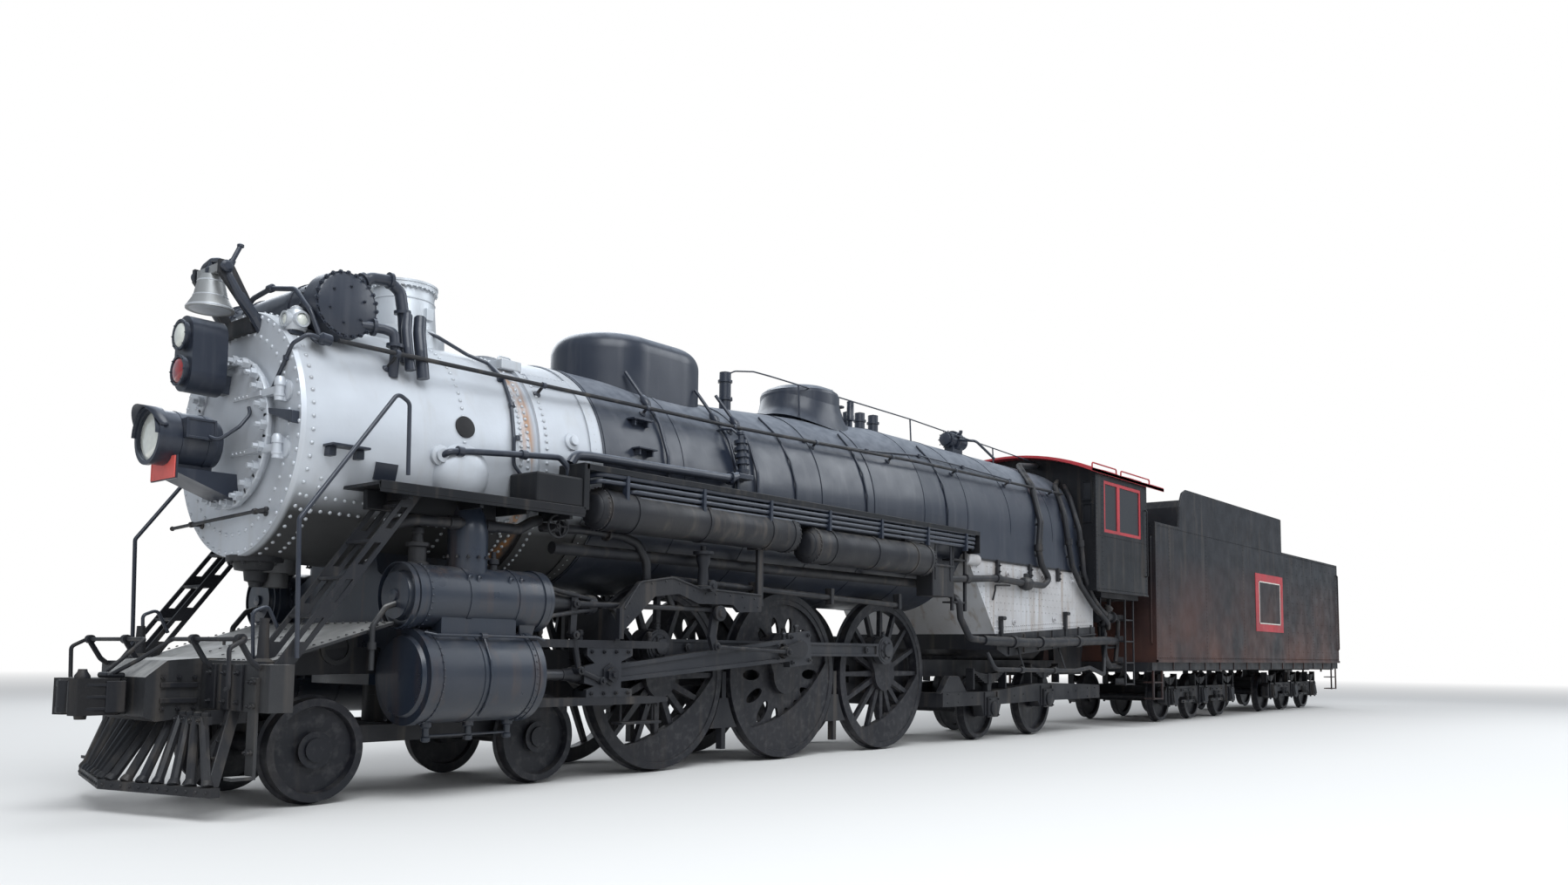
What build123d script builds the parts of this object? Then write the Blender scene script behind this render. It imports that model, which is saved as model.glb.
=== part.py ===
"""A 4-6-4 passenger steam locomotive and its tender, standing on its wheels as a park display.

Millimetres. X runs forward, Y to the engine's left and Z up. The origin is on the track's centre
line, under the main driving axle, at the height of the lowest point of the wheel flanges.
"""

from build123d import *
import math
import os

os.makedirs("parts", exist_ok=True)

# Wheels and track
back_to_back = 1353.0
tyre_width = 140.0
flange_depth = 28.0
driver_radius = 991.0
driver_spacing = 2134.0
driver_axle_radius = 140.0
lead_radius = 419.0
lead_centre_x = 4909.0
lead_wheelbase = 2294.0
lead_axle_radius = 85.0
trail_front_radius = 457.0
trail_rear_radius = 559.0
trail_front_x = -4714.0
trail_rear_x = -6540.0
tender_wheel_radius = 457.0
truck_axle_radius = 80.0
running_fit = 0.3
seat_gap = 0.3

# Crank gear
crank_radius = 356.0
left_crank_angle = 62.0
cylinder_y = 1140.0
cylinder_z = 1050.0
main_rod_length = 3093.0
side_rod_y = 925.0
side_rod_thickness = 90.0
main_rod_thickness = 100.0
crank_pin_radius = 85.0
open_pin_gap = 6.0

# Engine frame
frame_y = 545.0
frame_thickness = 130.0
frame_top_z = 1290.0
frame_bottom_z = 760.0
frame_rear_x = -9150.0
cradle_y = 385.0
cradle_thickness = 110.0
cradle_front_x = -3300.0
cradle_top_z = 1210.0
cradle_bottom_z = 960.0

# Cylinders and saddle
cylinder_rear_x = 4290.0
cylinder_front_x = 5490.0
cylinder_outer_radius = 400.0
valve_y = 1150.0
valve_z = 1728.0
valve_radius = 275.0
valve_rear_x = 4100.0
valve_front_x = 5590.0
saddle_rear_x = 4380.0
saddle_front_x = 5400.0

# Boiler
boiler_z = 3086.0
smokebox_front_x = 6395.0
smokebox_front_radius = 1058.0
smokebox_rear_radius = 1115.0
smokebox_rear_x = 4110.0
silver_front_radius = 1140.0
silver_rear_radius = 1170.0
jacket_front_x = 3330.0
jacket_front_radius = 1180.0
taper_front_x = 1100.0
taper_rear_x = -2400.0
jacket_rear_radius = 1310.0
boiler_rear_x = -7800.0

# Firebox
firebox_front_x = -3560.0
firebox_half_width = 1290.0
firebox_top_z = 2700.0
mud_ring_front_z = 1600.0
mud_ring_rear_z = 1790.0

# Front end
beam_rear_x = 6640.0
beam_front_x = 6830.0
beam_half_width = 1500.0
beam_bottom_z = 795.0
beam_top_z = 1150.0
coupler_z = 890.0
coupler_front_x = 7668.0

# Boiler mountings
stack_x = 4890.0
stack_radius = 290.0
stack_top_z = 4765.0
sand_dome_front_x = 2885.0
sand_dome_rear_x = 1035.0
sand_dome_top_z = 4786.0
sand_dome_edge = 205.0
steam_dome_x = -1280.0
steam_dome_radius = 545.0
steam_dome_top_z = 4930.0
steam_dome_crown = 165.0

# Running boards
board_half_width = 1510.0
front_board_z = 2590.0
front_board_front_x = 5990.0
front_board_rear_x = 3850.0
upper_board_z = 3010.0
upper_board_front_x = 3840.0
upper_board_rear_x = -3560.0
board_thickness = 26.0

# Cab
cab_front_x = -7360.0
cab_rear_x = -9560.0
cab_half_width = 1560.0
cab_floor_z = 2390.0
cab_eave_z = 4400.0
cab_wall = 40.0
cab_roof_rise = 330.0
roof_thickness = 30.0
roof_overhang_rear = 700.0
window_bottom_z = 3400.0
window_top_z = 4290.0
window_front_x = -7700.0
window_rear_x = -9280.0

# Tender
tender_front_x = -9900.0
tender_rear_x = -22600.0
tender_half_width = 1560.0
tender_bottom_z = 1190.0
tender_top_z = 3780.0
coal_board_top_z = 4560.0
coal_board_front_x = -11150.0
coal_board_rear_x = -17700.0
tender_truck_front_x = -13700.0
tender_truck_rear_x = -20200.0
tender_axle_spacing = 1700.0
drawbar_pin_x = -8950.0
drawbar_pin_radius = 55.0
drawbar_z = 1060.0

# Derived places
rear_boiler_z = boiler_z + jacket_rear_radius - jacket_front_radius
wheel_back_y = back_to_back / 2
tyre_outer_y = wheel_back_y + tyre_width
driver_z = flange_depth + driver_radius
lead_z = flange_depth + lead_radius
frame_inner_y = frame_y - frame_thickness / 2
frame_outer_y = frame_y + frame_thickness / 2
hub_face_y = tyre_outer_y + 25
rod_inner_y = side_rod_y - side_rod_thickness / 2
rod_outer_y = side_rod_y + side_rod_thickness / 2
main_rod_inner_y = cylinder_y - main_rod_thickness / 2
main_rod_outer_y = cylinder_y + main_rod_thickness / 2
right_crank_angle = left_crank_angle - 90
crank_angle = {1: left_crank_angle, -1: right_crank_angle}
driver_x = {1: driver_spacing, 2: 0.0, 3: -driver_spacing}


def crank_offset(side):
    """Where a crank pin on this side stands from its axle, as x and z."""
    angle = math.radians(crank_angle[side])
    return crank_radius * math.cos(angle), crank_radius * math.sin(angle)


def crosshead_x(side):
    """The wrist pin's place along the guides, from the crank and the rod's length."""
    dx, dz = crank_offset(side)
    rise = driver_z + dz - cylinder_z
    return dx + math.sqrt(main_rod_length**2 - rise**2)


def add_bar(start, end, radius, mode=Mode.ADD):
    """A round bar from one point to another."""
    run = Vector(*end) - Vector(*start)
    with BuildSketch(Plane(origin=start, z_dir=run)) as section:
        Circle(radius)
    extrude(section.sketch, amount=run.length, mode=mode)


def add_block(x_low, x_high, y_low, y_high, z_low, z_high, mode=Mode.ADD):
    """A plain block between two corners."""
    with BuildSketch(Plane.XY.offset(z_low)) as section:
        with Locations(((x_low + x_high) / 2, (y_low + y_high) / 2)):
            Rectangle(x_high - x_low, y_high - y_low)
    extrude(section.sketch, amount=z_high - z_low, mode=mode)


def add_side_plate(outline, y_low, y_high, mode=Mode.ADD):
    """A plate with this outline in x and z, between two distances from the centre line."""
    with BuildSketch(Plane((0, y_low, 0), x_dir=(1, 0, 0), z_dir=(0, -1, 0))) as section:
        with BuildLine():
            Polyline(*outline, close=True)
        make_face()
    extrude(section.sketch, amount=-(y_high - y_low), mode=mode)


def add_cross_plate(outline, x_low, x_high, mode=Mode.ADD):
    """A plate with this outline in y and z, between two stations."""
    with BuildSketch(Plane.YZ.offset(x_low)) as section:
        with BuildLine():
            Polyline(*outline, close=True)
        make_face()
    extrude(section.sketch, amount=x_high - x_low, mode=mode)


def add_turned(profile, origin, axis, radial, mode=Mode.ADD):
    """A turned piece: the profile gives places along the axis with their radii."""
    plane = Plane(origin=origin, x_dir=axis, z_dir=Vector(*axis).cross(Vector(*radial)))
    with BuildSketch(plane) as section:
        with BuildLine():
            Polyline(*profile, close=True)
        make_face()
    revolve(section.sketch, axis=Axis(origin, axis), mode=mode)


def add_pipe(points, pipe_radius, bend_radius, mode=Mode.ADD):
    """A pipe along straight runs joined by equal bends."""
    with BuildLine() as route:
        if len(points) == 2:
            Line(*points)
        else:
            FilletPolyline(*points, radius=bend_radius)
    with BuildSketch(Plane(origin=points[0], z_dir=route.line % 0)) as section:
        Circle(pipe_radius)
    sweep(section.sketch, path=route.line, mode=mode)


def save(part, label):
    """Writes one finished piece under its name."""
    part.label = label
    export_step(part, f"parts/{label}.step")


# Boiler envelope: what is seated round the boiler is cut back by this shape
def add_barrel(clearance):
    """The jacketed barrel: straight in front, then tapering up to the firebox, with a level belly."""
    front = jacket_front_radius + clearance
    rear = jacket_rear_radius + clearance
    with BuildSketch(Plane.YZ.offset(taper_front_x)) as front_course:
        with Locations((0, boiler_z)):
            Circle(front)
    extrude(front_course.sketch, amount=jacket_front_x - taper_front_x)
    with BuildSketch(Plane.YZ.offset(taper_rear_x)) as rear_course:
        with Locations((0, rear_boiler_z)):
            Circle(rear)
    loft([front_course.sketch, rear_course.sketch])
    extrude(rear_course.sketch, amount=boiler_rear_x - taper_rear_x)


def add_smokebox(clearance):
    """The smokebox and the silver first course, as one turned shape."""
    outline = [
        (smokebox_front_x + clearance, 0),
        (smokebox_front_x + clearance, smokebox_front_radius + clearance),
        (smokebox_rear_x, smokebox_rear_radius + clearance),
        (smokebox_rear_x, silver_front_radius + clearance),
        (jacket_front_x, silver_rear_radius + clearance),
        (jacket_front_x, 0),
    ]
    add_turned(outline, (0, 0, boiler_z), (1, 0, 0), (0, 0, 1))


with BuildPart() as boiler_envelope:
    add_barrel(seat_gap)
    add_smokebox(seat_gap)


def dome_points(edge_radius, edge_z, top_z, steps):
    """A quarter of an ellipse from a dome's shoulder to its crown, as radius and height."""
    turns = [math.radians(90 * step / steps) for step in range(steps + 1)]
    return [(edge_radius * math.cos(a), edge_z + (top_z - edge_z) * math.sin(a)) for a in turns]


def clear_boiler():
    """Cuts the current piece back to a seat on the boiler."""
    add(boiler_envelope.part, mode=Mode.SUBTRACT)


# Wheel sets with plain disc wheels
def disc_profile(tread, hub_radius, axle_radius, journal_end_y, journal_radius):
    """Half of a wheel set: places along the axle with their radii, from the middle outwards."""
    rim = tread - 75
    web_in = wheel_back_y + 45
    web_out = wheel_back_y + 75
    return [
        (0, axle_radius),
        (wheel_back_y - 12, axle_radius),
        (wheel_back_y - 12, hub_radius),
        (web_in, hub_radius - 15),
        (web_in, rim),
        (wheel_back_y, rim + 12),
        (wheel_back_y, tread + 16),
        (wheel_back_y + 9, tread + flange_depth),
        (wheel_back_y + 21, tread + flange_depth),
        (wheel_back_y + 34, tread + 3),
        (tyre_outer_y, tread),
        (tyre_outer_y, rim + 12),
        (web_out, rim),
        (web_out, hub_radius - 15),
        (tyre_outer_y - 8, hub_radius),
        (tyre_outer_y - 8, journal_radius),
        (journal_end_y, journal_radius),
    ]


def write_disc_wheels(label, axle_x, tread, hub_radius, axle_radius, journal_end_y, journal_radius):
    """One axle with its two disc wheels, as one solid."""
    half = disc_profile(tread, hub_radius, axle_radius, journal_end_y, journal_radius)
    outline = [(-y, r) for y, r in reversed(half)] + half[1:]
    outline = [(-journal_end_y, 0)] + outline + [(journal_end_y, 0)]
    with BuildPart() as wheels:
        add_turned(outline, (axle_x, 0, flange_depth + tread), (0, 1, 0), (0, 0, 1))
    save(wheels.part, label)


lead_x = {1: lead_centre_x + lead_wheelbase / 2, 2: lead_centre_x - lead_wheelbase / 2}
for number, x in lead_x.items():
    write_disc_wheels(f"lead_wheels_{number}", x, lead_radius, 150, lead_axle_radius,
                      tyre_outer_y + 12, 95)

trail_wheels = {1: (trail_front_x, trail_front_radius), 2: (trail_rear_x, trail_rear_radius)}
trail_journal_y = 1010.0
for number, (x, tread) in trail_wheels.items():
    write_disc_wheels(f"trailing_wheels_{number}", x, tread, 150, truck_axle_radius,
                      trail_journal_y, 75)

tender_axles = []
for truck_x in (tender_truck_front_x, tender_truck_rear_x):
    tender_axles += [truck_x + tender_axle_spacing * step for step in (1, 0, -1)]
tender_journal_y = 1010.0
for number, x in enumerate(tender_axles, start=1):
    write_disc_wheels(f"tender_wheels_{number}", x, tender_wheel_radius, 140, truck_axle_radius,
                      tender_journal_y, 72)

# Driving wheels: tyre and rim, hub and crank boss, spokes, counterweight and crank pins
rim_inner_radius = driver_radius - 135
spoke_count = {1: 16, 2: 0, 3: 16}
counterweight_depth = {1: 300.0, 2: 420.0, 3: 300.0}
driver_hub_radius = 230.0
crank_boss_radius = 190.0
rim_face_y = tyre_outer_y - 10
spoke_inner_y = wheel_back_y + 45
spoke_outer_y = wheel_back_y + 105
web_inner_y = wheel_back_y + 55
web_outer_y = wheel_back_y + 90
side_pin_end_y = rod_outer_y + 28
main_pin_end_y = main_rod_inner_y - open_pin_gap

for axle, x in driver_x.items():
    with BuildPart() as drivers:
        for side in (1, -1):
            dx, dz = crank_offset(side)
            wheel_plane = Plane((x, side * spoke_inner_y, driver_z), x_dir=(1, 0, 0),
                                z_dir=(0, -1, 0))
            outward = -side * (spoke_outer_y - spoke_inner_y)
            rim_outline = [
                (side * wheel_back_y, rim_inner_radius),
                (side * wheel_back_y, driver_radius + 16),
                (side * (wheel_back_y + 9), driver_radius + flange_depth),
                (side * (wheel_back_y + 21), driver_radius + flange_depth),
                (side * (wheel_back_y + 34), driver_radius + 3),
                (side * tyre_outer_y, driver_radius),
                (side * tyre_outer_y, driver_radius - 72),
                (side * rim_face_y, driver_radius - 76),
                (side * rim_face_y, rim_inner_radius),
            ]
            add_turned(rim_outline, (x, 0, driver_z), (0, 1, 0), (0, 0, 1))
            add_bar((x, side * (wheel_back_y - 15), driver_z), (x, side * hub_face_y, driver_z),
                    driver_hub_radius)
            with BuildSketch(Plane((x, side * (spoke_inner_y - 20), driver_z), x_dir=(1, 0, 0),
                                   z_dir=(0, -1, 0))) as boss:
                Circle(driver_hub_radius - 30)
                with Locations((dx, dz)):
                    Circle(crank_boss_radius)
                make_hull()
            extrude(boss.sketch, amount=-side * (hub_face_y - spoke_inner_y + 20))
            if spoke_count[axle]:
                with BuildSketch(wheel_plane) as spokes:
                    with PolarLocations(0, spoke_count[axle]):
                        Polygon((driver_hub_radius - 25, -38), (driver_hub_radius - 25, 38),
                                (rim_inner_radius + 12, 27), (rim_inner_radius + 12, -27),
                                align=None)
                extrude(spokes.sketch, amount=outward)
            else:
                web_plane = Plane((x, side * web_inner_y, driver_z), x_dir=(1, 0, 0),
                                  z_dir=(0, -1, 0))
                with BuildSketch(web_plane) as web:
                    Circle(rim_inner_radius + 12)
                    Circle(driver_hub_radius - 25, mode=Mode.SUBTRACT)
                    with PolarLocations(560, 14):
                        Ellipse(150, 62, mode=Mode.SUBTRACT)
                extrude(web.sketch, amount=-side * (web_outer_y - web_inner_y))
            with BuildSketch(wheel_plane) as crescent:
                Circle(rim_inner_radius + 12)
                turn = math.degrees(math.atan2(-dz, -dx))
                with Locations(Rotation(0, 0, turn)):
                    with Locations((-2000 + rim_inner_radius - counterweight_depth[axle], 0)):
                        Circle(2000, mode=Mode.SUBTRACT)
            extrude(crescent.sketch, amount=-side * (rim_face_y - spoke_inner_y))
            pin_end = main_pin_end_y if axle == 2 else side_pin_end_y
            add_bar((x + dx, side * (hub_face_y - 30), driver_z + dz),
                    (x + dx, side * pin_end, driver_z + dz), crank_pin_radius)
        add_bar((x, -wheel_back_y, driver_z), (x, wheel_back_y, driver_z), driver_axle_radius)
    save(drivers.part, f"drivers_{axle}")

# Side rods: a fluted bar with an eye round each crank pin
rod_eye_radius = 185.0
for side, word in ((1, "left"), (-1, "right")):
    dx, dz = crank_offset(side)
    rod_plane = Plane((dx, side * rod_inner_y, driver_z + dz), x_dir=(1, 0, 0), z_dir=(0, -1, 0))
    with BuildPart() as side_rod:
        with BuildSketch(rod_plane) as bar:
            Rectangle(2 * driver_spacing, 170)
            with GridLocations(driver_spacing, 0, 3, 1):
                Circle(rod_eye_radius)
            with GridLocations(driver_spacing, 0, 3, 1):
                Circle(crank_pin_radius + running_fit, mode=Mode.SUBTRACT)
        extrude(bar.sketch, amount=-side * side_rod_thickness)
        flute_plane = Plane((dx, side * (rod_outer_y - 22), driver_z + dz), x_dir=(1, 0, 0),
                            z_dir=(0, -1, 0))
        with BuildSketch(flute_plane) as flutes:
            with GridLocations(driver_spacing, 0, 2, 1):
                Rectangle(driver_spacing - 2 * rod_eye_radius - 60, 110)
        extrude(flutes.sketch, amount=-side * 40, mode=Mode.SUBTRACT)
    save(side_rod.part, f"side_rod_{word}")

# Main rods and crossheads, guides
crosshead_half_length = 300.0
guide_top_low_z = 1310.0
guide_bottom_high_z = 830.0
guide_depth = 75.0
guide_half_width = 110.0
guide_front_x = cylinder_rear_x - 90
guide_rear_x = 2440.0
wrist_pin_radius = 70.0
with BuildPart() as main_rods:
    for side in (1, -1):
        dx, dz = crank_offset(side)
        big_end = (dx, driver_z + dz)
        small_end = (crosshead_x(side), cylinder_z)
        slope = math.degrees(math.atan2(small_end[1] - big_end[1], small_end[0] - big_end[0]))
        plane = Plane((big_end[0], side * main_rod_inner_y, big_end[1]), x_dir=(1, 0, 0),
                      z_dir=(0, -1, 0))
        with BuildSketch(plane) as rod:
            with Locations(Rotation(0, 0, slope)):
                Polygon((0, -135), (0, 135), (main_rod_length, 85), (main_rod_length, -85),
                        align=None)
                with Locations((0, 0)):
                    Rectangle(420, 400)
                with Locations((main_rod_length, 0)):
                    Circle(130)
                with Locations((main_rod_length, 0)):
                    Circle(wrist_pin_radius + running_fit, mode=Mode.SUBTRACT)
        extrude(rod.sketch, amount=-side * main_rod_thickness)
        flute = Plane((big_end[0], side * (main_rod_outer_y - 25), big_end[1]),
                      x_dir=(1, 0, 0), z_dir=(0, -1, 0))
        with BuildSketch(flute) as recess:
            with Locations(Rotation(0, 0, slope)):
                Polygon((290, -85), (290, 85), (main_rod_length - 190, 45),
                        (main_rod_length - 190, -45), align=None)
        extrude(recess.sketch, amount=-side * 40, mode=Mode.SUBTRACT)
save(main_rods.part, "main_rods")

with BuildPart() as crossheads:
    for side in (1, -1):
        x = crosshead_x(side)
        low = guide_bottom_high_z + seat_gap
        high = guide_top_low_z - seat_gap
        for y_in, y_out in ((main_rod_inner_y - 54, main_rod_inner_y - 5),
                            (main_rod_outer_y + 5, main_rod_outer_y + 54)):
            cheek = [
                (x - crosshead_half_length, low),
                (x + crosshead_half_length, low),
                (x + crosshead_half_length, low + 75),
                (x + 200, cylinder_z - 110),
                (x + 330, cylinder_z - 80),
                (x + 330, cylinder_z + 80),
                (x + 200, cylinder_z + 110),
                (x + crosshead_half_length, high - 75),
                (x + crosshead_half_length, high),
                (x - crosshead_half_length, high),
                (x - crosshead_half_length, high - 75),
                (x - 150, cylinder_z + 130),
                (x - 150, cylinder_z - 130),
                (x - crosshead_half_length, low + 75),
            ]
            y_low, y_high = sorted((side * y_in, side * y_out))
            add_side_plate(cheek, y_low, y_high)
        y_low, y_high = sorted((side * (main_rod_inner_y - 54), side * (main_rod_outer_y + 54)))
        add_block(x + 180, x + 330, y_low, y_high, cylinder_z - 80, cylinder_z + 80)
        for z_low, z_high in ((low, low + 60), (high - 60, high)):
            add_block(x - crosshead_half_length, x + crosshead_half_length, y_low, y_high,
                      z_low, z_high)
        add_bar((x, y_low, cylinder_z), (x, y_high, cylinder_z), wrist_pin_radius)
        add_bar((x + 300, side * cylinder_y, cylinder_z),
                (cylinder_rear_x - 175, side * cylinder_y, cylinder_z), 52)
save(crossheads.part, "crossheads")

yoke_rear_x = driver_spacing + driver_radius + flange_depth + 20
yoke_front_x = yoke_rear_x + 60
yoke_top_z = 1700.0
gear_frame_y = 1300.0
with BuildPart() as guides:
    for side in (1, -1):
        y_low, y_high = sorted((side * (cylinder_y - guide_half_width),
                                side * (cylinder_y + guide_half_width)))
        for z_low in (guide_top_low_z, guide_bottom_high_z - guide_depth):
            bar = [
                (guide_rear_x, z_low + 15),
                (guide_rear_x + 250, z_low),
                (guide_front_x, z_low),
                (guide_front_x, z_low + guide_depth),
                (guide_rear_x + 250, z_low + guide_depth),
                (guide_rear_x, z_low + guide_depth - 15),
            ]
            add_side_plate(bar, y_low, y_high)
        yoke_outline = [
            (side * frame_outer_y, frame_top_z - 100),
            (side * (cylinder_y - guide_half_width - 100), guide_top_low_z - 80),
            (side * (cylinder_y - guide_half_width - 100), guide_bottom_high_z - guide_depth),
            (side * (cylinder_y - guide_half_width), guide_bottom_high_z - guide_depth),
            (side * (cylinder_y - guide_half_width), guide_top_low_z + guide_depth),
            (side * gear_frame_y, guide_top_low_z + guide_depth),
            (side * gear_frame_y, yoke_top_z - 120),
            (side * (gear_frame_y - 120), yoke_top_z),
            (side * frame_outer_y, yoke_top_z),
        ]
        add_cross_plate(yoke_outline, yoke_rear_x, yoke_front_x)
save(guides.part, "crosshead_guides")

# Cylinder castings: barrels, valve chests, saddle and steam pipes
with BuildPart() as cylinders:
    for side in (1, -1):
        barrel = [
            (cylinder_rear_x - 80, 0),
            (cylinder_rear_x - 80, 270),
            (cylinder_rear_x, 330),
            (cylinder_rear_x, cylinder_outer_radius + 14),
            (cylinder_rear_x + 70, cylinder_outer_radius + 14),
            (cylinder_rear_x + 70, cylinder_outer_radius),
            (cylinder_front_x - 70, cylinder_outer_radius),
            (cylinder_front_x - 70, cylinder_outer_radius + 14),
            (cylinder_front_x, cylinder_outer_radius + 14),
            (cylinder_front_x, 350),
            (cylinder_front_x + 30, 330),
            (cylinder_front_x + 45, 0),
        ]
        add_turned(barrel, (0, side * cylinder_y, cylinder_z), (1, 0, 0), (0, 0, 1))
        chest = [
            (valve_rear_x, 0),
            (valve_rear_x, 170),
            (valve_rear_x + 60, 215),
            (valve_rear_x + 60, valve_radius + 12),
            (valve_rear_x + 120, valve_radius + 12),
            (valve_rear_x + 120, valve_radius),
            (valve_front_x - 120, valve_radius),
            (valve_front_x - 120, valve_radius + 12),
            (valve_front_x - 60, valve_radius + 12),
            (valve_front_x - 60, 215),
            (valve_front_x, 190),
            (valve_front_x, 0),
        ]
        add_turned(chest, (0, side * valve_y, valve_z), (1, 0, 0), (0, 0, 1))
        neck_low, neck_high = sorted((side * (cylinder_y - 250), side * (cylinder_y + 220)))
        add_block(4500, 5280, neck_low, neck_high, cylinder_z + 250, valve_z - 60)
        add_bar((cylinder_rear_x - 175, side * cylinder_y, cylinder_z),
                (cylinder_rear_x - 60, side * cylinder_y, cylinder_z), 110)
        steam_pipe = [
            (stack_x, side * valve_y, valve_z + 150),
            (stack_x, side * valve_y, 2420),
            (stack_x, side * 620, 2820),
        ]
        add_pipe(steam_pipe, 175, 330)
    saddle_outline = [
        (-frame_outer_y, 960),
        (frame_outer_y, 960),
        (frame_outer_y, 1290),
        (850, 1240),
        (850, 1500),
        (900, 1800),
        (560, 1960),
        (470, 2300),
        (-470, 2300),
        (-560, 1960),
        (-900, 1800),
        (-850, 1500),
        (-850, 1240),
        (-frame_outer_y, 1290),
    ]
    add_cross_plate(saddle_outline, saddle_rear_x, saddle_front_x)
    for side in (1, -1):
        low, high = sorted((side * (cylinder_y - 330), side * (frame_outer_y - 1)))
        add_block(saddle_rear_x, saddle_front_x, low, high, cylinder_z - 60, 1250)
    clear_boiler()
    for side in (1, -1):
        add_bar((cylinder_rear_x - 176, side * cylinder_y, cylinder_z),
                (cylinder_rear_x + 60, side * cylinder_y, cylinder_z), 52 + running_fit,
                mode=Mode.SUBTRACT)
        low, high = sorted((side * (frame_inner_y - seat_gap), side * (frame_outer_y + seat_gap)))
        add_block(saddle_rear_x - 1, saddle_front_x + 1, low, high, 950, frame_top_z + seat_gap,
                  mode=Mode.SUBTRACT)
save(cylinders.part, "cylinders")

# Engine frame: two bar frames with cross ties, bored for the driving axles
front_rail_bottom_z = 1060.0
with BuildPart() as engine_frame:
    for side in (1, -1):
        y_low, y_high = sorted((side * frame_inner_y, side * frame_outer_y))
        outline = [
            (beam_rear_x, 1040),
            (beam_rear_x, frame_top_z - 140),
            (saddle_front_x + 300, frame_top_z),
            (cradle_front_x, frame_top_z),
            (cradle_front_x, frame_bottom_z),
            (2900, frame_bottom_z),
            (3250, front_rail_bottom_z),
            (saddle_front_x + 300, front_rail_bottom_z),
        ]
        add_side_plate(outline, y_low, y_high)
        for x in driver_x.values():
            add_bar((x, y_low, driver_z), (x, y_high, driver_z), driver_axle_radius + running_fit,
                    mode=Mode.SUBTRACT)
        for mid_x in (driver_spacing / 2, -driver_spacing / 2):
            add_block(mid_x - 560, mid_x + 560, y_low, y_high, 900, 1130, mode=Mode.SUBTRACT)
        y_low, y_high = sorted((side * (cradle_y - cradle_thickness / 2),
                                side * (cradle_y + cradle_thickness / 2)))
        add_block(frame_rear_x, cradle_front_x + 1, y_low, y_high, cradle_bottom_z, cradle_top_z)
    for tie_x in (6100, 3500, 1067, -1067):
        low = 1070 if tie_x > 3300 else 980
        add_block(tie_x - 60, tie_x + 60, -frame_inner_y - 1, frame_inner_y + 1, low, 1200)
    add_block(cradle_front_x - 1, cradle_front_x + 100, -frame_inner_y - 1, frame_inner_y + 1,
              cradle_bottom_z, cradle_top_z)
    for tie_x in (-5400, -7400, frame_rear_x + 250):
        add_block(tie_x - 250, tie_x + 250, -cradle_y, cradle_y, cradle_bottom_z, 1150)
    add_bar((drawbar_pin_x, 0, cradle_bottom_z), (drawbar_pin_x, 0, 1150),
            drawbar_pin_radius + running_fit, mode=Mode.SUBTRACT)
    add_block(frame_rear_x - 1, frame_rear_x + 420, -260, 260, drawbar_z - 60, drawbar_z + 60,
              mode=Mode.SUBTRACT)
save(engine_frame.part, "engine_frame")

# Smokebox and boiler
nozzle_x = 6050.0
with BuildPart() as smokebox:
    add_smokebox(0)
    nozzle_top = boiler_z - smokebox_front_radius + 60
    add_bar((nozzle_x, 0, nozzle_top - 170), (nozzle_x, 0, nozzle_top), 190)
    add_bar((nozzle_x, 0, nozzle_top - 290), (nozzle_x, 0, nozzle_top - 170), 110)
save(smokebox.part, "smokebox")

skirt_half_width = firebox_half_width + 25
with BuildPart() as boiler:
    add_barrel(0)
    add_block(boiler_rear_x - 1, firebox_front_x, -jacket_rear_radius - 10,
              jacket_rear_radius + 10, 1500, firebox_top_z, mode=Mode.SUBTRACT)
    skirt_outline = [
        (-jacket_rear_radius, rear_boiler_z),
        (-skirt_half_width, firebox_top_z),
        (skirt_half_width, firebox_top_z),
        (jacket_rear_radius, rear_boiler_z),
    ]
    add_cross_plate(skirt_outline, boiler_rear_x, firebox_front_x)
save(boiler.part, "boiler")

# Firebox side sheets and throat, on the mud ring
throat_bottom_x = firebox_front_x - 820
firebox_rear_x = boiler_rear_x
with BuildPart() as firebox:
    side_outline = [
        (firebox_front_x, firebox_top_z),
        (firebox_rear_x, firebox_top_z),
        (firebox_rear_x, mud_ring_rear_z),
        (throat_bottom_x, mud_ring_front_z),
    ]
    add_side_plate(side_outline, -firebox_half_width, firebox_half_width)
save(firebox.part, "firebox")

with BuildPart() as ash_pan:
    pan_outline = [
        (throat_bottom_x, mud_ring_front_z),
        (firebox_rear_x, mud_ring_rear_z),
        (firebox_rear_x, mud_ring_rear_z - 260),
        (throat_bottom_x - 300, mud_ring_front_z - 330),
        (throat_bottom_x, mud_ring_front_z - 230),
    ]
    add_side_plate(pan_outline, -firebox_half_width - 30, firebox_half_width + 30)
    hopper_outline = [
        (-cradle_y, cradle_top_z),
        (cradle_y, cradle_top_z),
        (cradle_y + 250, 1440),
        (-cradle_y - 250, 1440),
    ]
    add_cross_plate(hopper_outline, firebox_rear_x + 500, throat_bottom_x - 300)
save(ash_pan.part, "ash_pan")

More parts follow.
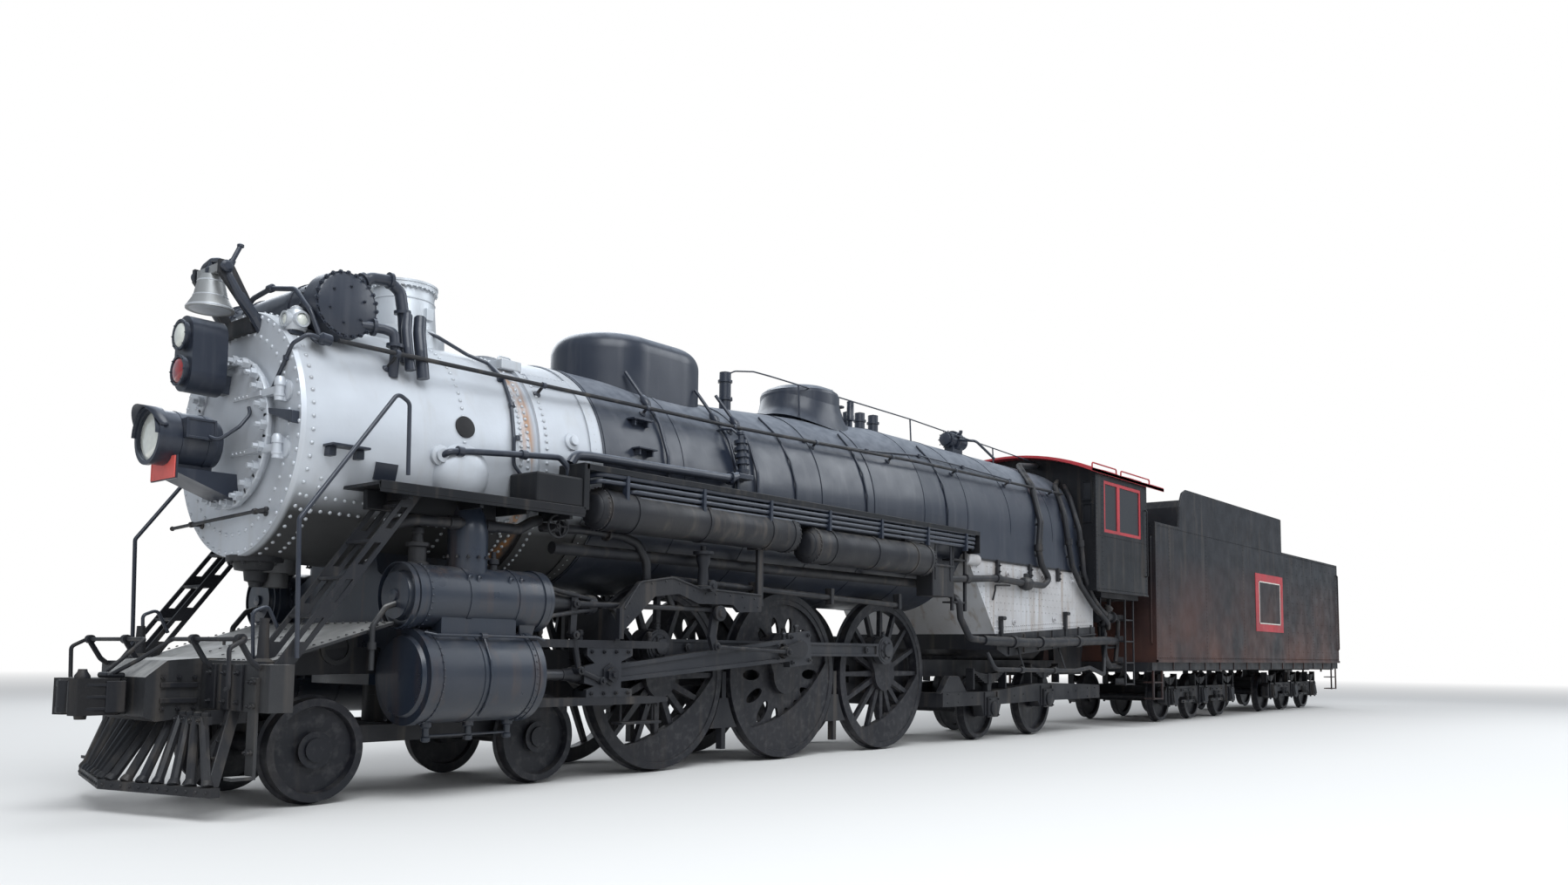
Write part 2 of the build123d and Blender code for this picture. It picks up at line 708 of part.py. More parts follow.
# Smokebox front: fixed ring plate, with the door hung on it
door_radius = 620.0
door_hinge_y = 800.0
front_plate_thickness = 40.0
door_front_x = smokebox_front_x + front_plate_thickness
hinge_radius = 38.0
hinge_x = door_front_x + 60
hinge_heights = (boiler_z + 270, boiler_z - 200)
hinge_half_height = 32.0
eye_height = 58.0
with BuildPart() as smokebox_front:
    add_turned([(smokebox_front_x, 0), (smokebox_front_x, smokebox_front_radius),
                (door_front_x, smokebox_front_radius - 12), (door_front_x, 0)],
               (0, 0, boiler_z), (1, 0, 0), (0, 0, 1))
    for z in hinge_heights:
        for z_low in (z - hinge_half_height - eye_height, z + hinge_half_height):
            add_bar((hinge_x, door_hinge_y, z_low), (hinge_x, door_hinge_y, z_low + eye_height),
                    hinge_radius)
            add_block(door_front_x, hinge_x, door_hinge_y - 30, door_hinge_y + 30, z_low,
                      z_low + eye_height)
save(smokebox_front.part, "smokebox_front")

door_crown = 70.0
door_edge = 30.0
door_seat_x = door_front_x + seat_gap
with BuildPart() as smokebox_door:
    crown_points = dome_points(door_radius, door_edge, door_edge + door_crown, 5)
    door_outline = [(door_seat_x, 0), (door_seat_x, door_radius)]
    door_outline += [(door_seat_x + x, r) for r, x in crown_points]
    add_turned(door_outline, (0, 0, boiler_z), (1, 0, 0), (0, 0, 1))
    for z in hinge_heights:
        add_block(hinge_x - 24, hinge_x + 24, 180, door_hinge_y, z - 30, z + 30)
        low, high = z - hinge_half_height + seat_gap, z + hinge_half_height - seat_gap
        add_bar((hinge_x, door_hinge_y, low), (hinge_x, door_hinge_y, high), hinge_radius)
save(smokebox_door.part, "smokebox_door")

# Headlight on its shelf, both carried by the door
lamp_z = 2965.0
lamp_radius = 225.0
shelf_z = 2660.0
headlight_rear_x = 6640.0
headlight_front_x = 7050.0
shelf_front_x = 7010.0
door_face_x = door_seat_x + door_edge
with BuildPart() as headlight:
    add_turned([(headlight_rear_x, 0), (headlight_rear_x, lamp_radius - 30),
                (headlight_rear_x + 60, lamp_radius), (headlight_front_x, lamp_radius),
                (headlight_front_x, lamp_radius - 20), (headlight_front_x - 40, lamp_radius - 20),
                (headlight_front_x - 40, 0)],
               (0, 0, lamp_z), (1, 0, 0), (0, 0, 1))
    with BuildSketch(Plane.YZ.offset(headlight_front_x - 5)) as hood:
        with Locations((0, lamp_z)):
            Circle(lamp_radius)
            Circle(lamp_radius - 8, mode=Mode.SUBTRACT)
        with Locations((0, lamp_z - lamp_radius)):
            Rectangle(3 * lamp_radius, 2 * lamp_radius, mode=Mode.SUBTRACT)
    extrude(hood.sketch, amount=150)
    add_block(headlight_rear_x + 110, headlight_rear_x + 340, -lamp_radius - 60, lamp_radius + 60,
              lamp_z - 10, lamp_z + 150)
    add_block(headlight_rear_x + 40, headlight_front_x - 60, -90, 90, shelf_z + 55,
              lamp_z - lamp_radius + 30)
    lamp_shelf = [
        (door_face_x, shelf_z - 160),
        (door_face_x + 60, shelf_z - 160),
        (shelf_front_x, shelf_z + 20),
        (shelf_front_x, shelf_z + 55),
        (door_face_x, shelf_z + 55),
    ]
    add_side_plate(lamp_shelf, -190, 190)
    add_block(shelf_front_x, shelf_front_x + 14, -230, 230, shelf_z - 40, shelf_z + 150)
    add(smokebox_door.part, mode=Mode.SUBTRACT)
save(headlight.part, "headlight")

# Signal lamp: a tall housing with an upper and a lower lens, on an arm from the door
signal_z = 3705.0
signal_y = -60.0
signal_front_x = 6890.0
signal_rear_x = 6600.0
signal_height = 640.0
signal_width = 330.0
with BuildPart() as signal_lamp:
    with BuildSketch(Plane.YZ.offset(signal_rear_x)) as housing:
        with Locations((signal_y, signal_z)):
            SlotOverall(signal_height, signal_width, rotation=90)
    extrude(housing.sketch, amount=signal_front_x - signal_rear_x)
    for z in (signal_z + 150, signal_z - 150):
        add_bar((signal_front_x, signal_y, z), (signal_front_x + 30, signal_y, z), 118)
    arm_bottom_z = signal_z - signal_height / 2 + 30
    add_block(door_seat_x + 20, signal_rear_x, signal_y - 60, signal_y + 60, arm_bottom_z,
              arm_bottom_z + 160)
    add(smokebox_door.part, mode=Mode.SUBTRACT)
save(signal_lamp.part, "signal_lamp")

# Bell on its bracket over the smokebox front
bell_x = 6720.0
bell_mouth_z = 4100.0
bell_height = 330.0
bell_pivot_z = bell_mouth_z + bell_height
bell_mouth_radius = 190.0
bracket_foot_x = 6300.0
bracket_foot_z = 4030.0
with BuildPart() as bell_bracket:
    for side in (1, -1):
        post = [
            (bell_x - 50, bell_pivot_z + 55),
            (bell_x + 50, bell_pivot_z + 55),
            (bell_x + 50, bell_pivot_z - 55),
            (bell_x - 230, bell_mouth_z - 60),
            (bell_x - 230, bracket_foot_z),
            (bracket_foot_x, bracket_foot_z),
            (bracket_foot_x, bell_mouth_z),
            (bell_x - 280, bell_mouth_z),
        ]
        low, high = sorted((side * (bell_mouth_radius + 15), side * (bell_mouth_radius + 60)))
        add_side_plate(post, low, high)
        add_bar((bell_x, low, bell_pivot_z), (bell_x, high, bell_pivot_z), 22 + running_fit,
                mode=Mode.SUBTRACT)
    add_block(bracket_foot_x, bell_x - 230, -bell_mouth_radius - 60, bell_mouth_radius + 60,
              boiler_z + 850, bracket_foot_z + 40)
    clear_boiler()
    add(smokebox_front.part, mode=Mode.SUBTRACT)
save(bell_bracket.part, "bell_bracket")

with BuildPart() as bell:
    bell_outline = [
        (bell_mouth_z, bell_mouth_radius - 25),
        (bell_mouth_z, bell_mouth_radius),
        (bell_mouth_z + 30, bell_mouth_radius - 10),
        (bell_mouth_z + 110, 135),
        (bell_mouth_z + 240, 108),
        (bell_mouth_z + 300, 78),
        (bell_mouth_z + 300, 0),
        (bell_mouth_z + 270, 0),
        (bell_mouth_z + 220, 86),
        (bell_mouth_z + 100, 112),
    ]
    with BuildSketch(Plane((bell_x, 0, 0), x_dir=(1, 0, 0), z_dir=(0, -1, 0))) as bell_half:
        with BuildLine():
            Polyline(*[(r, z) for z, r in bell_outline], close=True)
        make_face()
    revolve(bell_half.sketch, axis=Axis((bell_x, 0, 0), (0, 0, 1)))
    trunnion_end = bell_mouth_radius + 70
    add_bar((bell_x, -trunnion_end, bell_pivot_z), (bell_x, trunnion_end, bell_pivot_z), 22)
    add_block(bell_x - 40, bell_x + 40, -bell_mouth_radius + 5, bell_mouth_radius - 5,
              bell_pivot_z - 35, bell_pivot_z + 35)
    add_block(bell_x - 35, bell_x + 35, -35, 35, bell_mouth_z + 290, bell_pivot_z)
save(bell.part, "bell")

# Feedwater heater: a drum lying across the smokebox ahead of the stack
heater_x = 6000.0
heater_z = 4160.0
heater_radius = 290.0
heater_half_length = 900.0
with BuildPart() as heater:
    heater_outline = [
        (-heater_half_length, 0),
        (-heater_half_length, heater_radius - 10),
        (-heater_half_length + 110, heater_radius),
        (-heater_half_length + 110, heater_radius - 40),
        (heater_half_length - 170, heater_radius - 40),
        (heater_half_length - 170, heater_radius),
        (heater_half_length, heater_radius - 10),
        (heater_half_length, 0),
    ]
    add_turned(heater_outline, (heater_x, 0, heater_z), (0, 1, 0), (0, 0, 1))
    for y in (-480, 480):
        add_block(heater_x - 200, heater_x + 200, y - 60, y + 60, heater_z - 560, heater_z - 60)
    clear_boiler()
    add(bell_bracket.part, mode=Mode.SUBTRACT)
save(heater.part, "feedwater_heater")

# Stack, domes and generator
with BuildPart() as stack:
    stack_outline = [
        (boiler_z + 900, stack_radius + 110),
        (boiler_z + 1150, stack_radius + 100),
        (boiler_z + 1230, stack_radius + 20),
        (stack_top_z - 60, stack_radius - 10),
        (stack_top_z - 60, stack_radius + 20),
        (stack_top_z, stack_radius + 20),
        (stack_top_z, stack_radius - 40),
        (boiler_z + 1300, stack_radius - 50),
        (boiler_z + 1300, 0),
        (boiler_z + 900, 0),
    ]
    with BuildSketch(Plane((stack_x, 0, 0), x_dir=(1, 0, 0), z_dir=(0, -1, 0))) as stack_half:
        with BuildLine():
            Polyline(*[(r, z) for z, r in stack_outline], close=True)
        make_face()
    revolve(stack_half.sketch, axis=Axis((stack_x, 0, 0), (0, 0, 1)))
    clear_boiler()
save(stack.part, "stack")

sand_dome_half_width = 640.0
with BuildPart() as sand_dome:
    middle_x = (sand_dome_front_x + sand_dome_rear_x) / 2
    dome_length = sand_dome_front_x - sand_dome_rear_x
    with BuildSketch(Plane.XY.offset(boiler_z + 700)) as dome_base:
        with Locations((middle_x, 0)):
            SlotOverall(dome_length, 2 * sand_dome_half_width)
    extrude(dome_base.sketch, amount=sand_dome_top_z - boiler_z - 700)
    fillet(sand_dome.faces().sort_by(Axis.Z)[-1].edges(), radius=sand_dome_edge)
    clear_boiler()
save(sand_dome.part, "sand_dome")

with BuildPart() as steam_dome:
    dome_outline = [(0, boiler_z + 800), (steam_dome_radius, boiler_z + 800)]
    dome_outline += dome_points(steam_dome_radius, steam_dome_top_z - steam_dome_crown,
                                steam_dome_top_z, 6)
    with BuildSketch(Plane((steam_dome_x, 0, 0), x_dir=(1, 0, 0), z_dir=(0, -1, 0))) as dome_half:
        with BuildLine():
            Polyline(*dome_outline, close=True)
        make_face()
    revolve(dome_half.sketch, axis=Axis((steam_dome_x, 0, 0), (0, 0, 1)))
    clear_boiler()
save(steam_dome.part, "steam_dome")

# Station, radius and top of each valve
valve_rows = ((250, 75, 4830), (-2380, 60, 4760), (-2700, 75, 4800), (-3040, 75, 4820))
with BuildPart() as safety_valves:
    for x, radius, top_z in valve_rows:
        add_bar((x, 0, boiler_z + 1100), (x, 0, top_z), radius)
        add_bar((x, 0, boiler_z + 1100), (x, 0, top_z - 190), radius * 0.7)
    clear_boiler()
save(safety_valves.part, "safety_valves")

generator_x = -5350.0
generator_z = 4780.0
with BuildPart() as generator:
    add_turned([(generator_x - 260, 0), (generator_x - 260, 120), (generator_x - 60, 130),
                (generator_x - 60, 165), (generator_x + 60, 165), (generator_x + 60, 130),
                (generator_x + 230, 120), (generator_x + 230, 0)],
               (0, 0, generator_z), (1, 0, 0), (0, 0, 1))
    add_block(generator_x - 150, generator_x + 150, -80, 80, rear_boiler_z + 1200, generator_z - 50)
    clear_boiler()
save(generator.part, "generator")

# Front beam, with the deck that slopes back to the cylinders
deck_half_width = 1150.0
pocket_front_x = 7250.0
deck_rear_x = 5600.0
deck_rear_z = 1480.0
with BuildPart() as front_deck:
    beam_outline = [
        (beam_rear_x, beam_bottom_z),
        (beam_front_x, beam_bottom_z),
        (beam_front_x, beam_top_z),
        (beam_rear_x, beam_top_z),
    ]
    add_side_plate(beam_outline, -beam_half_width, beam_half_width)
    pocket = [
        (beam_front_x, beam_bottom_z - 60),
        (pocket_front_x - 90, coupler_z - 190),
        (pocket_front_x, coupler_z - 150),
        (pocket_front_x, coupler_z + 150),
        (beam_front_x + 260, beam_top_z + 20),
        (beam_front_x, beam_top_z + 40),
        (beam_rear_x, beam_top_z + 40),
        (beam_rear_x, beam_bottom_z - 60),
    ]
    add_side_plate(pocket, -420, 420)
    deck_plate = [
        (beam_rear_x, beam_top_z),
        (beam_front_x - 20, beam_top_z),
        (beam_front_x - 20, beam_top_z + 25),
        (beam_rear_x, beam_top_z + 25),
        (deck_rear_x, deck_rear_z + 25),
        (deck_rear_x, deck_rear_z),
    ]
    add_side_plate(deck_plate, -deck_half_width, deck_half_width)
    for side in (1, -1):
        gusset = [
            (beam_rear_x, frame_top_z - 140),
            (saddle_front_x + 300, frame_top_z),
            (deck_rear_x, frame_top_z),
            (deck_rear_x, deck_rear_z + 1),
            (beam_rear_x, beam_top_z + 1),
        ]
        low, high = sorted((side * (frame_outer_y - 40), side * frame_outer_y))
        add_side_plate(gusset, low, high)
        strap_low, strap_high = sorted((side * 1240, side * 1360))
        step_x = beam_front_x
        strap = [
            (step_x, beam_top_z - 100),
            (step_x + 25, beam_top_z - 100),
            (step_x + 25, 330),
            (step_x + 180, 330),
            (step_x + 180, 305),
            (step_x, 305),
        ]
        add_side_plate(strap, strap_low, strap_high)
save(front_deck.part, "front_deck")


shank_half_width = 90.0
coupler_height = 280.0


def add_coupler(seat_x, face_x):
    """A knuckle coupler from its shank's seat to its jaw's face."""
    sign = 1 if face_x > seat_x else -1
    jaw = [(-330, -190), (-60, -230), (0, -180), (-40, -90), (-190, -60), (-190, 40), (-60, 60),
           (0, 110), (-30, 210), (-330, 190)]
    plan = [(seat_x, -shank_half_width), (face_x - sign * 380, -shank_half_width)]
    plan += [(face_x + sign * x, y) for x, y in jaw]
    plan += [(face_x - sign * 380, shank_half_width), (seat_x, shank_half_width)]
    with BuildSketch(Plane.XY.offset(coupler_z - coupler_height / 2)) as section:
        with BuildLine():
            Polyline(*plan, close=True)
        make_face()
    extrude(section.sketch, amount=coupler_height)


with BuildPart() as front_coupler:
    add_coupler(pocket_front_x + seat_gap, coupler_front_x)
save(front_coupler.part, "front_coupler")

# Pilot: a bottom rim in a wide V, a top rail and slanted bars between them
pilot_nose_x = 7385.0
pilot_end_x = 7080.0
pilot_half_width = 1200.0
pilot_bottom_z = 178.0
pilot_top_z = 690.0
pilot_top_x = 6950.0
pilot_top_half_width = 900.0
bar_count = 7
with BuildPart() as pilot:
    for side in (1, -1):
        rim = [
            (pilot_nose_x, 0),
            (pilot_end_x, side * pilot_half_width),
            (pilot_end_x - 70, side * pilot_half_width),
            (pilot_nose_x - 70, 0),
        ]
        with BuildSketch(Plane.XY.offset(pilot_bottom_z)) as rim_plan:
            with BuildLine():
                Polyline(*rim, close=True)
            make_face()
        extrude(rim_plan.sketch, amount=70)
        for step in range(1, bar_count + 1):
            share = (step - 0.5) / bar_count
            foot_x = pilot_nose_x - 35 + (pilot_end_x - pilot_nose_x) * share
            foot_y = side * pilot_half_width * share
            add_bar((foot_x, foot_y, pilot_bottom_z + 35),
                    (pilot_top_x + 30, side * pilot_top_half_width * share, pilot_top_z + 30), 24)
        low, high = sorted((side * (pilot_top_half_width - 120), side * (pilot_top_half_width - 60)))
        brace = [
            (beam_rear_x + 20, beam_bottom_z),
            (pilot_end_x - 60, pilot_bottom_z + 70),
            (pilot_end_x + 20, pilot_bottom_z + 70),
            (beam_rear_x + 120, beam_bottom_z),
        ]
        add_side_plate(brace, low, high)
    add_block(pilot_top_x, pilot_top_x + 60, -pilot_top_half_width, pilot_top_half_width,
              pilot_top_z, pilot_top_z + 60)
    add_block(beam_rear_x + 20, pilot_top_x + 10, pilot_top_half_width - 120,
              pilot_top_half_width - 60, pilot_top_z, beam_bottom_z)
    add_block(beam_rear_x + 20, pilot_top_x + 10, 60 - pilot_top_half_width,
              120 - pilot_top_half_width, pilot_top_z, beam_bottom_z)
    add(front_deck.part, mode=Mode.SUBTRACT)
save(pilot.part, "pilot")

# Ladders from the front beam up to the running boards
ladder_foot_x = 6740.0
ladder_top_x = 5660.0
ladder_inner_y = 1030.0
ladder_outer_y = 1400.0
stringer_thickness = 25.0
stringer_depth = 150.0
with BuildPart() as ladders:
    rise = front_board_z - beam_top_z
    reach = ladder_foot_x - ladder_top_x
    for side in (1, -1):
        for y in (ladder_inner_y, ladder_outer_y):
            low, high = sorted((side * y, side * (y - stringer_thickness)))
            stringer = [
                (ladder_foot_x, beam_top_z),
                (ladder_foot_x - stringer_depth, beam_top_z),
                (ladder_top_x - stringer_depth, front_board_z),
                (ladder_top_x, front_board_z),
            ]
            add_side_plate(stringer, low, high)
            for step in range(4):
                share = 0.12 + 0.215 * step
                slot = [
                    (ladder_foot_x - reach * share - 45, beam_top_z + rise * share),
                    (ladder_foot_x - reach * share - 105, beam_top_z + rise * share),
                    (ladder_foot_x - reach * (share + 0.13) - 105, beam_top_z + rise * (share + 0.13)),
                    (ladder_foot_x - reach * (share + 0.13) - 45, beam_top_z + rise * (share + 0.13)),
                ]
                add_side_plate(slot, low, high, mode=Mode.SUBTRACT)
        low, high = sorted((side * (ladder_inner_y - 1), side * (ladder_outer_y - 24)))
        for step in range(4):
            share = 0.17 + 0.215 * step
            x = ladder_foot_x - reach * (share + 0.09) - stringer_depth / 2
            z = beam_top_z + rise * (share + 0.09)
            add_block(x - 70, x + 70, low, high, z - 12, z + 12)
    add(front_deck.part, mode=Mode.SUBTRACT)
save(ladders.part, "ladders")

# Running boards: a low board past the smokebox, then a high one with its four clamped pipes
with BuildPart() as running_boards:
    for side in (1, -1):
        low, high = sorted((side * 700, side * board_half_width))
        add_block(front_board_rear_x, front_board_front_x, low, high, front_board_z,
                  front_board_z + board_thickness)
        rim_low, rim_high = sorted((side * (board_half_width - 12), side * board_half_width))
        add_block(front_board_rear_x, front_board_front_x, rim_low, rim_high, front_board_z - 60,
                  front_board_z + 1)
        add_block(upper_board_rear_x, upper_board_front_x, low, high, upper_board_z,
                  upper_board_z + board_thickness)
        add_block(upper_board_front_x, upper_board_front_x + 20, low, high, front_board_z,
                  upper_board_z + board_thickness)
        add_block(upper_board_rear_x, upper_board_rear_x + 20, low, high, firebox_top_z + 30,
                  upper_board_z + board_thickness)
    clear_boiler()
    add(cylinders.part, mode=Mode.SUBTRACT)
save(running_boards.part, "running_boards")

# Air reservoirs under the boards, hung on straps
drum_rows = (
    # rear x, front x, distance from the centre line, height, radius
    (560.0, 3600.0, 1335.0, 2650.0, 203.0),
    (-2300.0, 330.0, 1375.0, 2555.0, 210.0),
)
with BuildPart() as reservoirs:
    for side in (1, -1):
        for x_rear, x_front, drum_y, z, radius in drum_rows:
            add_turned([(x_rear, 0), (x_rear, radius - 40), (x_rear + 40, radius),
                        (x_front - 40, radius), (x_front, radius - 40), (x_front, 0)],
                       (0, side * drum_y, z), (1, 0, 0), (0, 0, 1))
            for x in (x_rear + 500, x_front - 500):
                low, high = sorted((side * (drum_y - radius - 60), side * drum_y))
                add_block(x - 35, x + 35, low, high, z + radius - 60, z + radius)
                low, high = sorted((side * (drum_y - 30), side * (drum_y + 30)))
                add_block(x - 35, x + 35, low, high, z + radius - 20, upper_board_z)
    clear_boiler()
save(reservoirs.part, "reservoirs")

# Handrails: one long rail on each side of the boiler, on posts
rail_front_x, rail_front_z = 6150.0, 3790.0
rail_rear_x, rail_rear_z = -6900.0, 3990.0
rail_radius = 20.0
rail_clear = 95.0
post_radius = 16.0
post_places = (5600, 4000, 2600, 1200, -250, -1800, -3400, -5000, -6500)


def boiler_section(x):
    """The height of the boiler's centre and its radius at a station."""
    if x > smokebox_rear_x:
        share = (smokebox_front_x - x) / (smokebox_front_x - smokebox_rear_x)
        return boiler_z, smokebox_front_radius + (smokebox_rear_radius - smokebox_front_radius) * share
    if x > jacket_front_x:
        share = (smokebox_rear_x - x) / (smokebox_rear_x - jacket_front_x)
        return boiler_z, silver_front_radius + (silver_rear_radius - silver_front_radius) * share
    share = min(1.0, max(0.0, (taper_front_x - x) / (taper_front_x - taper_rear_x)))
    radius = jacket_front_radius + (jacket_rear_radius - jacket_front_radius) * share
    return boiler_z + (rear_boiler_z - boiler_z) * share, radius


def rail_z(x):
    """The rail climbs evenly from its front end to its rear end."""
    share = (rail_front_x - x) / (rail_front_x - rail_rear_x)
    return rail_front_z + (rail_rear_z - rail_front_z) * share


def rail_corner(x):
    """Where the rail runs at one of its corners, clear of the jacket, as y and z."""
    centre, radius = boiler_section(min(x, jacket_front_x))
    return math.sqrt((radius + rail_clear) ** 2 - (rail_z(x) - centre) ** 2), rail_z(x)


def rail_place(x):
    """The rail's y and z at a station, along its straight runs."""
    for x1, x2 in zip(rail_corners, rail_corners[1:]):
        if x >= x2:
            share = (x1 - x) / (x1 - x2)
            (y1, z1), (y2, z2) = rail_corner(x1), rail_corner(x2)
            return y1 + (y2 - y1) * share, z1 + (z2 - z1) * share


rail_corners = (rail_front_x, taper_front_x, taper_rear_x, rail_rear_x)
with BuildPart() as handrails:
    route = [(x, -rail_corner(x)[0], rail_corner(x)[1]) for x in rail_corners]
    with BuildLine() as rail_line:
        Polyline(*route)
    with BuildSketch(Plane(origin=route[0], z_dir=rail_line.line % 0)) as rail_section:
        Circle(rail_radius)
    sweep(rail_section.sketch, path=rail_line.line, transition=Transition.RIGHT)
    for x in post_places:
        y, z = rail_place(x)
        centre, radius = boiler_section(x)
        share = radius / math.hypot(y, z - centre)
        add_bar((x, -y, z), (x, -y * share, centre + (z - centre) * share), post_radius)
    clear_boiler()
    mirror(about=Plane.XZ)
save(handrails.part, "handrails")

# Main pipes along the engine's sides, held by arms from the boiler and from the ash pan
side_pipe_y = 1100.0
side_pipe_z = 2260.0
low_pipe_y = 1420.0
with BuildPart() as piping:
    for side in (1, -1):
        add_bar((3900, side * side_pipe_y, side_pipe_z), (-3300, side * side_pipe_y, side_pipe_z), 60)
        for x in (3500, 1000, -1500, -3200):
            low, high = sorted((side * 700, side * side_pipe_y))
            add_block(x - 20, x + 20, low, high, side_pipe_z - 20, side_pipe_z + 20)
        add_pipe([(-3800, side * low_pipe_y, 1500), (-5200, side * low_pipe_y, 1480),
                  (-8050, side * low_pipe_y, 1560), (-8900, side * 1200, 1560)], 70, 250)
        for x in (-4700, -6200, -7500):
            low, high = sorted((side * (firebox_half_width + 30 + seat_gap), side * low_pipe_y))
            add_block(x - 20, x + 20, low, high, 1480, 1530)
    clear_boiler()
save(piping.part, "piping")

# Valve gear: link bracket, link, eccentric rod, radius rod and combination lever
link_x, link_z = 1763.0, 1700.0
lever_x = 3720.0
gear_rod_radius = 28.0
eccentric_rod_radius = 22.0
with BuildPart() as valve_gear:
    for side in (1, -1):
        dx, dz = crank_offset(side)
        bracket = [
            (yoke_front_x, 1400),
            (yoke_front_x, 1700),
            (2960, 1980),
            (2500, 2050),
            (2100, 1960),
            (1080, 1930),
            (1080, 1740),
            (1450, 1720),
            (1560, 1800),
            (2100, 1790),
            (2400, 1880),
            (2750, 1840),
            (yoke_rear_x, 1480),
            (yoke_rear_x, 1400),
        ]
        low, high = sorted((side * gear_frame_y, side * (gear_frame_y + 50)))
        add_side_plate(bracket, low, high)
        link_low, link_high = sorted((side * (gear_frame_y - 55), side * (gear_frame_y - 10)))
        link = [
            (link_x + 130, link_z + 290),
            (link_x + 20, link_z + 290),
            (link_x - 60, link_z),
            (link_x - 10, link_z - 250),
            (link_x - 60, link_z - 400),
            (link_x + 40, link_z - 400),
            (link_x + 100, link_z - 250),
            (link_x + 50, link_z),
        ]
        add_side_plate(link, link_low, link_high)
        add_bar((link_x, link_low, link_z), (link_x, side * (gear_frame_y + 55), link_z), 50)
        add_bar((link_x, side * (gear_frame_y + 1), link_z), (link_x, link_low, link_z), 50)
        foot = (link_x - 20, link_z - 360)
        pin = (dx + 330, driver_z + dz - 40)
        add_bar((foot[0], side * (gear_frame_y - 32), foot[1]),
                (pin[0], side * (gear_frame_y - 32), pin[1]), eccentric_rod_radius)
        crank_low, crank_high = sorted((side * (main_rod_outer_y + seat_gap),
                                        side * (main_rod_outer_y + 45)))
        with BuildSketch(Plane((dx, crank_low, driver_z + dz), x_dir=(1, 0, 0),
                               z_dir=(0, -1, 0))) as return_crank:
            Circle(95)
            with Locations((pin[0] - dx, pin[1] - driver_z - dz)):
                Circle(60)
            make_hull()
        extrude(return_crank.sketch, amount=crank_low - crank_high)
        add_bar((pin[0], side * (main_rod_outer_y + 10), pin[1]),
                (pin[0], side * (gear_frame_y - 10), pin[1]), 35)
        add_bar((link_x + 30, side * (gear_frame_y - 32), link_z + 40),
                (lever_x, side * (valve_y + 90), valve_z), gear_rod_radius)
        add_bar((valve_rear_x, side * valve_y, valve_z), (3560, side * valve_y, valve_z), 60)
        add_bar((lever_x, side * (valve_y - 20), valve_z), (lever_x, side * (valve_y + 130), valve_z),
                40)
        lever = [
            (lever_x - 40, valve_z + 60),
            (lever_x + 40, valve_z + 60),
            (lever_x + 50, 1440),
            (lever_x - 20, 1430),
        ]
        low, high = sorted((side * (valve_y + 66), side * (valve_y + 100)))
        add_side_plate(lever, low, high)
save(valve_gear.part, "valve_gear")

# Brake hangers and shoes in the gaps between the driving wheels
brake_clear = 9.0
with BuildPart() as brakes:
    for side in (1, -1):
        for x in (driver_spacing / 2, -driver_spacing / 2):
            low, high = sorted((side * (wheel_back_y + 30), side * (wheel_back_y + 115)))
            add_block(x - 34, x + 34, low, high, 180, 1060)
            add_block(x - 260, x + 260, low, high, 420, 760)
            arm_low, arm_high = sorted((side * frame_outer_y, side * (wheel_back_y + 40)))
            add_block(x - 34, x + 34, arm_low, arm_high, 800, 880)
        for x in driver_x.values():
            low, high = sorted((side * (wheel_back_y - 5), side * (tyre_outer_y + 5)))
            add_bar((x, low, driver_z), (x, high, driver_z),
                    driver_radius + flange_depth + brake_clear, mode=Mode.SUBTRACT)
save(brakes.part, "brake_hangers")

# Cab: side sheets, front sheet and floor, with the windows cut
cab_arc_top_z = cab_eave_z + cab_roof_rise
pane_y, pane_heights = 1405.0, (3700.0, 4080.0)
pane_width, pane_height = 180.0, 310.0
with BuildPart() as cab:
    for side in (1, -1):
        low, high = sorted((side * (cab_half_width - cab_wall), side * cab_half_width))
        add_block(cab_rear_x, cab_front_x, low, high, cab_floor_z, cab_eave_z)
        add_block(window_rear_x, window_front_x, low, high, window_bottom_z, window_top_z,
                  mode=Mode.SUBTRACT)
    with BuildSketch(Plane.YZ.offset(cab_front_x - cab_wall)) as front_sheet:
        with BuildLine():
            Polyline((-cab_half_width, cab_eave_z), (-cab_half_width, cab_floor_z),
                     (cab_half_width, cab_floor_z), (cab_half_width, cab_eave_z))
            ThreePointArc((cab_half_width, cab_eave_z), (0, cab_arc_top_z),
                          (-cab_half_width, cab_eave_z))
        make_face()
        with Locations((0, rear_boiler_z)):
            Circle(jacket_rear_radius + seat_gap, mode=Mode.SUBTRACT)
        with BuildLine():
            Polyline((-jacket_rear_radius - seat_gap, rear_boiler_z),
                     (-skirt_half_width - seat_gap, firebox_top_z - seat_gap),
                     (-firebox_half_width - seat_gap, firebox_top_z - seat_gap),
                     (-firebox_half_width - seat_gap, cab_floor_z - 1),
                     (firebox_half_width + seat_gap, cab_floor_z - 1),
                     (firebox_half_width + seat_gap, firebox_top_z - seat_gap),
                     (skirt_half_width + seat_gap, firebox_top_z - seat_gap),
                     (jacket_rear_radius + seat_gap, rear_boiler_z), close=True)
        make_face(mode=Mode.SUBTRACT)
        for side in (1, -1):
            with Locations(*((side * pane_y, z) for z in pane_heights)):
                Rectangle(pane_width, pane_height, mode=Mode.SUBTRACT)
    extrude(front_sheet.sketch, amount=cab_wall)
    add_block(cab_rear_x, firebox_rear_x - seat_gap, -cab_half_width, cab_half_width, cab_floor_z,
              cab_floor_z + cab_wall)
save(cab.part, "cab")

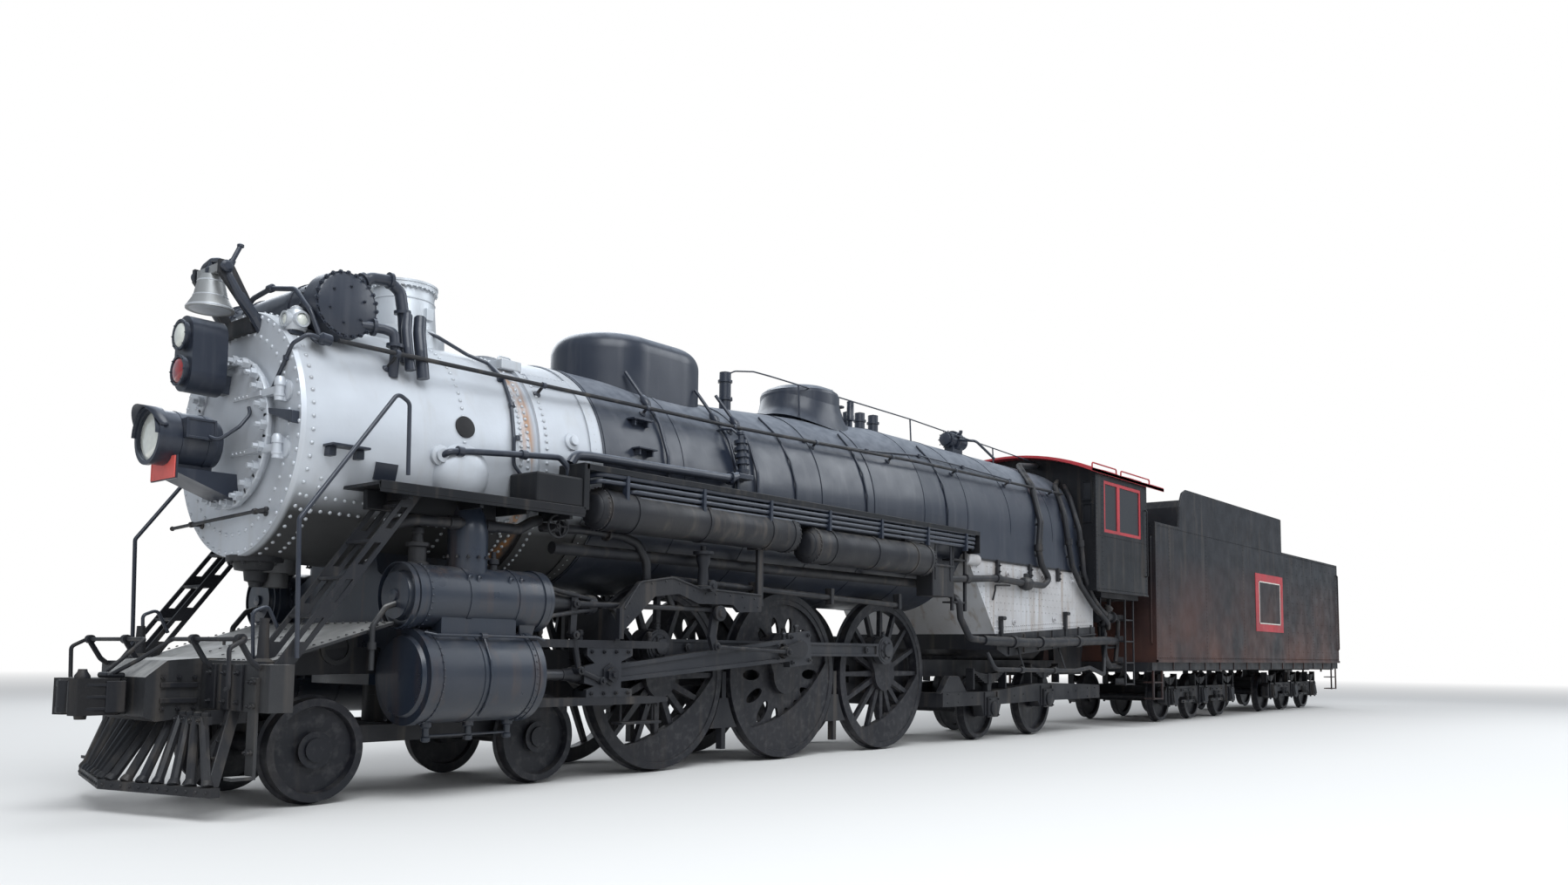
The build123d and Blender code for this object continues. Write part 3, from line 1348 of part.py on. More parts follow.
# Rear deck: the plates that stand on the frame and carry the cab's floor
deck_plate_front_x = -7900.0
deck_plate_rear_x = -9500.0
deck_thickness = 90.0
with BuildPart() as rear_deck:
    add_block(deck_plate_rear_x, deck_plate_front_x, -1400, 1400, cab_floor_z - deck_thickness,
              cab_floor_z)
    for side in (1, -1):
        upright = [
            (deck_plate_front_x, cab_floor_z - deck_thickness),
            (deck_plate_front_x - 150, cradle_top_z),
            (frame_rear_x, cradle_top_z),
            (deck_plate_rear_x, cab_floor_z - deck_thickness),
        ]
        low, high = sorted((side * (cradle_y - 50), side * (cradle_y + 50)))
        add_side_plate(upright, low, high)
    add_block(deck_plate_front_x - 800, deck_plate_front_x - 760, -cradle_y, cradle_y,
              cradle_top_z + 200, cab_floor_z - deck_thickness)
save(rear_deck.part, "rear_deck")

roof_rear_x = cab_rear_x - roof_overhang_rear
roof_front_x = cab_front_x + 260
with BuildPart() as cab_roof:
    edge_y = cab_half_width + 60
    edge_drop = 25.0
    with BuildSketch(Plane.YZ.offset(roof_rear_x)) as roof_section:
        with BuildLine():
            ThreePointArc((cab_half_width, cab_eave_z), (0, cab_arc_top_z),
                          (-cab_half_width, cab_eave_z))
            Polyline((-cab_half_width, cab_eave_z), (-edge_y, cab_eave_z - edge_drop),
                     (-edge_y, cab_eave_z + roof_thickness))
            ThreePointArc((-edge_y, cab_eave_z + roof_thickness),
                          (0, cab_arc_top_z + roof_thickness), (edge_y, cab_eave_z + roof_thickness))
            Polyline((edge_y, cab_eave_z + roof_thickness), (edge_y, cab_eave_z - edge_drop),
                     (cab_half_width, cab_eave_z))
        make_face()
    extrude(roof_section.sketch, amount=roof_front_x - roof_rear_x)
save(cab_roof.part, "cab_roof")

window_bar = 55.0
sash_y = cab_half_width - 35
window_post_x = -8310.0
with BuildPart() as window_frames:
    for side in (1, -1):
        low, high = sorted((side * sash_y, side * (sash_y + 30)))
        add_block(window_rear_x + seat_gap, window_front_x - seat_gap, low, high,
                  window_bottom_z + seat_gap, window_top_z - seat_gap)
        for x_rear, x_front in ((window_rear_x, window_post_x), (window_post_x, window_front_x)):
            add_block(x_rear + window_bar, x_front - window_bar, low, high,
                      window_bottom_z + window_bar, window_top_z - window_bar, mode=Mode.SUBTRACT)
save(window_frames.part, "window_frames")

# Leading truck: inside frames on the two axles, with a centre casting round the pin
lead_frame_y = 540.0
centre_pin_radius = 70.0
centre_plate_z = 860.0
centre_plate_radius = 220.0
trail_pivot_x = cradle_front_x + 50
trail_pin_radius = 45.0
with BuildPart() as lead_truck:
    for side in (1, -1):
        low, high = sorted((side * (lead_frame_y - 50), side * (lead_frame_y + 50)))
        outline = [
            (lead_x[2] - 180, lead_z - 120),
            (lead_x[2] + 180, lead_z - 120),
            (lead_x[2] + 300, lead_z + 20),
            (lead_x[1] - 300, lead_z + 20),
            (lead_x[1] - 180, lead_z - 120),
            (lead_x[1] + 180, lead_z - 120),
            (lead_x[1] + 200, lead_z + 170),
            (lead_x[2] - 200, lead_z + 170),
        ]
        add_side_plate(outline, low, high)
        for x in lead_x.values():
            add_bar((x, low, lead_z), (x, high, lead_z), lead_axle_radius + running_fit,
                    mode=Mode.SUBTRACT)
    add_block(lead_centre_x - 250, lead_centre_x + 250, -lead_frame_y, lead_frame_y, lead_z + 30,
              lead_z + 170)
    add_bar((lead_centre_x, 0, lead_z + 30), (lead_centre_x, 0, centre_plate_z - seat_gap),
            centre_plate_radius)
    add_bar((lead_centre_x, 0, lead_z), (lead_centre_x, 0, centre_plate_z),
            centre_pin_radius + running_fit, mode=Mode.SUBTRACT)
save(lead_truck.part, "lead_truck_frame")

with BuildPart() as centre_pins:
    add_bar((lead_centre_x, 0, centre_plate_z), (lead_centre_x, 0, 960), centre_plate_radius)
    add_bar((lead_centre_x, 0, lead_z + 60), (lead_centre_x, 0, centre_plate_z + 1),
            centre_pin_radius)
    add_block(cradle_front_x + 1, cradle_front_x + 99, -150, 150, frame_bottom_z, cradle_bottom_z)
    add_bar((trail_pivot_x, 0, 520), (trail_pivot_x, 0, frame_bottom_z + 1), trail_pin_radius)
save(centre_pins.part, "centre_pins")

# Trailing truck: outside frames, pinned under the engine frame ahead of its wheels
trail_frame_inner_y = 880.0
trail_frame_outer_y = 1035.0
trail_rear_end_x = -8600.0
trail_bottom_z = 540.0
trail_top_z = 740.0
trail_bore_radius = 75.0 + running_fit
with BuildPart() as trailing_truck:
    for side in (1, -1):
        low, high = sorted((side * trail_frame_inner_y, side * trail_frame_outer_y))
        t1, t2 = trail_front_x, trail_rear_x
        outline = [
            (trail_pivot_x - 70, trail_bottom_z),
            (t1 + 300, trail_bottom_z),
            (t1 + 220, 370),
            (t1 - 220, 370),
            (t1 - 300, trail_bottom_z),
            (t2 + 300, 560),
            (t2 + 220, 470),
            (t2 - 220, 470),
            (t2 - 300, 560),
            (trail_rear_end_x, 560),
            (trail_rear_end_x, 790),
            (t2 - 400, 840),
            (t2 + 400, 840),
            (t1, trail_top_z),
            (trail_pivot_x - 70, trail_top_z),
        ]
        add_side_plate(outline, low, high)
        for x, tread in trail_wheels.values():
            z = flange_depth + tread
            low, high = sorted((side * (trail_frame_inner_y - 1), side * (trail_journal_y + 2)))
            add_bar((x, low, z), (x, high, z), trail_bore_radius, mode=Mode.SUBTRACT)
    add_block(trail_pivot_x - 260, trail_pivot_x - 70, -trail_frame_outer_y, trail_frame_outer_y,
              trail_bottom_z, trail_top_z)
    add_block(trail_pivot_x - 80, trail_pivot_x + 110, -180, 180, trail_bottom_z, trail_top_z)
    add_bar((trail_pivot_x, 0, 500), (trail_pivot_x, 0, 760), trail_pin_radius + running_fit,
            mode=Mode.SUBTRACT)
    add_block(trail_rear_end_x, trail_rear_end_x + 160, -trail_frame_outer_y, trail_frame_outer_y,
              600, 780)
save(trailing_truck.part, "trailing_truck_frame")

# Tender underframe with its drawbar, tank with coal space, hatch lid, coupler and trucks
truck_plate_z = 905.0
truck_plate_radius = 200.0
truck_pin_radius = 60.0
side_sill_inner_y = 1380.0
side_sill_outer_y = 1500.0
side_sill_bottom_z = 1040.0
bolster_middle_x = -16950.0
tender_sill_rear_x = tender_rear_x - 60
tender_coupler_x = tender_sill_rear_x - 500
with BuildPart() as tender_frame:
    add_block(tender_sill_rear_x, tender_front_x + 30, -300, 300, 990, tender_bottom_z)
    add_block(tender_sill_rear_x, tender_rear_x + 200, -220, 220, coupler_z - 160, 991)
    for side in (1, -1):
        low, high = sorted((side * side_sill_inner_y, side * side_sill_outer_y))
        add_block(tender_sill_rear_x, tender_front_x + 30, low, high, side_sill_bottom_z,
                  tender_bottom_z)
    for x in (tender_front_x - 170, tender_truck_front_x, bolster_middle_x, tender_truck_rear_x,
              tender_rear_x + 140):
        add_block(x - 200, x + 200, -side_sill_inner_y - 10, side_sill_inner_y + 10, 1010,
                  tender_bottom_z)
    for x in (tender_truck_front_x, tender_truck_rear_x):
        add_bar((x, 0, truck_plate_z), (x, 0, 1011), truck_plate_radius)
        add_bar((x, 0, 700), (x, 0, truck_plate_z + 1), truck_pin_radius)
    add_block(tender_front_x, drawbar_pin_x, -75, 75, drawbar_z - 45, drawbar_z + 45)
    add_bar((drawbar_pin_x, 0, drawbar_z - 45), (drawbar_pin_x, 0, drawbar_z + 45), 110)
    add_bar((drawbar_pin_x, 0, cradle_bottom_z), (drawbar_pin_x, 0, 1150), drawbar_pin_radius)
save(tender_frame.part, "tender_frame")

side_plate = 45.0
bunker_front_x = coal_board_front_x - 150
gangway_half_width = 650.0
gangway_floor_z = 2390.0
hatch_x = -20700.0
hatch_half = 330.0
hatch_pin_x = hatch_x - hatch_half - 105
hatch_pin_z = tender_top_z + 130
hatch_pin_radius = 20.0
with BuildPart() as tender_tank:
    add_block(tender_rear_x, tender_front_x, -tender_half_width, tender_half_width, tender_bottom_z,
              tender_top_z)
    board = [
        (coal_board_front_x, tender_top_z - 10),
        (coal_board_front_x - 60, tender_top_z + 420),
        (coal_board_front_x - 230, coal_board_top_z - 90),
        (coal_board_front_x - 420, coal_board_top_z),
        (coal_board_rear_x, coal_board_top_z),
        (coal_board_rear_x, tender_top_z - 10),
    ]
    add_side_plate(board, -tender_half_width, tender_half_width)
    bunker = [
        (bunker_front_x, 2100),
        (bunker_front_x - 1600, 2100),
        (coal_board_rear_x + 150, tender_top_z - 60),
        (coal_board_rear_x + 150, coal_board_top_z + 10),
        (bunker_front_x, coal_board_top_z + 10),
    ]
    add_side_plate(bunker, side_plate - tender_half_width, tender_half_width - side_plate,
                   mode=Mode.SUBTRACT)
    add_block(bunker_front_x - 1, tender_front_x + 1, -gangway_half_width, gangway_half_width,
              gangway_floor_z, coal_board_top_z + 10, mode=Mode.SUBTRACT)
    add_bar((hatch_x, 0, tender_top_z - 600), (hatch_x, 0, tender_top_z + 1), hatch_half,
            mode=Mode.SUBTRACT)
    with BuildSketch(Plane.XY.offset(tender_top_z - 1)) as collar:
        with Locations((hatch_x, 0)):
            Circle(hatch_half + 40)
            Circle(hatch_half, mode=Mode.SUBTRACT)
    extrude(collar.sketch, amount=101)
    for low, high in ((-200, -60), (60, 200)):
        add_block(hatch_pin_x - 40, hatch_pin_x + 55, low, high, tender_top_z - 1,
                  tender_top_z + 170)
    add_bar((hatch_pin_x, -201, hatch_pin_z), (hatch_pin_x, 201, hatch_pin_z),
            hatch_pin_radius + running_fit, mode=Mode.SUBTRACT)
save(tender_tank.part, "tender_tank")

with BuildPart() as hatch_lid:
    add_bar((hatch_x, 0, tender_top_z + 100 + seat_gap), (hatch_x, 0, tender_top_z + 135),
            hatch_half + 40)
    add_block(hatch_pin_x - 20, hatch_x - hatch_half + 50, -55, 55, tender_top_z + 110,
              tender_top_z + 150)
    add_bar((hatch_pin_x, -195, hatch_pin_z), (hatch_pin_x, 195, hatch_pin_z), hatch_pin_radius)
save(hatch_lid.part, "tender_hatch_lid")

with BuildPart() as tender_coupler:
    add_coupler(tender_sill_rear_x - seat_gap, tender_coupler_x)
save(tender_coupler.part, "tender_coupler")

truck_frame_inner_y = 880.0
truck_frame_outer_y = 1040.0
truck_half_length = 2050.0
truck_bore_radius = 72.0 + running_fit
for number, truck_x in ((1, tender_truck_front_x), (2, tender_truck_rear_x)):
    axle_z = flange_depth + tender_wheel_radius
    with BuildPart() as tender_truck:
        for side in (1, -1):
            low, high = sorted((side * truck_frame_inner_y, side * truck_frame_outer_y))
            front, rear = truck_x + truck_half_length, truck_x - truck_half_length
            outline = [(front, axle_z - 90), (front, axle_z + 130),
                       (front - 100, axle_z + 220), (rear + 100, axle_z + 220),
                       (rear, axle_z + 130), (rear, axle_z - 90)]
            for step in (-1, 0, 1):
                x = truck_x + step * tender_axle_spacing
                outline += [(x - 190, axle_z - 150), (x + 190, axle_z - 150)]
                if step < 1:
                    outline += [(x + 420, axle_z + 10), (x + tender_axle_spacing - 420, axle_z + 10)]
            add_side_plate(outline, low, high)
            low, high = sorted((side * (truck_frame_inner_y - 1), side * (tender_journal_y + 2)))
            for step in (-1, 0, 1):
                x = truck_x + step * tender_axle_spacing
                add_bar((x, low, axle_z), (x, high, axle_z), truck_bore_radius,
                        mode=Mode.SUBTRACT)
        for step in (-0.5, 0.5):
            x = truck_x + step * tender_axle_spacing
            add_block(x - 150, x + 150, -960, 960, axle_z + 60, axle_z + 220)
        add_block(truck_x - tender_axle_spacing / 2, truck_x + tender_axle_spacing / 2, -250, 250,
                  axle_z + 110, axle_z + 330)
        add_bar((truck_x, 0, axle_z + 200), (truck_x, 0, truck_plate_z - seat_gap),
                truck_plate_radius)
        add_bar((truck_x, 0, axle_z + 100), (truck_x, 0, truck_plate_z), truck_pin_radius + running_fit,
                mode=Mode.SUBTRACT)
    save(tender_truck.part, f"tender_truck_frame_{number}")
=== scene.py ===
# %% [markdown]
# # Dressing a steam locomotive
# The solids come from the CAD model, and this script dresses them: paint, rivets, pipes, clamps and
# the many small fittings that make such an engine look heavy. Each step says what the real piece is
# and why it is made this way. Everything is in metres, X forward, Y to the engine's left, Z up.

# %% Load the frame
import math
import bpy
from mathutils import Matrix, Vector


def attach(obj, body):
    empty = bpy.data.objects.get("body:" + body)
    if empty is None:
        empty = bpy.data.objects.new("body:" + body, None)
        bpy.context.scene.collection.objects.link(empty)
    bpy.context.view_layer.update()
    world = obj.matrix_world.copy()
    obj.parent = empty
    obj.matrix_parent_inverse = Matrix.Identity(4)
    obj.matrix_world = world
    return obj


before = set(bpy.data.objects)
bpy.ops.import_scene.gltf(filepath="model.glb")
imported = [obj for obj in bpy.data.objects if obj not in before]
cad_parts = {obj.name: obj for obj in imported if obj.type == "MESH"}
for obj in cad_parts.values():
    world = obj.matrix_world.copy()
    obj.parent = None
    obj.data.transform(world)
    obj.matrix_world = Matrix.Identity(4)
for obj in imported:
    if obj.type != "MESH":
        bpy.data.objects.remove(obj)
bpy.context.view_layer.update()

# %% [markdown]
# ## The camera
# The photograph was taken from the engine's left front, close to the ground, with a wide lens. The
# place and the lens were worked out from known sizes: the track's gauge and the driving wheels. The
# small upward shift keeps the camera nearly level, as the photographer held it.

# %% Camera
PHOTO_WIDTH, FOCAL_PIXELS, SHIFT_PIXELS = 1799, 1346.129, 131.619
camera_place = Vector((11.16496, 9.87156, 1.26452))
yaw, pitch, roll = (math.radians(a) for a in (-140.88245, 4.735277, 0.594506))
camera_data = bpy.data.cameras.new("camera")
camera = bpy.data.objects.new("camera", camera_data)
bpy.context.scene.collection.objects.link(camera)
forward = Vector((math.cos(yaw) * math.cos(pitch), math.sin(yaw) * math.cos(pitch),
    math.sin(pitch)))
right = forward.cross(Vector((0, 0, 1))).normalized()
above = right.cross(forward)
axes = Matrix((math.cos(roll) * right + math.sin(roll) * above,
    math.cos(roll) * above - math.sin(roll) * right, -forward))
camera.matrix_world = Matrix.Translation(camera_place) @ axes.transposed().to_4x4()
camera_data.sensor_width = 36.0
camera_data.lens = 36.0 * FOCAL_PIXELS / PHOTO_WIDTH
camera_data.shift_y = SHIFT_PIXELS / PHOTO_WIDTH
camera_data.clip_end = 200.0
bpy.context.scene.camera = camera
bpy.context.scene.view_settings.view_transform = "Standard"

# %% [markdown]
# ## Nodes
# A look is a graph of small nodes. These helpers make a node, set its sockets and join it to the
# rest, so that each paint below reads as a list of what lies over what.

# %% Helpers for nodes
def set_inputs(made, **values):
    """Sets a node's sockets. An underscore stands for a space in a socket's name."""
    for name, value in values.items():
        made.inputs[name.replace("_", " ")].default_value = value


def node(tree, kind, operation=None, **values):
    """A new node of a kind, with its operation and its sockets set."""
    made = tree.nodes.new("ShaderNode" + kind)
    if operation:
        made.operation = operation
    set_inputs(made, **values)
    return made


def new_paint(name):
    """A material with its tree, its shader and its Object coordinates."""
    paint = bpy.data.materials.new(name)
    paint.use_nodes = True
    tree = paint.node_tree
    return paint, tree, tree.nodes["Principled BSDF"], node(tree, "TexCoord").outputs["Object"]


def band(tree, source, low, high, **ends):
    """A factor that rises from 0 to 1 while the source goes from low to high."""
    ramp = node(tree, "MapRange", From_Min=low, From_Max=high, **ends)
    tree.links.new(source, ramp.inputs["Value"])
    return ramp.outputs["Result"]


# %% [markdown]
# ## Floor and light
# The engine stands on a plain pale floor. A large soft lamp from the camera's side stands for the
# bright overcast sky, and the world fills the shadows.

# %% Floor
def clear_selection():
    """Leaves edit mode and deselects everything, so that the next operator acts on one piece."""
    if bpy.context.object and bpy.context.object.mode != "OBJECT":
        bpy.ops.object.mode_set(mode="OBJECT")
    bpy.ops.object.select_all(action="DESELECT")


def mix_shaders(tree, factor, first, second):
    """A mix of two shaders by a factor."""
    mixer = node(tree, "MixShader")
    for socket, source in enumerate((factor, first, second)):
        tree.links.new(source, mixer.inputs[socket])
    return mixer.outputs[0]


clear_selection()
bpy.ops.mesh.primitive_plane_add(size=400, location=(-8, 0, 0))
floor = bpy.context.object
floor.name = "floor"
floor_paint, tree, shader, place = new_paint("pale_floor")
set_inputs(shader, Base_Color=(0.74, 0.73, 0.71, 1), Roughness=0.85)
reach = node(tree, "VectorMath", "LENGTH")
tree.links.new(place, reach.inputs[0])
faded = mix_shaders(tree, band(tree, reach.outputs["Value"], 24, 60), shader.outputs[0],
    node(tree, "Emission").outputs[0])
tree.links.new(faded, tree.nodes["Material Output"].inputs[0])
floor.data.materials.append(floor_paint)

# %% World and lamps
world = bpy.data.worlds.new("sky")
bpy.context.scene.world = world
world.use_nodes = True
sky = world.node_tree
rays = node(sky, "LightPath").outputs


def sky_shade(colour, strength):
    return node(sky, "Background", Color=(*colour, 1), Strength=strength).outputs[0]


lit = mix_shaders(sky, rays["Is Glossy Ray"], sky_shade((0.9, 0.94, 1.0), 0.62),
    sky_shade((0.78, 0.88, 1.0), 0.5))
either = node(sky, "Math", "MAXIMUM")
sky.links.new(rays["Is Camera Ray"], either.inputs[0])
sky.links.new(rays["Is Transmission Ray"], either.inputs[1])
seen = mix_shaders(sky, either.outputs["Value"], lit, sky_shade((1, 1, 1), 1.0))
sky.links.new(seen, sky.nodes["World Output"].inputs["Surface"])

for name, place, aim, size, power in (("sky_lamp", (9, 12, 17), (-1, 0, 2), 14, 3500),
        ("rear_lamp", (-16, 12, 15), (-14, 0, 2), 14, 2000),
        ("far_lamp", (-6, -16, 16), (-6, 0, 2), 16, 1800)):
    lamp_data = bpy.data.lights.new(name, "AREA")
    lamp_data.size, lamp_data.energy, lamp_data.color = size, power, (0.92, 0.96, 1.0)
    lamp = bpy.data.objects.new(name, lamp_data)
    lamp.location = place
    lamp.rotation_euler = (Vector(aim) - Vector(place)).to_track_quat("-Z", "Y").to_euler()
    bpy.context.scene.collection.objects.link(lamp)

# %% [markdown]
# ## Paint that has stood outside
# The engine is black enamel, dulled by dust where it faces up and streaked where rain runs down.
# One function makes each paint: a broad noise varies the colour, a noise stretched along Z makes
# the streaks, upward faces take dust, which on the jacket and the deck also stands for a painted
# highlight, and a fine noise gives the bump of brushed-on paint over scale.

# %% A function for weathered paint
def noise(tree, place, scale, stretch=(1, 1, 1), detail=4.0):
    """A noise on Object coordinates, with the stretch given as the density along each axis."""
    mapping = node(tree, "Mapping", Scale=stretch)
    pattern = node(tree, "TexNoise", Scale=scale, Detail=detail)
    tree.links.new(place, mapping.inputs["Vector"])
    tree.links.new(mapping.outputs["Vector"], pattern.inputs["Vector"])
    return pattern.outputs["Fac"]


def times(tree, first, second):
    """The product of a factor and a second factor or a number."""
    product = node(tree, "Math", "MULTIPLY")
    tree.links.new(first, product.inputs[0])
    if isinstance(second, float):
        product.inputs[1].default_value = second
    else:
        tree.links.new(second, product.inputs[1])
    return product.outputs["Value"]


def mix_colour(tree, below, colour, factor, amount=1.0):
    """Paints a colour over the one below, by a factor."""
    mixer = node(tree, "Mix")
    mixer.data_type = "RGBA"
    tree.links.new(times(tree, factor, amount), mixer.inputs["Factor"])
    if isinstance(below, tuple):
        mixer.inputs[6].default_value = (*below, 1)
    else:
        tree.links.new(below, mixer.inputs[6])
    mixer.inputs[7].default_value = (*colour, 1)
    return mixer.outputs[2]


def along_axis(tree, vector, axis, low, high):
    """A factor that rises along one axis of a vector, such as a height."""
    split = node(tree, "SeparateXYZ")
    tree.links.new(vector, split.inputs["Vector"])
    return band(tree, split.outputs[axis], low, high)


def facing_up(tree, low):
    """A factor for faces that look up."""
    return along_axis(tree, node(tree, "NewGeometry").outputs["Normal"], "Z", low, 1.0)


def weathered(name, colour, deep, rough=(0.35, 0.6), metallic=0.0, dust_and_highlight=0.35, streaks=0.3,
        dust_and_highlight_colour=(0.24, 0.22, 0.19), streak_colour=(0.16, 0.13, 0.1), bump=0.25, coat=0.0,
        gloss=0.4, extra=None):
    """A paint with broad variation, streaks, dust on top faces (on some paints also a painted highlight) and a
    fine bump.
    """
    paint, tree, shader, place = new_paint(name)
    base = mix_colour(tree, colour, deep, band(tree, noise(tree, place, 1.3), 0.35, 0.7))
    runs = band(tree, noise(tree, place, 5.0, (1.6, 1.6, 0.12), 6.0), 0.55, 0.78)
    base = mix_colour(tree, base, streak_colour, runs, streaks)
    speckle = band(tree, noise(tree, place, 9.0, detail=8.0), 0.35, 0.65)
    # dust on faces that look up; on the jacket and the deck this layer is also a painted highlight
    base = mix_colour(tree, base, dust_and_highlight_colour, times(tree, facing_up(tree, 0.45), speckle), dust_and_highlight)
    if extra:
        base = extra(tree, place, base)
    sheen = band(tree, noise(tree, place, 3.1, detail=8.0), 0.3, 0.7, To_Min=rough[0],
        To_Max=rough[1])
    relief = node(tree, "Bump", Strength=bump, Distance=0.004)
    tree.links.new(noise(tree, place, 34.0, detail=7.0), relief.inputs["Height"])
    for source, socket in ((base, "Base Color"), (sheen, "Roughness"),
            (relief.outputs["Normal"], "Normal")):
        tree.links.new(source, shader.inputs[socket])
    set_inputs(shader, Metallic=metallic, Coat_Weight=coat, Coat_Roughness=0.18,
        Specular_IOR_Level=gloss)
    return paint


# %% [markdown]
# The silver paint is graphite and aluminium. The lower third of the smokebox's sides, below the
# running board, is painted near black as painted shade, and rust has run from the seam behind the stack.

# %% What lies over the paint in places
def pale_top_with_highlight(colour, share):
    """A paler tone on every face that looks up, where dust lies and boots have scoured the paint, and also a
    painted highlight where the top faces the sky.
    """
    return lambda tree, place, base: mix_colour(tree, base, colour, facing_up(tree, 0.5), share)


def painted_shade_and_rust(tree, place, base):
    """Painted shade on the sides below the running board, not on the front sheet, and rust runs below the seam
    at X 4.3 m.
    """
    # painted shade: near black below Z 2.38 m, fading out by 2.62 m, except on the front sheet
    low = times(tree, along_axis(tree, place, "Z", 2.62, 2.38),
        along_axis(tree, place, "X", 6.41, 6.37))
    base = mix_colour(tree, base, (0.05, 0.049, 0.048), low, 0.95)
    seam = times(tree, along_axis(tree, place, "X", 4.13, 4.19),
        along_axis(tree, place, "X", 4.31, 4.25))
    runs = band(tree, noise(tree, place, 7.0, (1.5, 1.0, 0.2), 5.0), 0.42, 0.56)
    return mix_colour(tree, base, (0.36, 0.17, 0.06), times(tree, seam, runs), 0.8)


def painted_brown_sheen(tree, place, base):
    """A painted brown sheen low on the tender's side: a painted reflection."""
    patches = band(tree, noise(tree, place, 0.8, detail=6.0), 0.3, 0.62)
    low = times(tree, along_axis(tree, place, "Z", 3.3, 1.4), patches)
    return mix_colour(tree, base, (0.085, 0.035, 0.025), low, 0.85)


def tread_shine(tree, place, base):
    """Rim faces scuffed to a greyer black."""
    patches = band(tree, noise(tree, place, 14.0, detail=6.0), 0.5, 0.7)
    return mix_colour(tree, base, (0.07, 0.068, 0.07), patches, 0.35)


# %% Paints
# jacket: the blue in the black, the bluish dust and the pale top are partly painted sheen, the sky's
# reflection on sides and top
jacket_black = weathered("jacket_black", (0.014, 0.019, 0.032), (0.024, 0.029, 0.042),
    rough=(0.28, 0.46), dust_and_highlight=0.45, streaks=0.2, bump=0.12, coat=0.12, gloss=0.5,
    dust_and_highlight_colour=(0.34, 0.36, 0.4), streak_colour=(0.13, 0.13, 0.14),
    extra=pale_top_with_highlight((0.27, 0.3, 0.35), 0.6))
frame_black = weathered("frame_black", (0.009, 0.01, 0.014), (0.022, 0.022, 0.024),
    rough=(0.38, 0.65), dust_and_highlight=0.3, bump=0.35, gloss=0.35)
# cylinders: the blue in the black is a painted sheen, the sky's reflection
casing_black = weathered("casing_black", (0.013, 0.02, 0.034), (0.024, 0.028, 0.038),
    rough=(0.24, 0.46), dust_and_highlight=0.15, streaks=0.45, bump=0.15, gloss=0.55, coat=0.1,
    streak_colour=(0.075, 0.045, 0.03))
wheel_black = weathered("wheel_black", (0.008, 0.009, 0.013), (0.016, 0.016, 0.02), dust_and_highlight=0.15,
    streaks=0.15, bump=0.2, gloss=0.35, extra=tread_shine)
rod_black = weathered("rod_black", (0.026, 0.028, 0.034), (0.048, 0.049, 0.054), rough=(0.3, 0.5),
    metallic=0.35, dust_and_highlight=0.25, streaks=0.2, bump=0.18)
# silver: its extra paints shade low on the smokebox's sides and adds rust runs
silver_paint = weathered("silver_paint", (0.56, 0.59, 0.63), (0.46, 0.48, 0.51),
    rough=(0.38, 0.56), metallic=0.4, dust_and_highlight=0.15, streaks=0.22, dust_and_highlight_colour=(0.48, 0.47, 0.44),
    streak_colour=(0.36, 0.33, 0.28), bump=0.2, extra=painted_shade_and_rust)
plain_silver = weathered("plain_silver", (0.54, 0.57, 0.6), (0.42, 0.43, 0.45), rough=(0.35, 0.55),
    metallic=0.45, dust_and_highlight=0.2, streaks=0.4, dust_and_highlight_colour=(0.42, 0.4, 0.36),
    streak_colour=(0.3, 0.27, 0.23), bump=0.2)
firebox_silver = weathered("firebox_silver", (0.52, 0.53, 0.55), (0.4, 0.39, 0.39),
    rough=(0.5, 0.75), metallic=0.25, dust_and_highlight=0.3, streaks=0.75, streak_colour=(0.24, 0.17, 0.11),
    bump=0.4)
# bell: a darker copy of the silver, as painted shade, for the bell that hangs in shade
shaded_bell_silver = weathered("shaded_bell_silver", (0.33, 0.34, 0.34), (0.24, 0.24, 0.24), rough=(0.35, 0.5),
    metallic=0.45, dust_and_highlight=0.2, streaks=0.4, bump=0.2)
# tender: the brown low on the side is a painted reflection
tender_black = weathered("tender_black", (0.009, 0.01, 0.013), (0.016, 0.016, 0.019),
    rough=(0.35, 0.55), dust_and_highlight=0.2, streaks=0.2, bump=0.14, gloss=0.25, extra=painted_brown_sheen)
cab_black = weathered("cab_black", (0.007, 0.008, 0.01), (0.014, 0.014, 0.016), rough=(0.3, 0.5),
    dust_and_highlight=0.2, streaks=0.2, bump=0.12, gloss=0.25)
cab_red = weathered("cab_red", (0.42, 0.035, 0.045), (0.3, 0.028, 0.035), rough=(0.35, 0.55),
    dust_and_highlight=0.2, streaks=0.2, dust_and_highlight_colour=(0.34, 0.2, 0.18), bump=0.15)
# deck: the heavy pale dust and the pale top are partly dust and partly a painted highlight on the deck's top
deck_grey = weathered("deck_grey", (0.016, 0.017, 0.02), (0.035, 0.035, 0.036), rough=(0.4, 0.7),
    dust_and_highlight=0.8, dust_and_highlight_colour=(0.5, 0.49, 0.47), bump=0.4, extra=pale_top_with_highlight((0.42, 0.42, 0.41), 0.75))
dull_iron = weathered("dull_iron", (0.016, 0.016, 0.018), (0.032, 0.03, 0.03), rough=(0.45, 0.7),
    metallic=0.3, dust_and_highlight=0.3, bump=0.5, gloss=0.35)

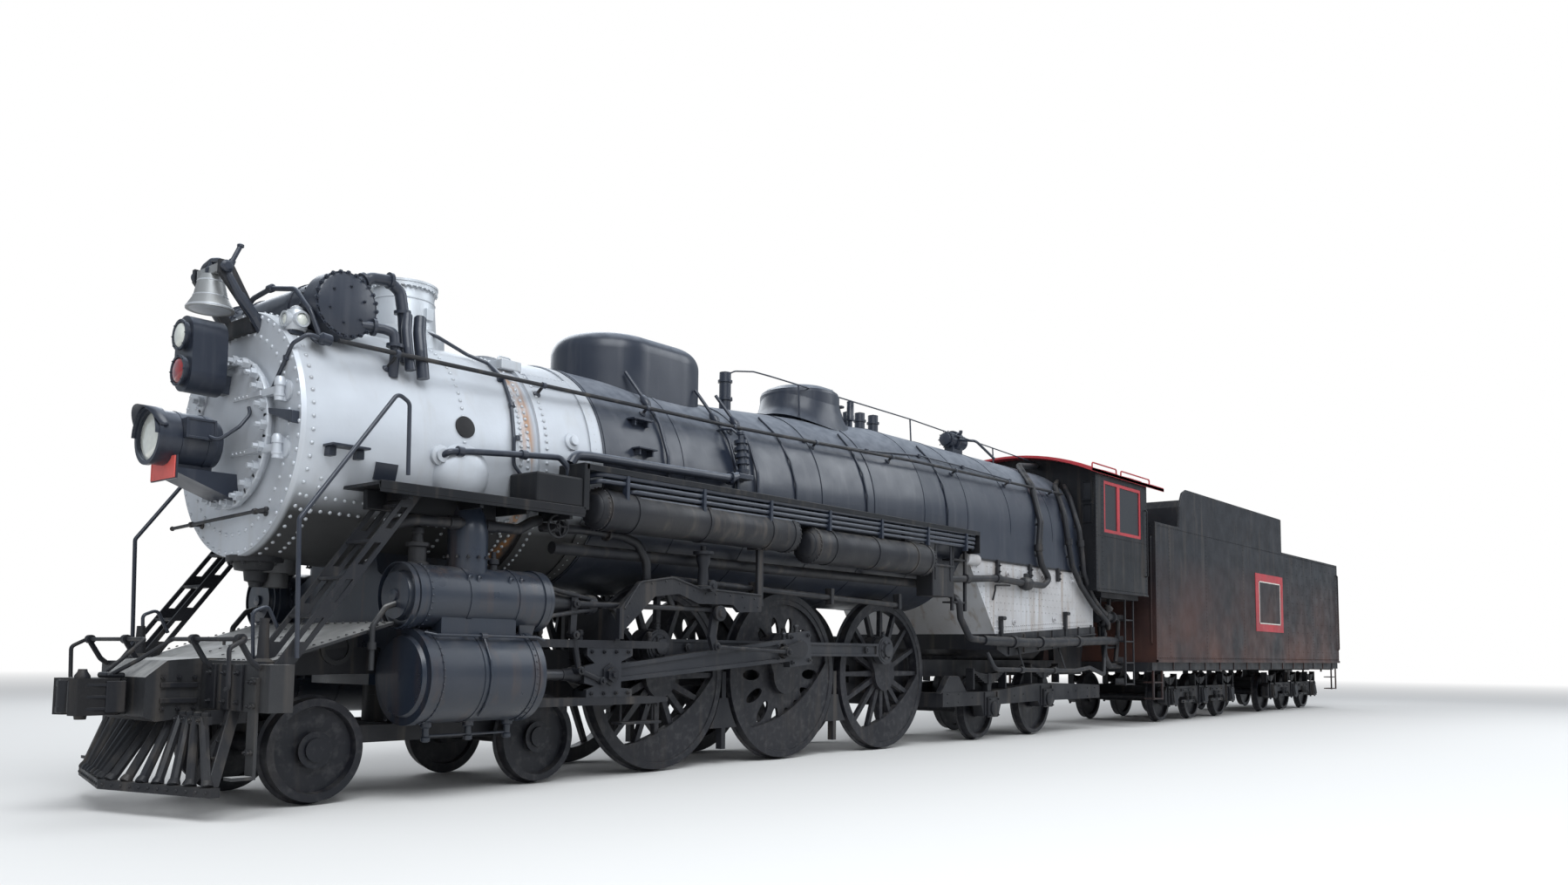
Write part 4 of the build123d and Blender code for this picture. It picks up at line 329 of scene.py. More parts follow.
# %% Paint the CAD model's nodes
node_paints = {
    jacket_black: "boiler feedwater_heater sand_dome steam_dome safety_valves generator headlight signal_lamp",
    cab_black: "cab running_boards",
    casing_black: "cylinders",
    deck_grey: "front_deck",
    frame_black: "engine_frame ash_pan bell_bracket pilot ladders piping valve_gear brake_hangers "
                 "crosshead_guides rear_deck reservoirs centre_pins lead_truck_frame trailing_truck_frame "
                 "tender_frame tender_truck_frame_1 tender_truck_frame_2 handrails",
    wheel_black: "drivers_1 drivers_2 drivers_3 lead_wheels_1 lead_wheels_2 trailing_wheels_1 "
                 "trailing_wheels_2 " + " ".join(f"tender_wheels_{n}" for n in range(1, 7)),
    rod_black: "side_rod_left side_rod_right main_rods crossheads",
    silver_paint: "smokebox smokebox_front smokebox_door",
    plain_silver: "stack",
    shaded_bell_silver: "bell",
    firebox_silver: "firebox",
    tender_black: "tender_tank tender_hatch_lid",
    cab_red: "cab_roof window_frames",
    dull_iron: "front_coupler tender_coupler",
}
for paint, names in node_paints.items():
    for name in names.split():
        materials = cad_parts[name].data.materials
        materials.clear()
        materials.append(paint)
painted = set(" ".join(node_paints.values()).split())
print("nodes with no paint", sorted(set(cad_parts) - painted))

# %% [markdown]
# ## Ways of making pieces
# Every piece starts as a primitive or a curve and is finished in edit mode or by modifiers. These
# few functions keep that short. Each leaves the object at the origin with its place in its mesh.

# %% Directions and the steps every piece goes through
FORE, AFT, LEFT, UP, DOWN = [Vector(v) for v in ((1, 0, 0), (-1, 0, 0), (0, 1, 0), (0, 0, 1),
    (0, 0, -1))]


def active(piece):
    """Selects one piece alone and makes it the active one."""
    clear_selection()
    bpy.context.view_layer.objects.active = piece
    piece.select_set(True)
    return piece


def edited(piece, step):
    """Takes a step in edit mode with the whole of a piece selected."""
    active(piece)
    bpy.ops.object.mode_set(mode="EDIT")
    bpy.ops.mesh.select_all(action="SELECT")
    step()
    bpy.ops.object.mode_set(mode="OBJECT")
    return piece


def aimed(place, axis):
    """The move from the origin to a place, with Z turned to an axis."""
    return Matrix.Translation(place) @ Vector(axis).to_track_quat("Z", "Y").to_matrix().to_4x4()


def settled(piece, move=Matrix.Identity(4)):
    """Puts an object's place, and a further move, into its mesh."""
    bpy.context.view_layer.update()
    piece.data.transform(move @ piece.matrix_world)
    piece.matrix_world = Matrix.Identity(4)
    return piece


def smooth(piece, degrees=35):
    """Rounds the shading, and keeps edges sharper than this."""
    active(piece)
    bpy.ops.object.shade_smooth_by_angle(angle=math.radians(degrees))
    return piece


def bevel(piece, width):
    """Rounds the edges with a bevel modifier, then applies it."""
    active(piece)
    modifier = piece.modifiers.new("edges", "BEVEL")
    modifier.width = width
    modifier.segments = 2
    modifier.limit_method = "ANGLE"
    bpy.ops.object.modifier_apply(modifier="edges")
    return piece


# %% Blocks and turned pieces
def block(low, high, edge=0.004):
    """A block between two corners, with its edges broken."""
    clear_selection()
    bpy.ops.mesh.primitive_cube_add(size=1, location=[(a + b) / 2 for a, b in zip(low, high)])
    piece = bpy.context.object
    piece.scale = [abs(b - a) for a, b in zip(low, high)]
    settled(piece)
    return bevel(piece, edge) if edge else piece


def slab(middle, size, edge=0.004):
    """A block by its middle and its size along each axis."""
    half = Vector(size) / 2
    return block(Vector(middle) - half, Vector(middle) + half, edge)


def slices(stations, half, low, high, edge=0.004):
    """Equal blocks at stations along X: low and high are corners in (y, z)."""
    return [block((x - half, *low), (x + half, *high), edge) for x in stations]


def shelves(heights, half, low, high, edge=0.004):
    """Equal blocks at several heights: low and high are corners in (x, y)."""
    return [block((*low, z - half), (*high, z + half), edge) for z in heights]


def turned(profile, place, axis=(0, 0, 1), sides=24, angle=35, ring=False):
    """A turned piece: a circle is extruded and resized once for each (height, radius) of the profile.
    With ring set, the piece is open in the middle and the profile's last point joins its first."""
    clear_selection()
    height, radius = profile[0]
    bpy.ops.mesh.primitive_circle_add(vertices=sides, radius=radius, location=(0, 0, height),
        fill_type="NOTHING" if ring else "NGON")

    def raise_rings():
        below, wide = height, radius
        for next_height, next_radius in profile[1:] + (profile[:1] if ring else []):
            bpy.ops.mesh.extrude_region_move(TRANSFORM_OT_translate={"value": (0, 0,
                next_height - below)})
            next_radius = max(next_radius, 1e-4)
            if next_radius != wide:
                bpy.ops.transform.resize(value=(next_radius / wide, next_radius / wide, 1),
                    center_override=(0, 0, next_height))
            below, wide = next_height, next_radius
        bpy.ops.mesh.select_all(action="SELECT")
        if ring:
            bpy.ops.mesh.remove_doubles(threshold=1e-6)
        bpy.ops.mesh.normals_make_consistent(inside=False)

    return smooth(settled(edited(bpy.context.object, raise_rings), aimed(place, axis)), angle)


def trimmed(piece, point, direction):
    """Cuts off what lies beyond a plane, on the side its direction points to, and closes the cut."""
    return edited(piece, lambda: bpy.ops.mesh.bisect(plane_co=point, plane_no=direction,
        use_fill=True, clear_outer=True))


def hoop(place, axis, inner, outer, width, sides=40):
    """A flat band round something: an open ring with a square section."""
    return turned([(0, inner), (0, outer), (width, outer), (width, inner)], place, axis, sides,
        ring=True)


def rod(start, end, radius, sides=12):
    """A plain round bar between two points."""
    run = Vector(end) - Vector(start)
    return turned([(0, radius), (run.length, radius)], start, run, sides)


# %% Pipes
def rounded_route(points, bend):
    """The points of a pipe's line: straight runs joined by arcs of a given bend."""
    points = [Vector(p) for p in points]
    route = [points[0]]
    for before, corner, after in zip(points, points[1:], points[2:]):
        back, ahead = before - corner, after - corner
        half = back.angle(ahead) / 2
        cut = min(bend / max(math.tan(half), 1e-3), back.length * 0.49, ahead.length * 0.49)
        start, end = corner + back.normalized() * cut, corner + ahead.normalized() * cut
        for t in (0, 1 / 6, 1 / 3, 1 / 2, 2 / 3, 5 / 6, 1):
            route.append(start * (1 - t) ** 2 + corner * (2 * t * (1 - t)) + end * t ** 2)
    return route + points[-1:]


def linked(name, data):
    """A new object in the scene."""
    piece = bpy.data.objects.new(name, data)
    bpy.context.scene.collection.objects.link(piece)
    return piece


def tube(points, radius, bend=0.08, sides=3):
    """A pipe: a curve with a round bevel along the route, made a mesh."""
    curve = bpy.data.curves.new("route", "CURVE")
    curve.dimensions = "3D"
    curve.bevel_depth = radius
    curve.bevel_resolution = sides
    curve.use_fill_caps = True
    spline = curve.splines.new("POLY")
    route = rounded_route(points, bend)
    spline.points.add(len(route) - 1)
    for point, place in zip(spline.points, route):
        point.co = (*place, 1)
    active(linked("route", curve))
    bpy.ops.object.convert(target="MESH")
    return smooth(bpy.context.object, 40)


# %% Repeats, mirror copies and finished pieces
def repeat(template, places):
    """Copies of a small piece made once: places holds (point, direction, spin in degrees)."""
    corners, faces = [], []
    shape = [v.co.copy() for v in template.data.vertices]
    polygons = [tuple(p.vertices) for p in template.data.polygons]
    for point, direction, spin in places:
        turn = Vector(direction).to_track_quat("Z", "X").to_matrix().to_4x4()
        matrix = Matrix.Translation(point) @ turn @ Matrix.Rotation(math.radians(spin), 4, "Z")
        first = len(corners)
        corners += [matrix @ c for c in shape]
        faces += [tuple(first + i for i in p) for p in polygons]
    mesh = bpy.data.meshes.new("repeat")
    mesh.from_pydata(corners, [], faces)
    return smooth(linked("repeat", mesh), 50)


def both_sides(parts):
    """The parts with their mirrored copies on the engine's other side."""
    twins = []
    for part in parts:
        twin = linked("twin", part.data.copy())
        twin.data.transform(Matrix.Scale(-1, 4, LEFT))
        twin.data.flip_normals()
        twins.append(twin)
    return parts + twins


def joined(parts):
    """One mesh made of several."""
    active(parts[0])
    for part in parts:
        part.select_set(True)
    if len(parts) > 1:
        bpy.ops.object.join()
    return parts[0]


def piece_of(name, parts, paint, body="engine"):
    """Joins parts into one named piece, paints it and lets it ride on its body."""
    piece = joined(parts)
    piece.name = piece.data.name = name
    piece.data.materials.clear()
    piece.data.materials.append(paint)
    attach(piece, body)
    print(name, sum(len(p.vertices) - 2 for p in piece.data.polygons), "triangles")


# %% [markdown]
# ## Rivets and bolts
# A boilermaker's rivet has a round head, and a stud carries a six-sided nut. Both are made once at
# the origin for each size, and rows of them are copied along the seams.

# %% Rivets, nuts and their rows
templates = {}


def template(radius, profile, sides, angle):
    """A small turned piece, made once. The profile is given in radii."""
    if (radius, sides) not in templates:
        templates[radius, sides] = turned([(h * radius, r * radius) for h, r in profile],
            (0, 0, 0), sides=sides, angle=angle)
    return templates[radius, sides]


def rivets(radius, places):
    """Round rivet heads."""
    return repeat(template(radius, [(0, 1), (0.45, 0.86), (0.75, 0.4)], 7, 35), places)


def nuts(radius, places):
    """Six-sided nuts, each with the end of its stud."""
    return repeat(template(radius, [(0, 1), (0.9, 1), (0.9, 0.55), (1.7, 0.5)], 6, 20), places)


def facing(direction, points):
    """Places at points that all face the same way."""
    return [(point, direction, 0) for point in points]


def ring_places(centre, axis, radius, count, start=0.0, out=False):
    """Places round a circle: each faces along the axis, or out from the centre."""
    axis = Vector(axis).normalized()
    turn = axis.to_track_quat("Z", "Y").to_matrix()
    places = []
    for k in range(count):
        a = math.radians(start) + 2 * math.pi * k / count
        ray = turn @ Vector((math.cos(a), math.sin(a), 0))
        places.append((Vector(centre) + ray * radius, ray if out else axis, 0))
    return places


def on_both(places):
    """The places with their mirror images on the engine's other side."""
    flip = Matrix.Scale(-1, 3, LEFT)
    return places + [(flip @ Vector(point), flip @ Vector(direction), spin) for point, direction,
        spin in places]


def row_places(start, end, count, direction):
    """Places spaced evenly along a line."""
    start, end = Vector(start), Vector(end)
    return facing(direction, [start.lerp(end, k / (count - 1)) for k in range(count)])


BOILER_Z, JACKET_FRONT = 3.086, 3.33


def barrel(x):
    """The boiler's centre height and radius at a station, as in the CAD model."""
    if x > 4.11:
        return BOILER_Z, 1.058 + (6.395 - x) / 2.285 * 0.057
    if x > JACKET_FRONT:
        return BOILER_Z, 1.14 + (4.11 - x) / 0.78 * 0.03
    share = min(1.0, max(0.0, (1.1 - x) / 3.5))
    return BOILER_Z + 0.13 * share, 1.18 + 0.13 * share


def on_barrel(x, degrees, lift=0.0):
    """A place on the boiler that faces out: degrees run from the left side up over the top."""
    centre, radius = barrel(x)
    a = math.radians(degrees)
    out = Vector((0, math.cos(a), math.sin(a)))
    return Vector((x, 0, centre)) + out * (radius + lift), out, 0


def barrel_line(lift, *stations):
    """The points of a pipe that follows the boiler, from (x, degrees) or (x, degrees, lift)."""
    return [on_barrel(s[0], s[1], s[2] if len(s) > 2 else lift)[0] for s in stations]


def barrel_ring(x, first, last, count):
    """Places round the boiler at one station."""
    return [on_barrel(x, first + (last - first) * i / (count - 1), 0.001) for i in range(count)]


# %% Smokebox rivets
rows = []
for ring in ((6.335, -175, 175, 60), (4.92, -175, 175, 84), (4.3, -60, 60, 40),
        (4.22, -175, 175, 100), (4.02, -175, 175, 100), (3.42, -175, 175, 96)):
    rows += barrel_ring(*ring)
for degrees in (-33, -40, 188, 195):
    rows += [on_barrel(6.28 - i * 0.085, degrees, 0.001) for i in range(24)]
for x in (6.2, 5.4):
    rows += barrel_ring(x, -70, -24, 12)
piece_of("smokebox_rivets", [rivets(0.018, rows)], plain_silver)
piece_of("front_ring_rivets", [rivets(0.019, ring_places((6.434, 0, BOILER_Z), FORE, 1.018, 56)
    + ring_places((6.434, 0, BOILER_Z), FORE, 0.86, 48))], silver_paint)

# %% [markdown]
# ## Smokebox door
# The door is held by clamps round its rim: each is a small forged bar over a stud, with a nut. The
# studs sit close together, since the door has to be airtight for the blast to draw the fire.

# %% Door clamps
clamp = joined([block((-0.11, -0.036, 0.0), (0.11, 0.036, 0.05), 0.012),
    turned([(0.05, 0.044), (0.095, 0.044), (0.095, 0.024), (0.135, 0.022)], (0, 0, 0), sides=6,
    angle=20)])
clamps = []
for degrees in [-82 + i * 360 / 22 for i in range(22)]:
    if not (20 < degrees % 360 < 26 or 335 < degrees % 360 < 342):
        a = math.radians(degrees)
        clamps.append(((6.462, 0.612 * math.cos(a), BOILER_Z + 0.612 * math.sin(a)), FORE, degrees))
piece_of("door_clamps", [repeat(clamp, clamps)], silver_paint, "smokebox_door")
bpy.data.objects.remove(clamp)

# %% [markdown]
# ## Headlight and number boards
# The lamp is a drum with a pale lens under a short hood. Beside it stand boards for the engine's
# number, left bare here, and a bare red plate hangs on the shelf's front edge.

# %% Glass, lens and red plate paints
def plain_paint(name, colour, rough, metallic=0.0, coat=0.0, variation=0.85):
    """A paint with only a little mottling, for small fittings."""
    paint, tree, shader, place = new_paint(name)
    mottle = band(tree, noise(tree, place, 18.0, detail=6.0), 0.3, 0.75)
    base = mix_colour(tree, colour, tuple(c * variation for c in colour), mottle)
    tree.links.new(base, shader.inputs["Base Color"])
    set_inputs(shader, Roughness=rough, Metallic=metallic, Coat_Weight=coat)
    return paint


lens_glass = plain_paint("lens_glass", (0.7, 0.72, 0.66), 0.12, coat=1.0)
red_lens = plain_paint("red_lens", (0.3, 0.02, 0.02), 0.1, coat=1.0, variation=0.6)
# the cab's panes: a dark sheet that stands in for the shaded cab inside, painted shade
shade_dark_glass = plain_paint("shade_dark_glass", (0.01, 0.011, 0.014), 0.35, coat=0.05)
plate_red = plain_paint("plate_red", (0.72, 0.12, 0.1), 0.5)
plate_pale = plain_paint("plate_pale", (0.62, 0.6, 0.55), 0.55)

# %% Headlight
def lamp_hoop(x, inner, outer, width, sides=40):
    """A ring round the headlight's barrel."""
    return hoop((x, 0, 2.965), FORE, inner, outer, width, sides)


piece_of("headlight_lens", [turned([(0, 0.2), (0.012, 0.2), (0.03, 0.16), (0.038, 0.08),
    (0.04, 0.0)], (7.118, 0, 2.965), FORE, 40)], lens_glass, "smokebox_door")
hood = trimmed(lamp_hoop(7.1, 0.2365, 0.243, 0.215, 48), (7.12, 0, 3.03), DOWN)
lamp = [lamp_hoop(7.135, 0.201, 0.236, 0.03), lamp_hoop(7.045, 0.196, 0.2255, 0.1),
    trimmed(hood, (7.165, 0, 3.03), (1, 0, -0.55)), lamp_hoop(6.74, 0.2255, 0.2315, 0.03),
    lamp_hoop(6.95, 0.2255, 0.2315, 0.03)]
board_rims = [slab((6.865, 0.287, z), (0.24, 0.016, 0.02)) for z in (2.96, 3.11)]
board_rims += [slab((x, 0.287, 3.035), (0.017, 0.016, 0.14)) for x in (6.7535, 6.9765)]
piece_of("headlight_trim", lamp + both_sides(board_rims), jacket_black, "smokebox_door")
piece_of("front_plate", [block((7.024, -0.205, 2.64), (7.03, 0.205, 2.795), 0.002)], plate_red,
    "smokebox_door")
plate_rim = [block((7.024, -0.212, z), (7.033, 0.212, z + 0.012), 0.002) for z in (2.628, 2.795)]
plate_rim += [block((7.024, y, 2.628), (7.033, y + 0.012, 2.807), 0.002) for y in (-0.217, 0.205)]
piece_of("front_plate_rim", plate_rim, plate_red, "smokebox_door")

# %% Signal lamp lenses and rims
signal = []
for name, z, glass in (("signal_lens_upper", 3.855, lens_glass),
        ("signal_lens_lower", 3.555, red_lens)):
    signal.append(hoop((6.919, -0.06, z), FORE, 0.109, 0.132, 0.016, 32))
    signal.append(nuts(0.007, ring_places((6.934, -0.06, z), FORE, 0.121, 8)))
    piece_of(name, [turned([(0, 0.108), (0.02, 0.09), (0.03, 0.05), (0.033, 0.0)],
        (6.918, -0.06, z), FORE, 28)], glass, "smokebox_door")
signal.append(hoop((6.595, -0.06, 3.705), FORE, 0.05, 0.16, 0.01, 24))
piece_of("signal_rims", signal, jacket_black, "smokebox_door")

# %% [markdown]
# ## Bell, heater and stack
# The bell hangs in a black yoke with a long curved lever. The feedwater heater is a drum across the
# smokebox with bolted ends, and steam pipes in cast elbows reach down to it on both sides.

# %% Bell yoke and lever
BELL_X = 6.72
piece_of("bell_yoke", [tube([(BELL_X, -0.19, 4.43), (BELL_X, -0.15, 4.5), (BELL_X, 0, 4.53),
    (BELL_X, 0.15, 4.5), (BELL_X, 0.19, 4.43)], 0.024), turned([(0, 0.05), (0.05, 0.055),
    (0.09, 0.03), (0.13, 0.02)], (BELL_X, 0, 4.4), sides=16)], jacket_black, "bell")
horn = both_sides([turned([(-0.03, 0.05), (0.0, 0.05), (0.03, 0.05), (0.045, 0.03)],
    (BELL_X, 0.25, 4.43), (0, 1, 0), 16)])
for side, tip in ((1, 4.64), (-1, 4.5)):
    spine = rounded_route([(6.6, side * 0.235, tip), (6.66, side * 0.235, 4.5),
        (6.7, side * 0.235, 4.38), (6.6, side * 0.25, 4.22), (6.47, side * 0.27, 4.06),
        (6.4, side * 0.27, 3.96)], 0.12)
    for k, (start, end) in enumerate(zip(spine, spine[1:])):
        horn.append(rod(start, end + (end - start).normalized() * 0.012, 0.02
            + 0.034 * k / len(spine), 10))
    horn.append(turned([(-0.02, 0.012), (-0.01, 0.028), (0.01, 0.028), (0.02, 0.012)], spine[0],
        sides=12))
piece_of("bell_stand_fittings", horn, jacket_black)
piece_of("bell_bands", [turned([(0, r), (height / 2, r + swell), (height, r)], (BELL_X, 0, z),
    sides=sides) for r, swell, height, z, sides in ((0.137, 0.003, 0.012, 4.205, 32),
    (0.11, 0.003, 0.012, 4.335, 32), (0.186, 0.006, 0.02, 4.102, 40))], plain_silver, "bell")

# %% Feedwater heater ends and pipes
HEATER = Vector((6.0, 0, 4.16))
heater = [turned([(0, 0.262), (0.016, 0.262), (0.022, 0.25), (0.024, 0.0)], HEATER + LEFT * 0.895,
    LEFT, 40), nuts(0.02, ring_places(HEATER + LEFT * 0.898, LEFT, 0.272, 24)),
    hoop(HEATER + LEFT * 0.66, LEFT, 0.252, 0.262, 0.05),
    hoop(HEATER + LEFT * 0.36, LEFT, 0.252, 0.262, 0.05)]
heater = both_sides(heater) + [nuts(0.013, ring_places(HEATER + out * 0.918, out, 0.165, 6, 20))
    for out in (LEFT, -LEFT)]
heater.append(rivets(0.014, on_both(ring_places(HEATER + LEFT * 0.6, LEFT, 0.252, 30, out=True))))
piece_of("heater_fittings", heater, jacket_black)

# Elbows at the drum's ends, and the tongue-shaped guards that hang down behind it
elbows = [tube([(5.86, 0.8, 4.38), (5.72, 0.8, 4.48), (5.56, 0.8, 4.5), (5.45, 0.82, 4.42),
    (5.42, 0.84, 4.2), (5.38, 0.84, 3.8)], 0.052, 0.09, 4),
    tube([(5.85, 0.88, 4.02), (5.66, 0.93, 4.02), (5.58, 0.96, 4.00), (5.57, 0.97, 3.84),
    (5.56, 0.93, 3.62)], 0.044, 0.06, 4)]
for place, direction in (((5.8, 0.8, 4.43), (-0.8, 0, 0.5)), ((5.43, 0.835, 4.25), (-0.1, 0, -1)),
        ((5.76, 0.905, 4.02), (-1, 0.2, 0)), ((5.572, 0.966, 3.9), DOWN),
        ((5.56, 0.805, 4.5), AFT)):
    elbows.append(hoop(place, direction, 0.04, 0.074, 0.028, 20))
piece_of("heater_elbows", both_sides(elbows), jacket_black)
piece_of("heater_guards", both_sides([tube([(x - 0.04, 0.9, 4.2), (x, 0.955, 4.05),
    (x, 0.99, 3.88), (x - 0.02, 1.01, foot)], width, 0.12, 4) for x, width,
    foot in ((5.46, 0.045, 3.69), (5.33, 0.055, 3.64))]), jacket_black)

# %% Stack bands and rim
STACK_X = 4.89
piece_of("stack_trim", [turned([(0, 0.287), (0.012, 0.297), (0.024, 0.287)], (STACK_X, 0, 4.58),
    sides=48), hoop((STACK_X, 0, 4.742), UP, 0.309, 0.317, 0.02, 48),
    block((STACK_X - 0.13, 0.285, 4.4), (STACK_X - 0.05, 0.32, 4.52), 0.008),
    rivets(0.013, ring_places((STACK_X, 0, 4.7), UP, 0.305, 36, out=True)
    + ring_places((STACK_X, 0, 4.36), UP, 0.29, 36, out=True))], plain_silver)

# %% [markdown]
# ## Boiler jacket
# Thin steel sheets wrap the boiler over its lagging, and bands hide the joints between the sheets.
# A band is a ring a few millimetres proud, so each is turned to the barrel's own radius.

# %% Jacket bands
def barrel_band(x, width, lift):
    """A band on the barrel."""
    centre, radius = barrel(x)
    return hoop((x, 0, centre), FORE, radius + 0.0005, radius + lift, width, 96)


bands = [barrel_band(x, 0.055, 0.006) for x in (3.25, 2.12, 0.98, -0.25, -1.32, -2.46)]
# the firebox stands below the rear bands, so they end at its top edge
bands += [trimmed(barrel_band(x, 0.055, 0.006), (x, 0, 2.72), DOWN)
    for x in (-3.62, -4.9, -6.3, -7.74)]
piece_of("jacket_bands", bands, jacket_black)
piece_of("silver_ring", [barrel_band(3.37, 0.12, 0.012)], silver_paint)
piece_of("smokebox_seam_ring", [barrel_band(4.06, 0.05, 0.012)], silver_paint)

# %% [markdown]
# ## Fittings along the boiler
# Sand falls through pipes from the big dome to the rails. The handrail, the safety valves, the
# whistle and the small turret valves are the skyline that gives the boiler its scale.

# %% Sand dome
piece_of("sand_dome_hatch", [turned([(0, 0.24), (0.02, 0.24), (0.03, 0.2), (0.045, 0.03),
    (0.046, 0.0)], (1.9, 0, 4.787), sides=32), block((1.6, -0.03, 4.786), (1.72, 0.03, 4.83)),
    rod((1.62, 0, 4.81), (1.36, 0.1, 4.88), 0.012)], jacket_black)
sand_pipes = []
for x in (2.55, 1.1, 1.45):
    route = [(x, 0.62, 4.3)] + barrel_line(0.045, *[(x - 0.1, degrees)
        for degrees in (50, 30, 12, -6, -22)])
    sand_pipes += [tube(route, 0.02, 0.25), turned([(0, 0.03), (0.05, 0.045), (0.12, 0.045),
        (0.16, 0.025)], route[1], (0, 0.64, -0.77), 14)]
piece_of("sand_pipes", both_sides(sand_pipes), jacket_black)

# %% Safety valves, whistle and steam dome
valves = []
for x, z, r in ((0.25, 4.83, 0.075), (-2.7, 4.8, 0.075), (-3.04, 4.82, 0.075), (-2.38, 4.76, 0.06)):
    valves += [turned([(0, r * 1.25), (0.03, r * 1.25), (0.03, r), (0.1, r), (0.115, r * 0.7),
        (0.13, r * 0.35), (0.145, 0.02)], (x, 0, z - 0.13), sides=18),
        turned([(0, r * 1.3), (0.025, r * 1.3)], (x, 0, z - 0.36), sides=18),
        nuts(0.012, ring_places((x, 0, z - 0.335), UP, r * 1.15, 6))]
# whistle beside the steam dome, with its lever
valves += [turned([(0, 0.03), (0.12, 0.03), (0.13, 0.055), (0.2, 0.055), (0.21, 0.05), (0.4, 0.05),
    (0.42, 0.02)], (-2.05, 0.3, 4.42), sides=16), tube([(-2.05, 0.1, 4.46), (-2.05, 0.3, 4.46)],
    0.03), tube([(0.25, 0.02, 4.8), (0.18, 0.1, 4.85), (0.05, 0.3, 4.84), (-0.15, 0.42, 4.8),
    (-3.4, 0.42, 4.78), (-7.35, 0.42, 4.66)], 0.01)]
valves += [rod((x, 0.42, z), (x, 0.44, z - 0.4), 0.012, 8) for x,
    z in ((-0.72, 4.79), (-3.4, 4.78), (-5.9, 4.705))]
# thin pipe along the jacket with its clips
line = barrel_line(0.025, (-0.15, 39), (-1.4, 37), (-2.7, 40), (-3.9, 40), (-5.3, 38))
valves.append(tube(line, 0.011, 0.2))
valves += [block(p - Vector((0.03, 0.03, 0.03)), p + Vector((0.03, 0.02, 0.02)), 0.006)
    for p in line]
# the dome's flared skirt follows the jacket, and a cap closes the jacket beside it
skirt = turned([(0.0, 0.7), (0.25, 0.63), (0.5, 0.585), (0.75, 0.56), (1.0, 0.5455), (1.0, 0.53)],
    (-1.28, 0, 0), sides=48)
centre, radius = barrel(-1.28)
for vertex in skirt.data.vertices:
    surface = centre + math.sqrt(radius ** 2 - vertex.co.y ** 2)
    vertex.co.z = surface - 0.004 + vertex.co.z * 0.3
valves += [smooth(skirt, 50), turned([(0, 0.11), (0.02, 0.11), (0.03, 0.08), (0.06, 0.07)],
    (-1.5, 0.38, 4.79), (-0.4, 0.7, 0.6), 16)]
# upright stop valve with a spoked wheel on top
valves += [rod((-1.8, 0.12, 4.5), (-2.02, 0.12, 4.52), 0.03),
    turned([(-0.16, 0.035), (-0.05, 0.035), (0, 0.06), (0.05, 0.05), (0.1, 0.03), (0.16, 0.015)],
    (-2.02, 0.12, 4.6), sides=14), hoop((-2.02, 0.12, 4.75), UP, 0.058, 0.078, 0.02, 22)]
hub = Vector((-2.02, 0.12, 4.76))
for k in range(4):
    reach = Vector((math.cos(math.pi * k / 4), math.sin(math.pi * k / 4), 0)) * 0.075
    valves.append(rod(hub - reach, hub + reach, 0.007, 6))
piece_of("valve_heads", valves, jacket_black)

GEN_X, GEN_Z = -5.35, 4.78
piece_of("generator_fittings", [nuts(0.011, ring_places((GEN_X + 0.228, 0, GEN_Z), FORE, 0.135,
    10)), turned([(0, 0.1), (0.05, 0.1), (0.07, 0.04)], (GEN_X + 0.23, 0, GEN_Z), FORE, 24),
    turned([(0, 0.11), (0.05, 0.09), (0.06, 0.03)], (GEN_X - 0.26, 0, GEN_Z), AFT, 24),
    tube([(GEN_X + 0.1, 0.1, GEN_Z + 0.05), (GEN_X + 0.1, 0.2, GEN_Z + 0.1),
    (GEN_X + 0.1, 0.2, GEN_Z + 0.14)], 0.03, 0.04), tube([(GEN_X + 0.05, 0.14, GEN_Z),
    (GEN_X + 0.05, 0.45, GEN_Z - 0.05), (GEN_X - 0.25, 0.62, GEN_Z - 0.32)], 0.022, 0.1)],
    jacket_black)

# %% Clasps on the handrail and its posts
def rail_end(x, z):
    """The handrail's centre where one run meets the next, as in the CAD model."""
    centre, radius = barrel(min(x, JACKET_FRONT))
    return Vector((x, math.sqrt((radius + 0.095) ** 2 - (z - centre) ** 2), z))


rail = [rail_end(x, 3.79 + (6.15 - x) / 13.05 * 0.2) for x in (6.15, 1.1, -2.4, -6.9)]
clasps = []
for x in (5.6, 4.0, 2.6, 1.2, -0.25, -1.8, -3.4, -5.0, -6.5):
    ahead, behind = next((a, b) for a, b in zip(rail, rail[1:]) if x >= b.x)
    place = ahead.lerp(behind, (ahead.x - x) / (ahead.x - behind.x))
    middle = Vector((x, 0, barrel(x)[0]))
    out = (place - middle).normalized()
    clasps += [turned([(-0.026, 0.014), (-0.018, 0.03), (0.018, 0.03), (0.026, 0.014)], place,
        FORE, 14), turned([(0, 0.04), (0.012, 0.04), (0.03, 0.02)], middle
        + out * (barrel(x)[1] + 0.001), out, 14)]
piece_of("rail_clasps", both_sides(clasps), jacket_black)

# %% [markdown]
# ## Running boards
# The boards are checkered plates with a rolled edge. Below the upper board four pipes run side by
# side in clamps, and behind them hang the air reservoirs in their straps.

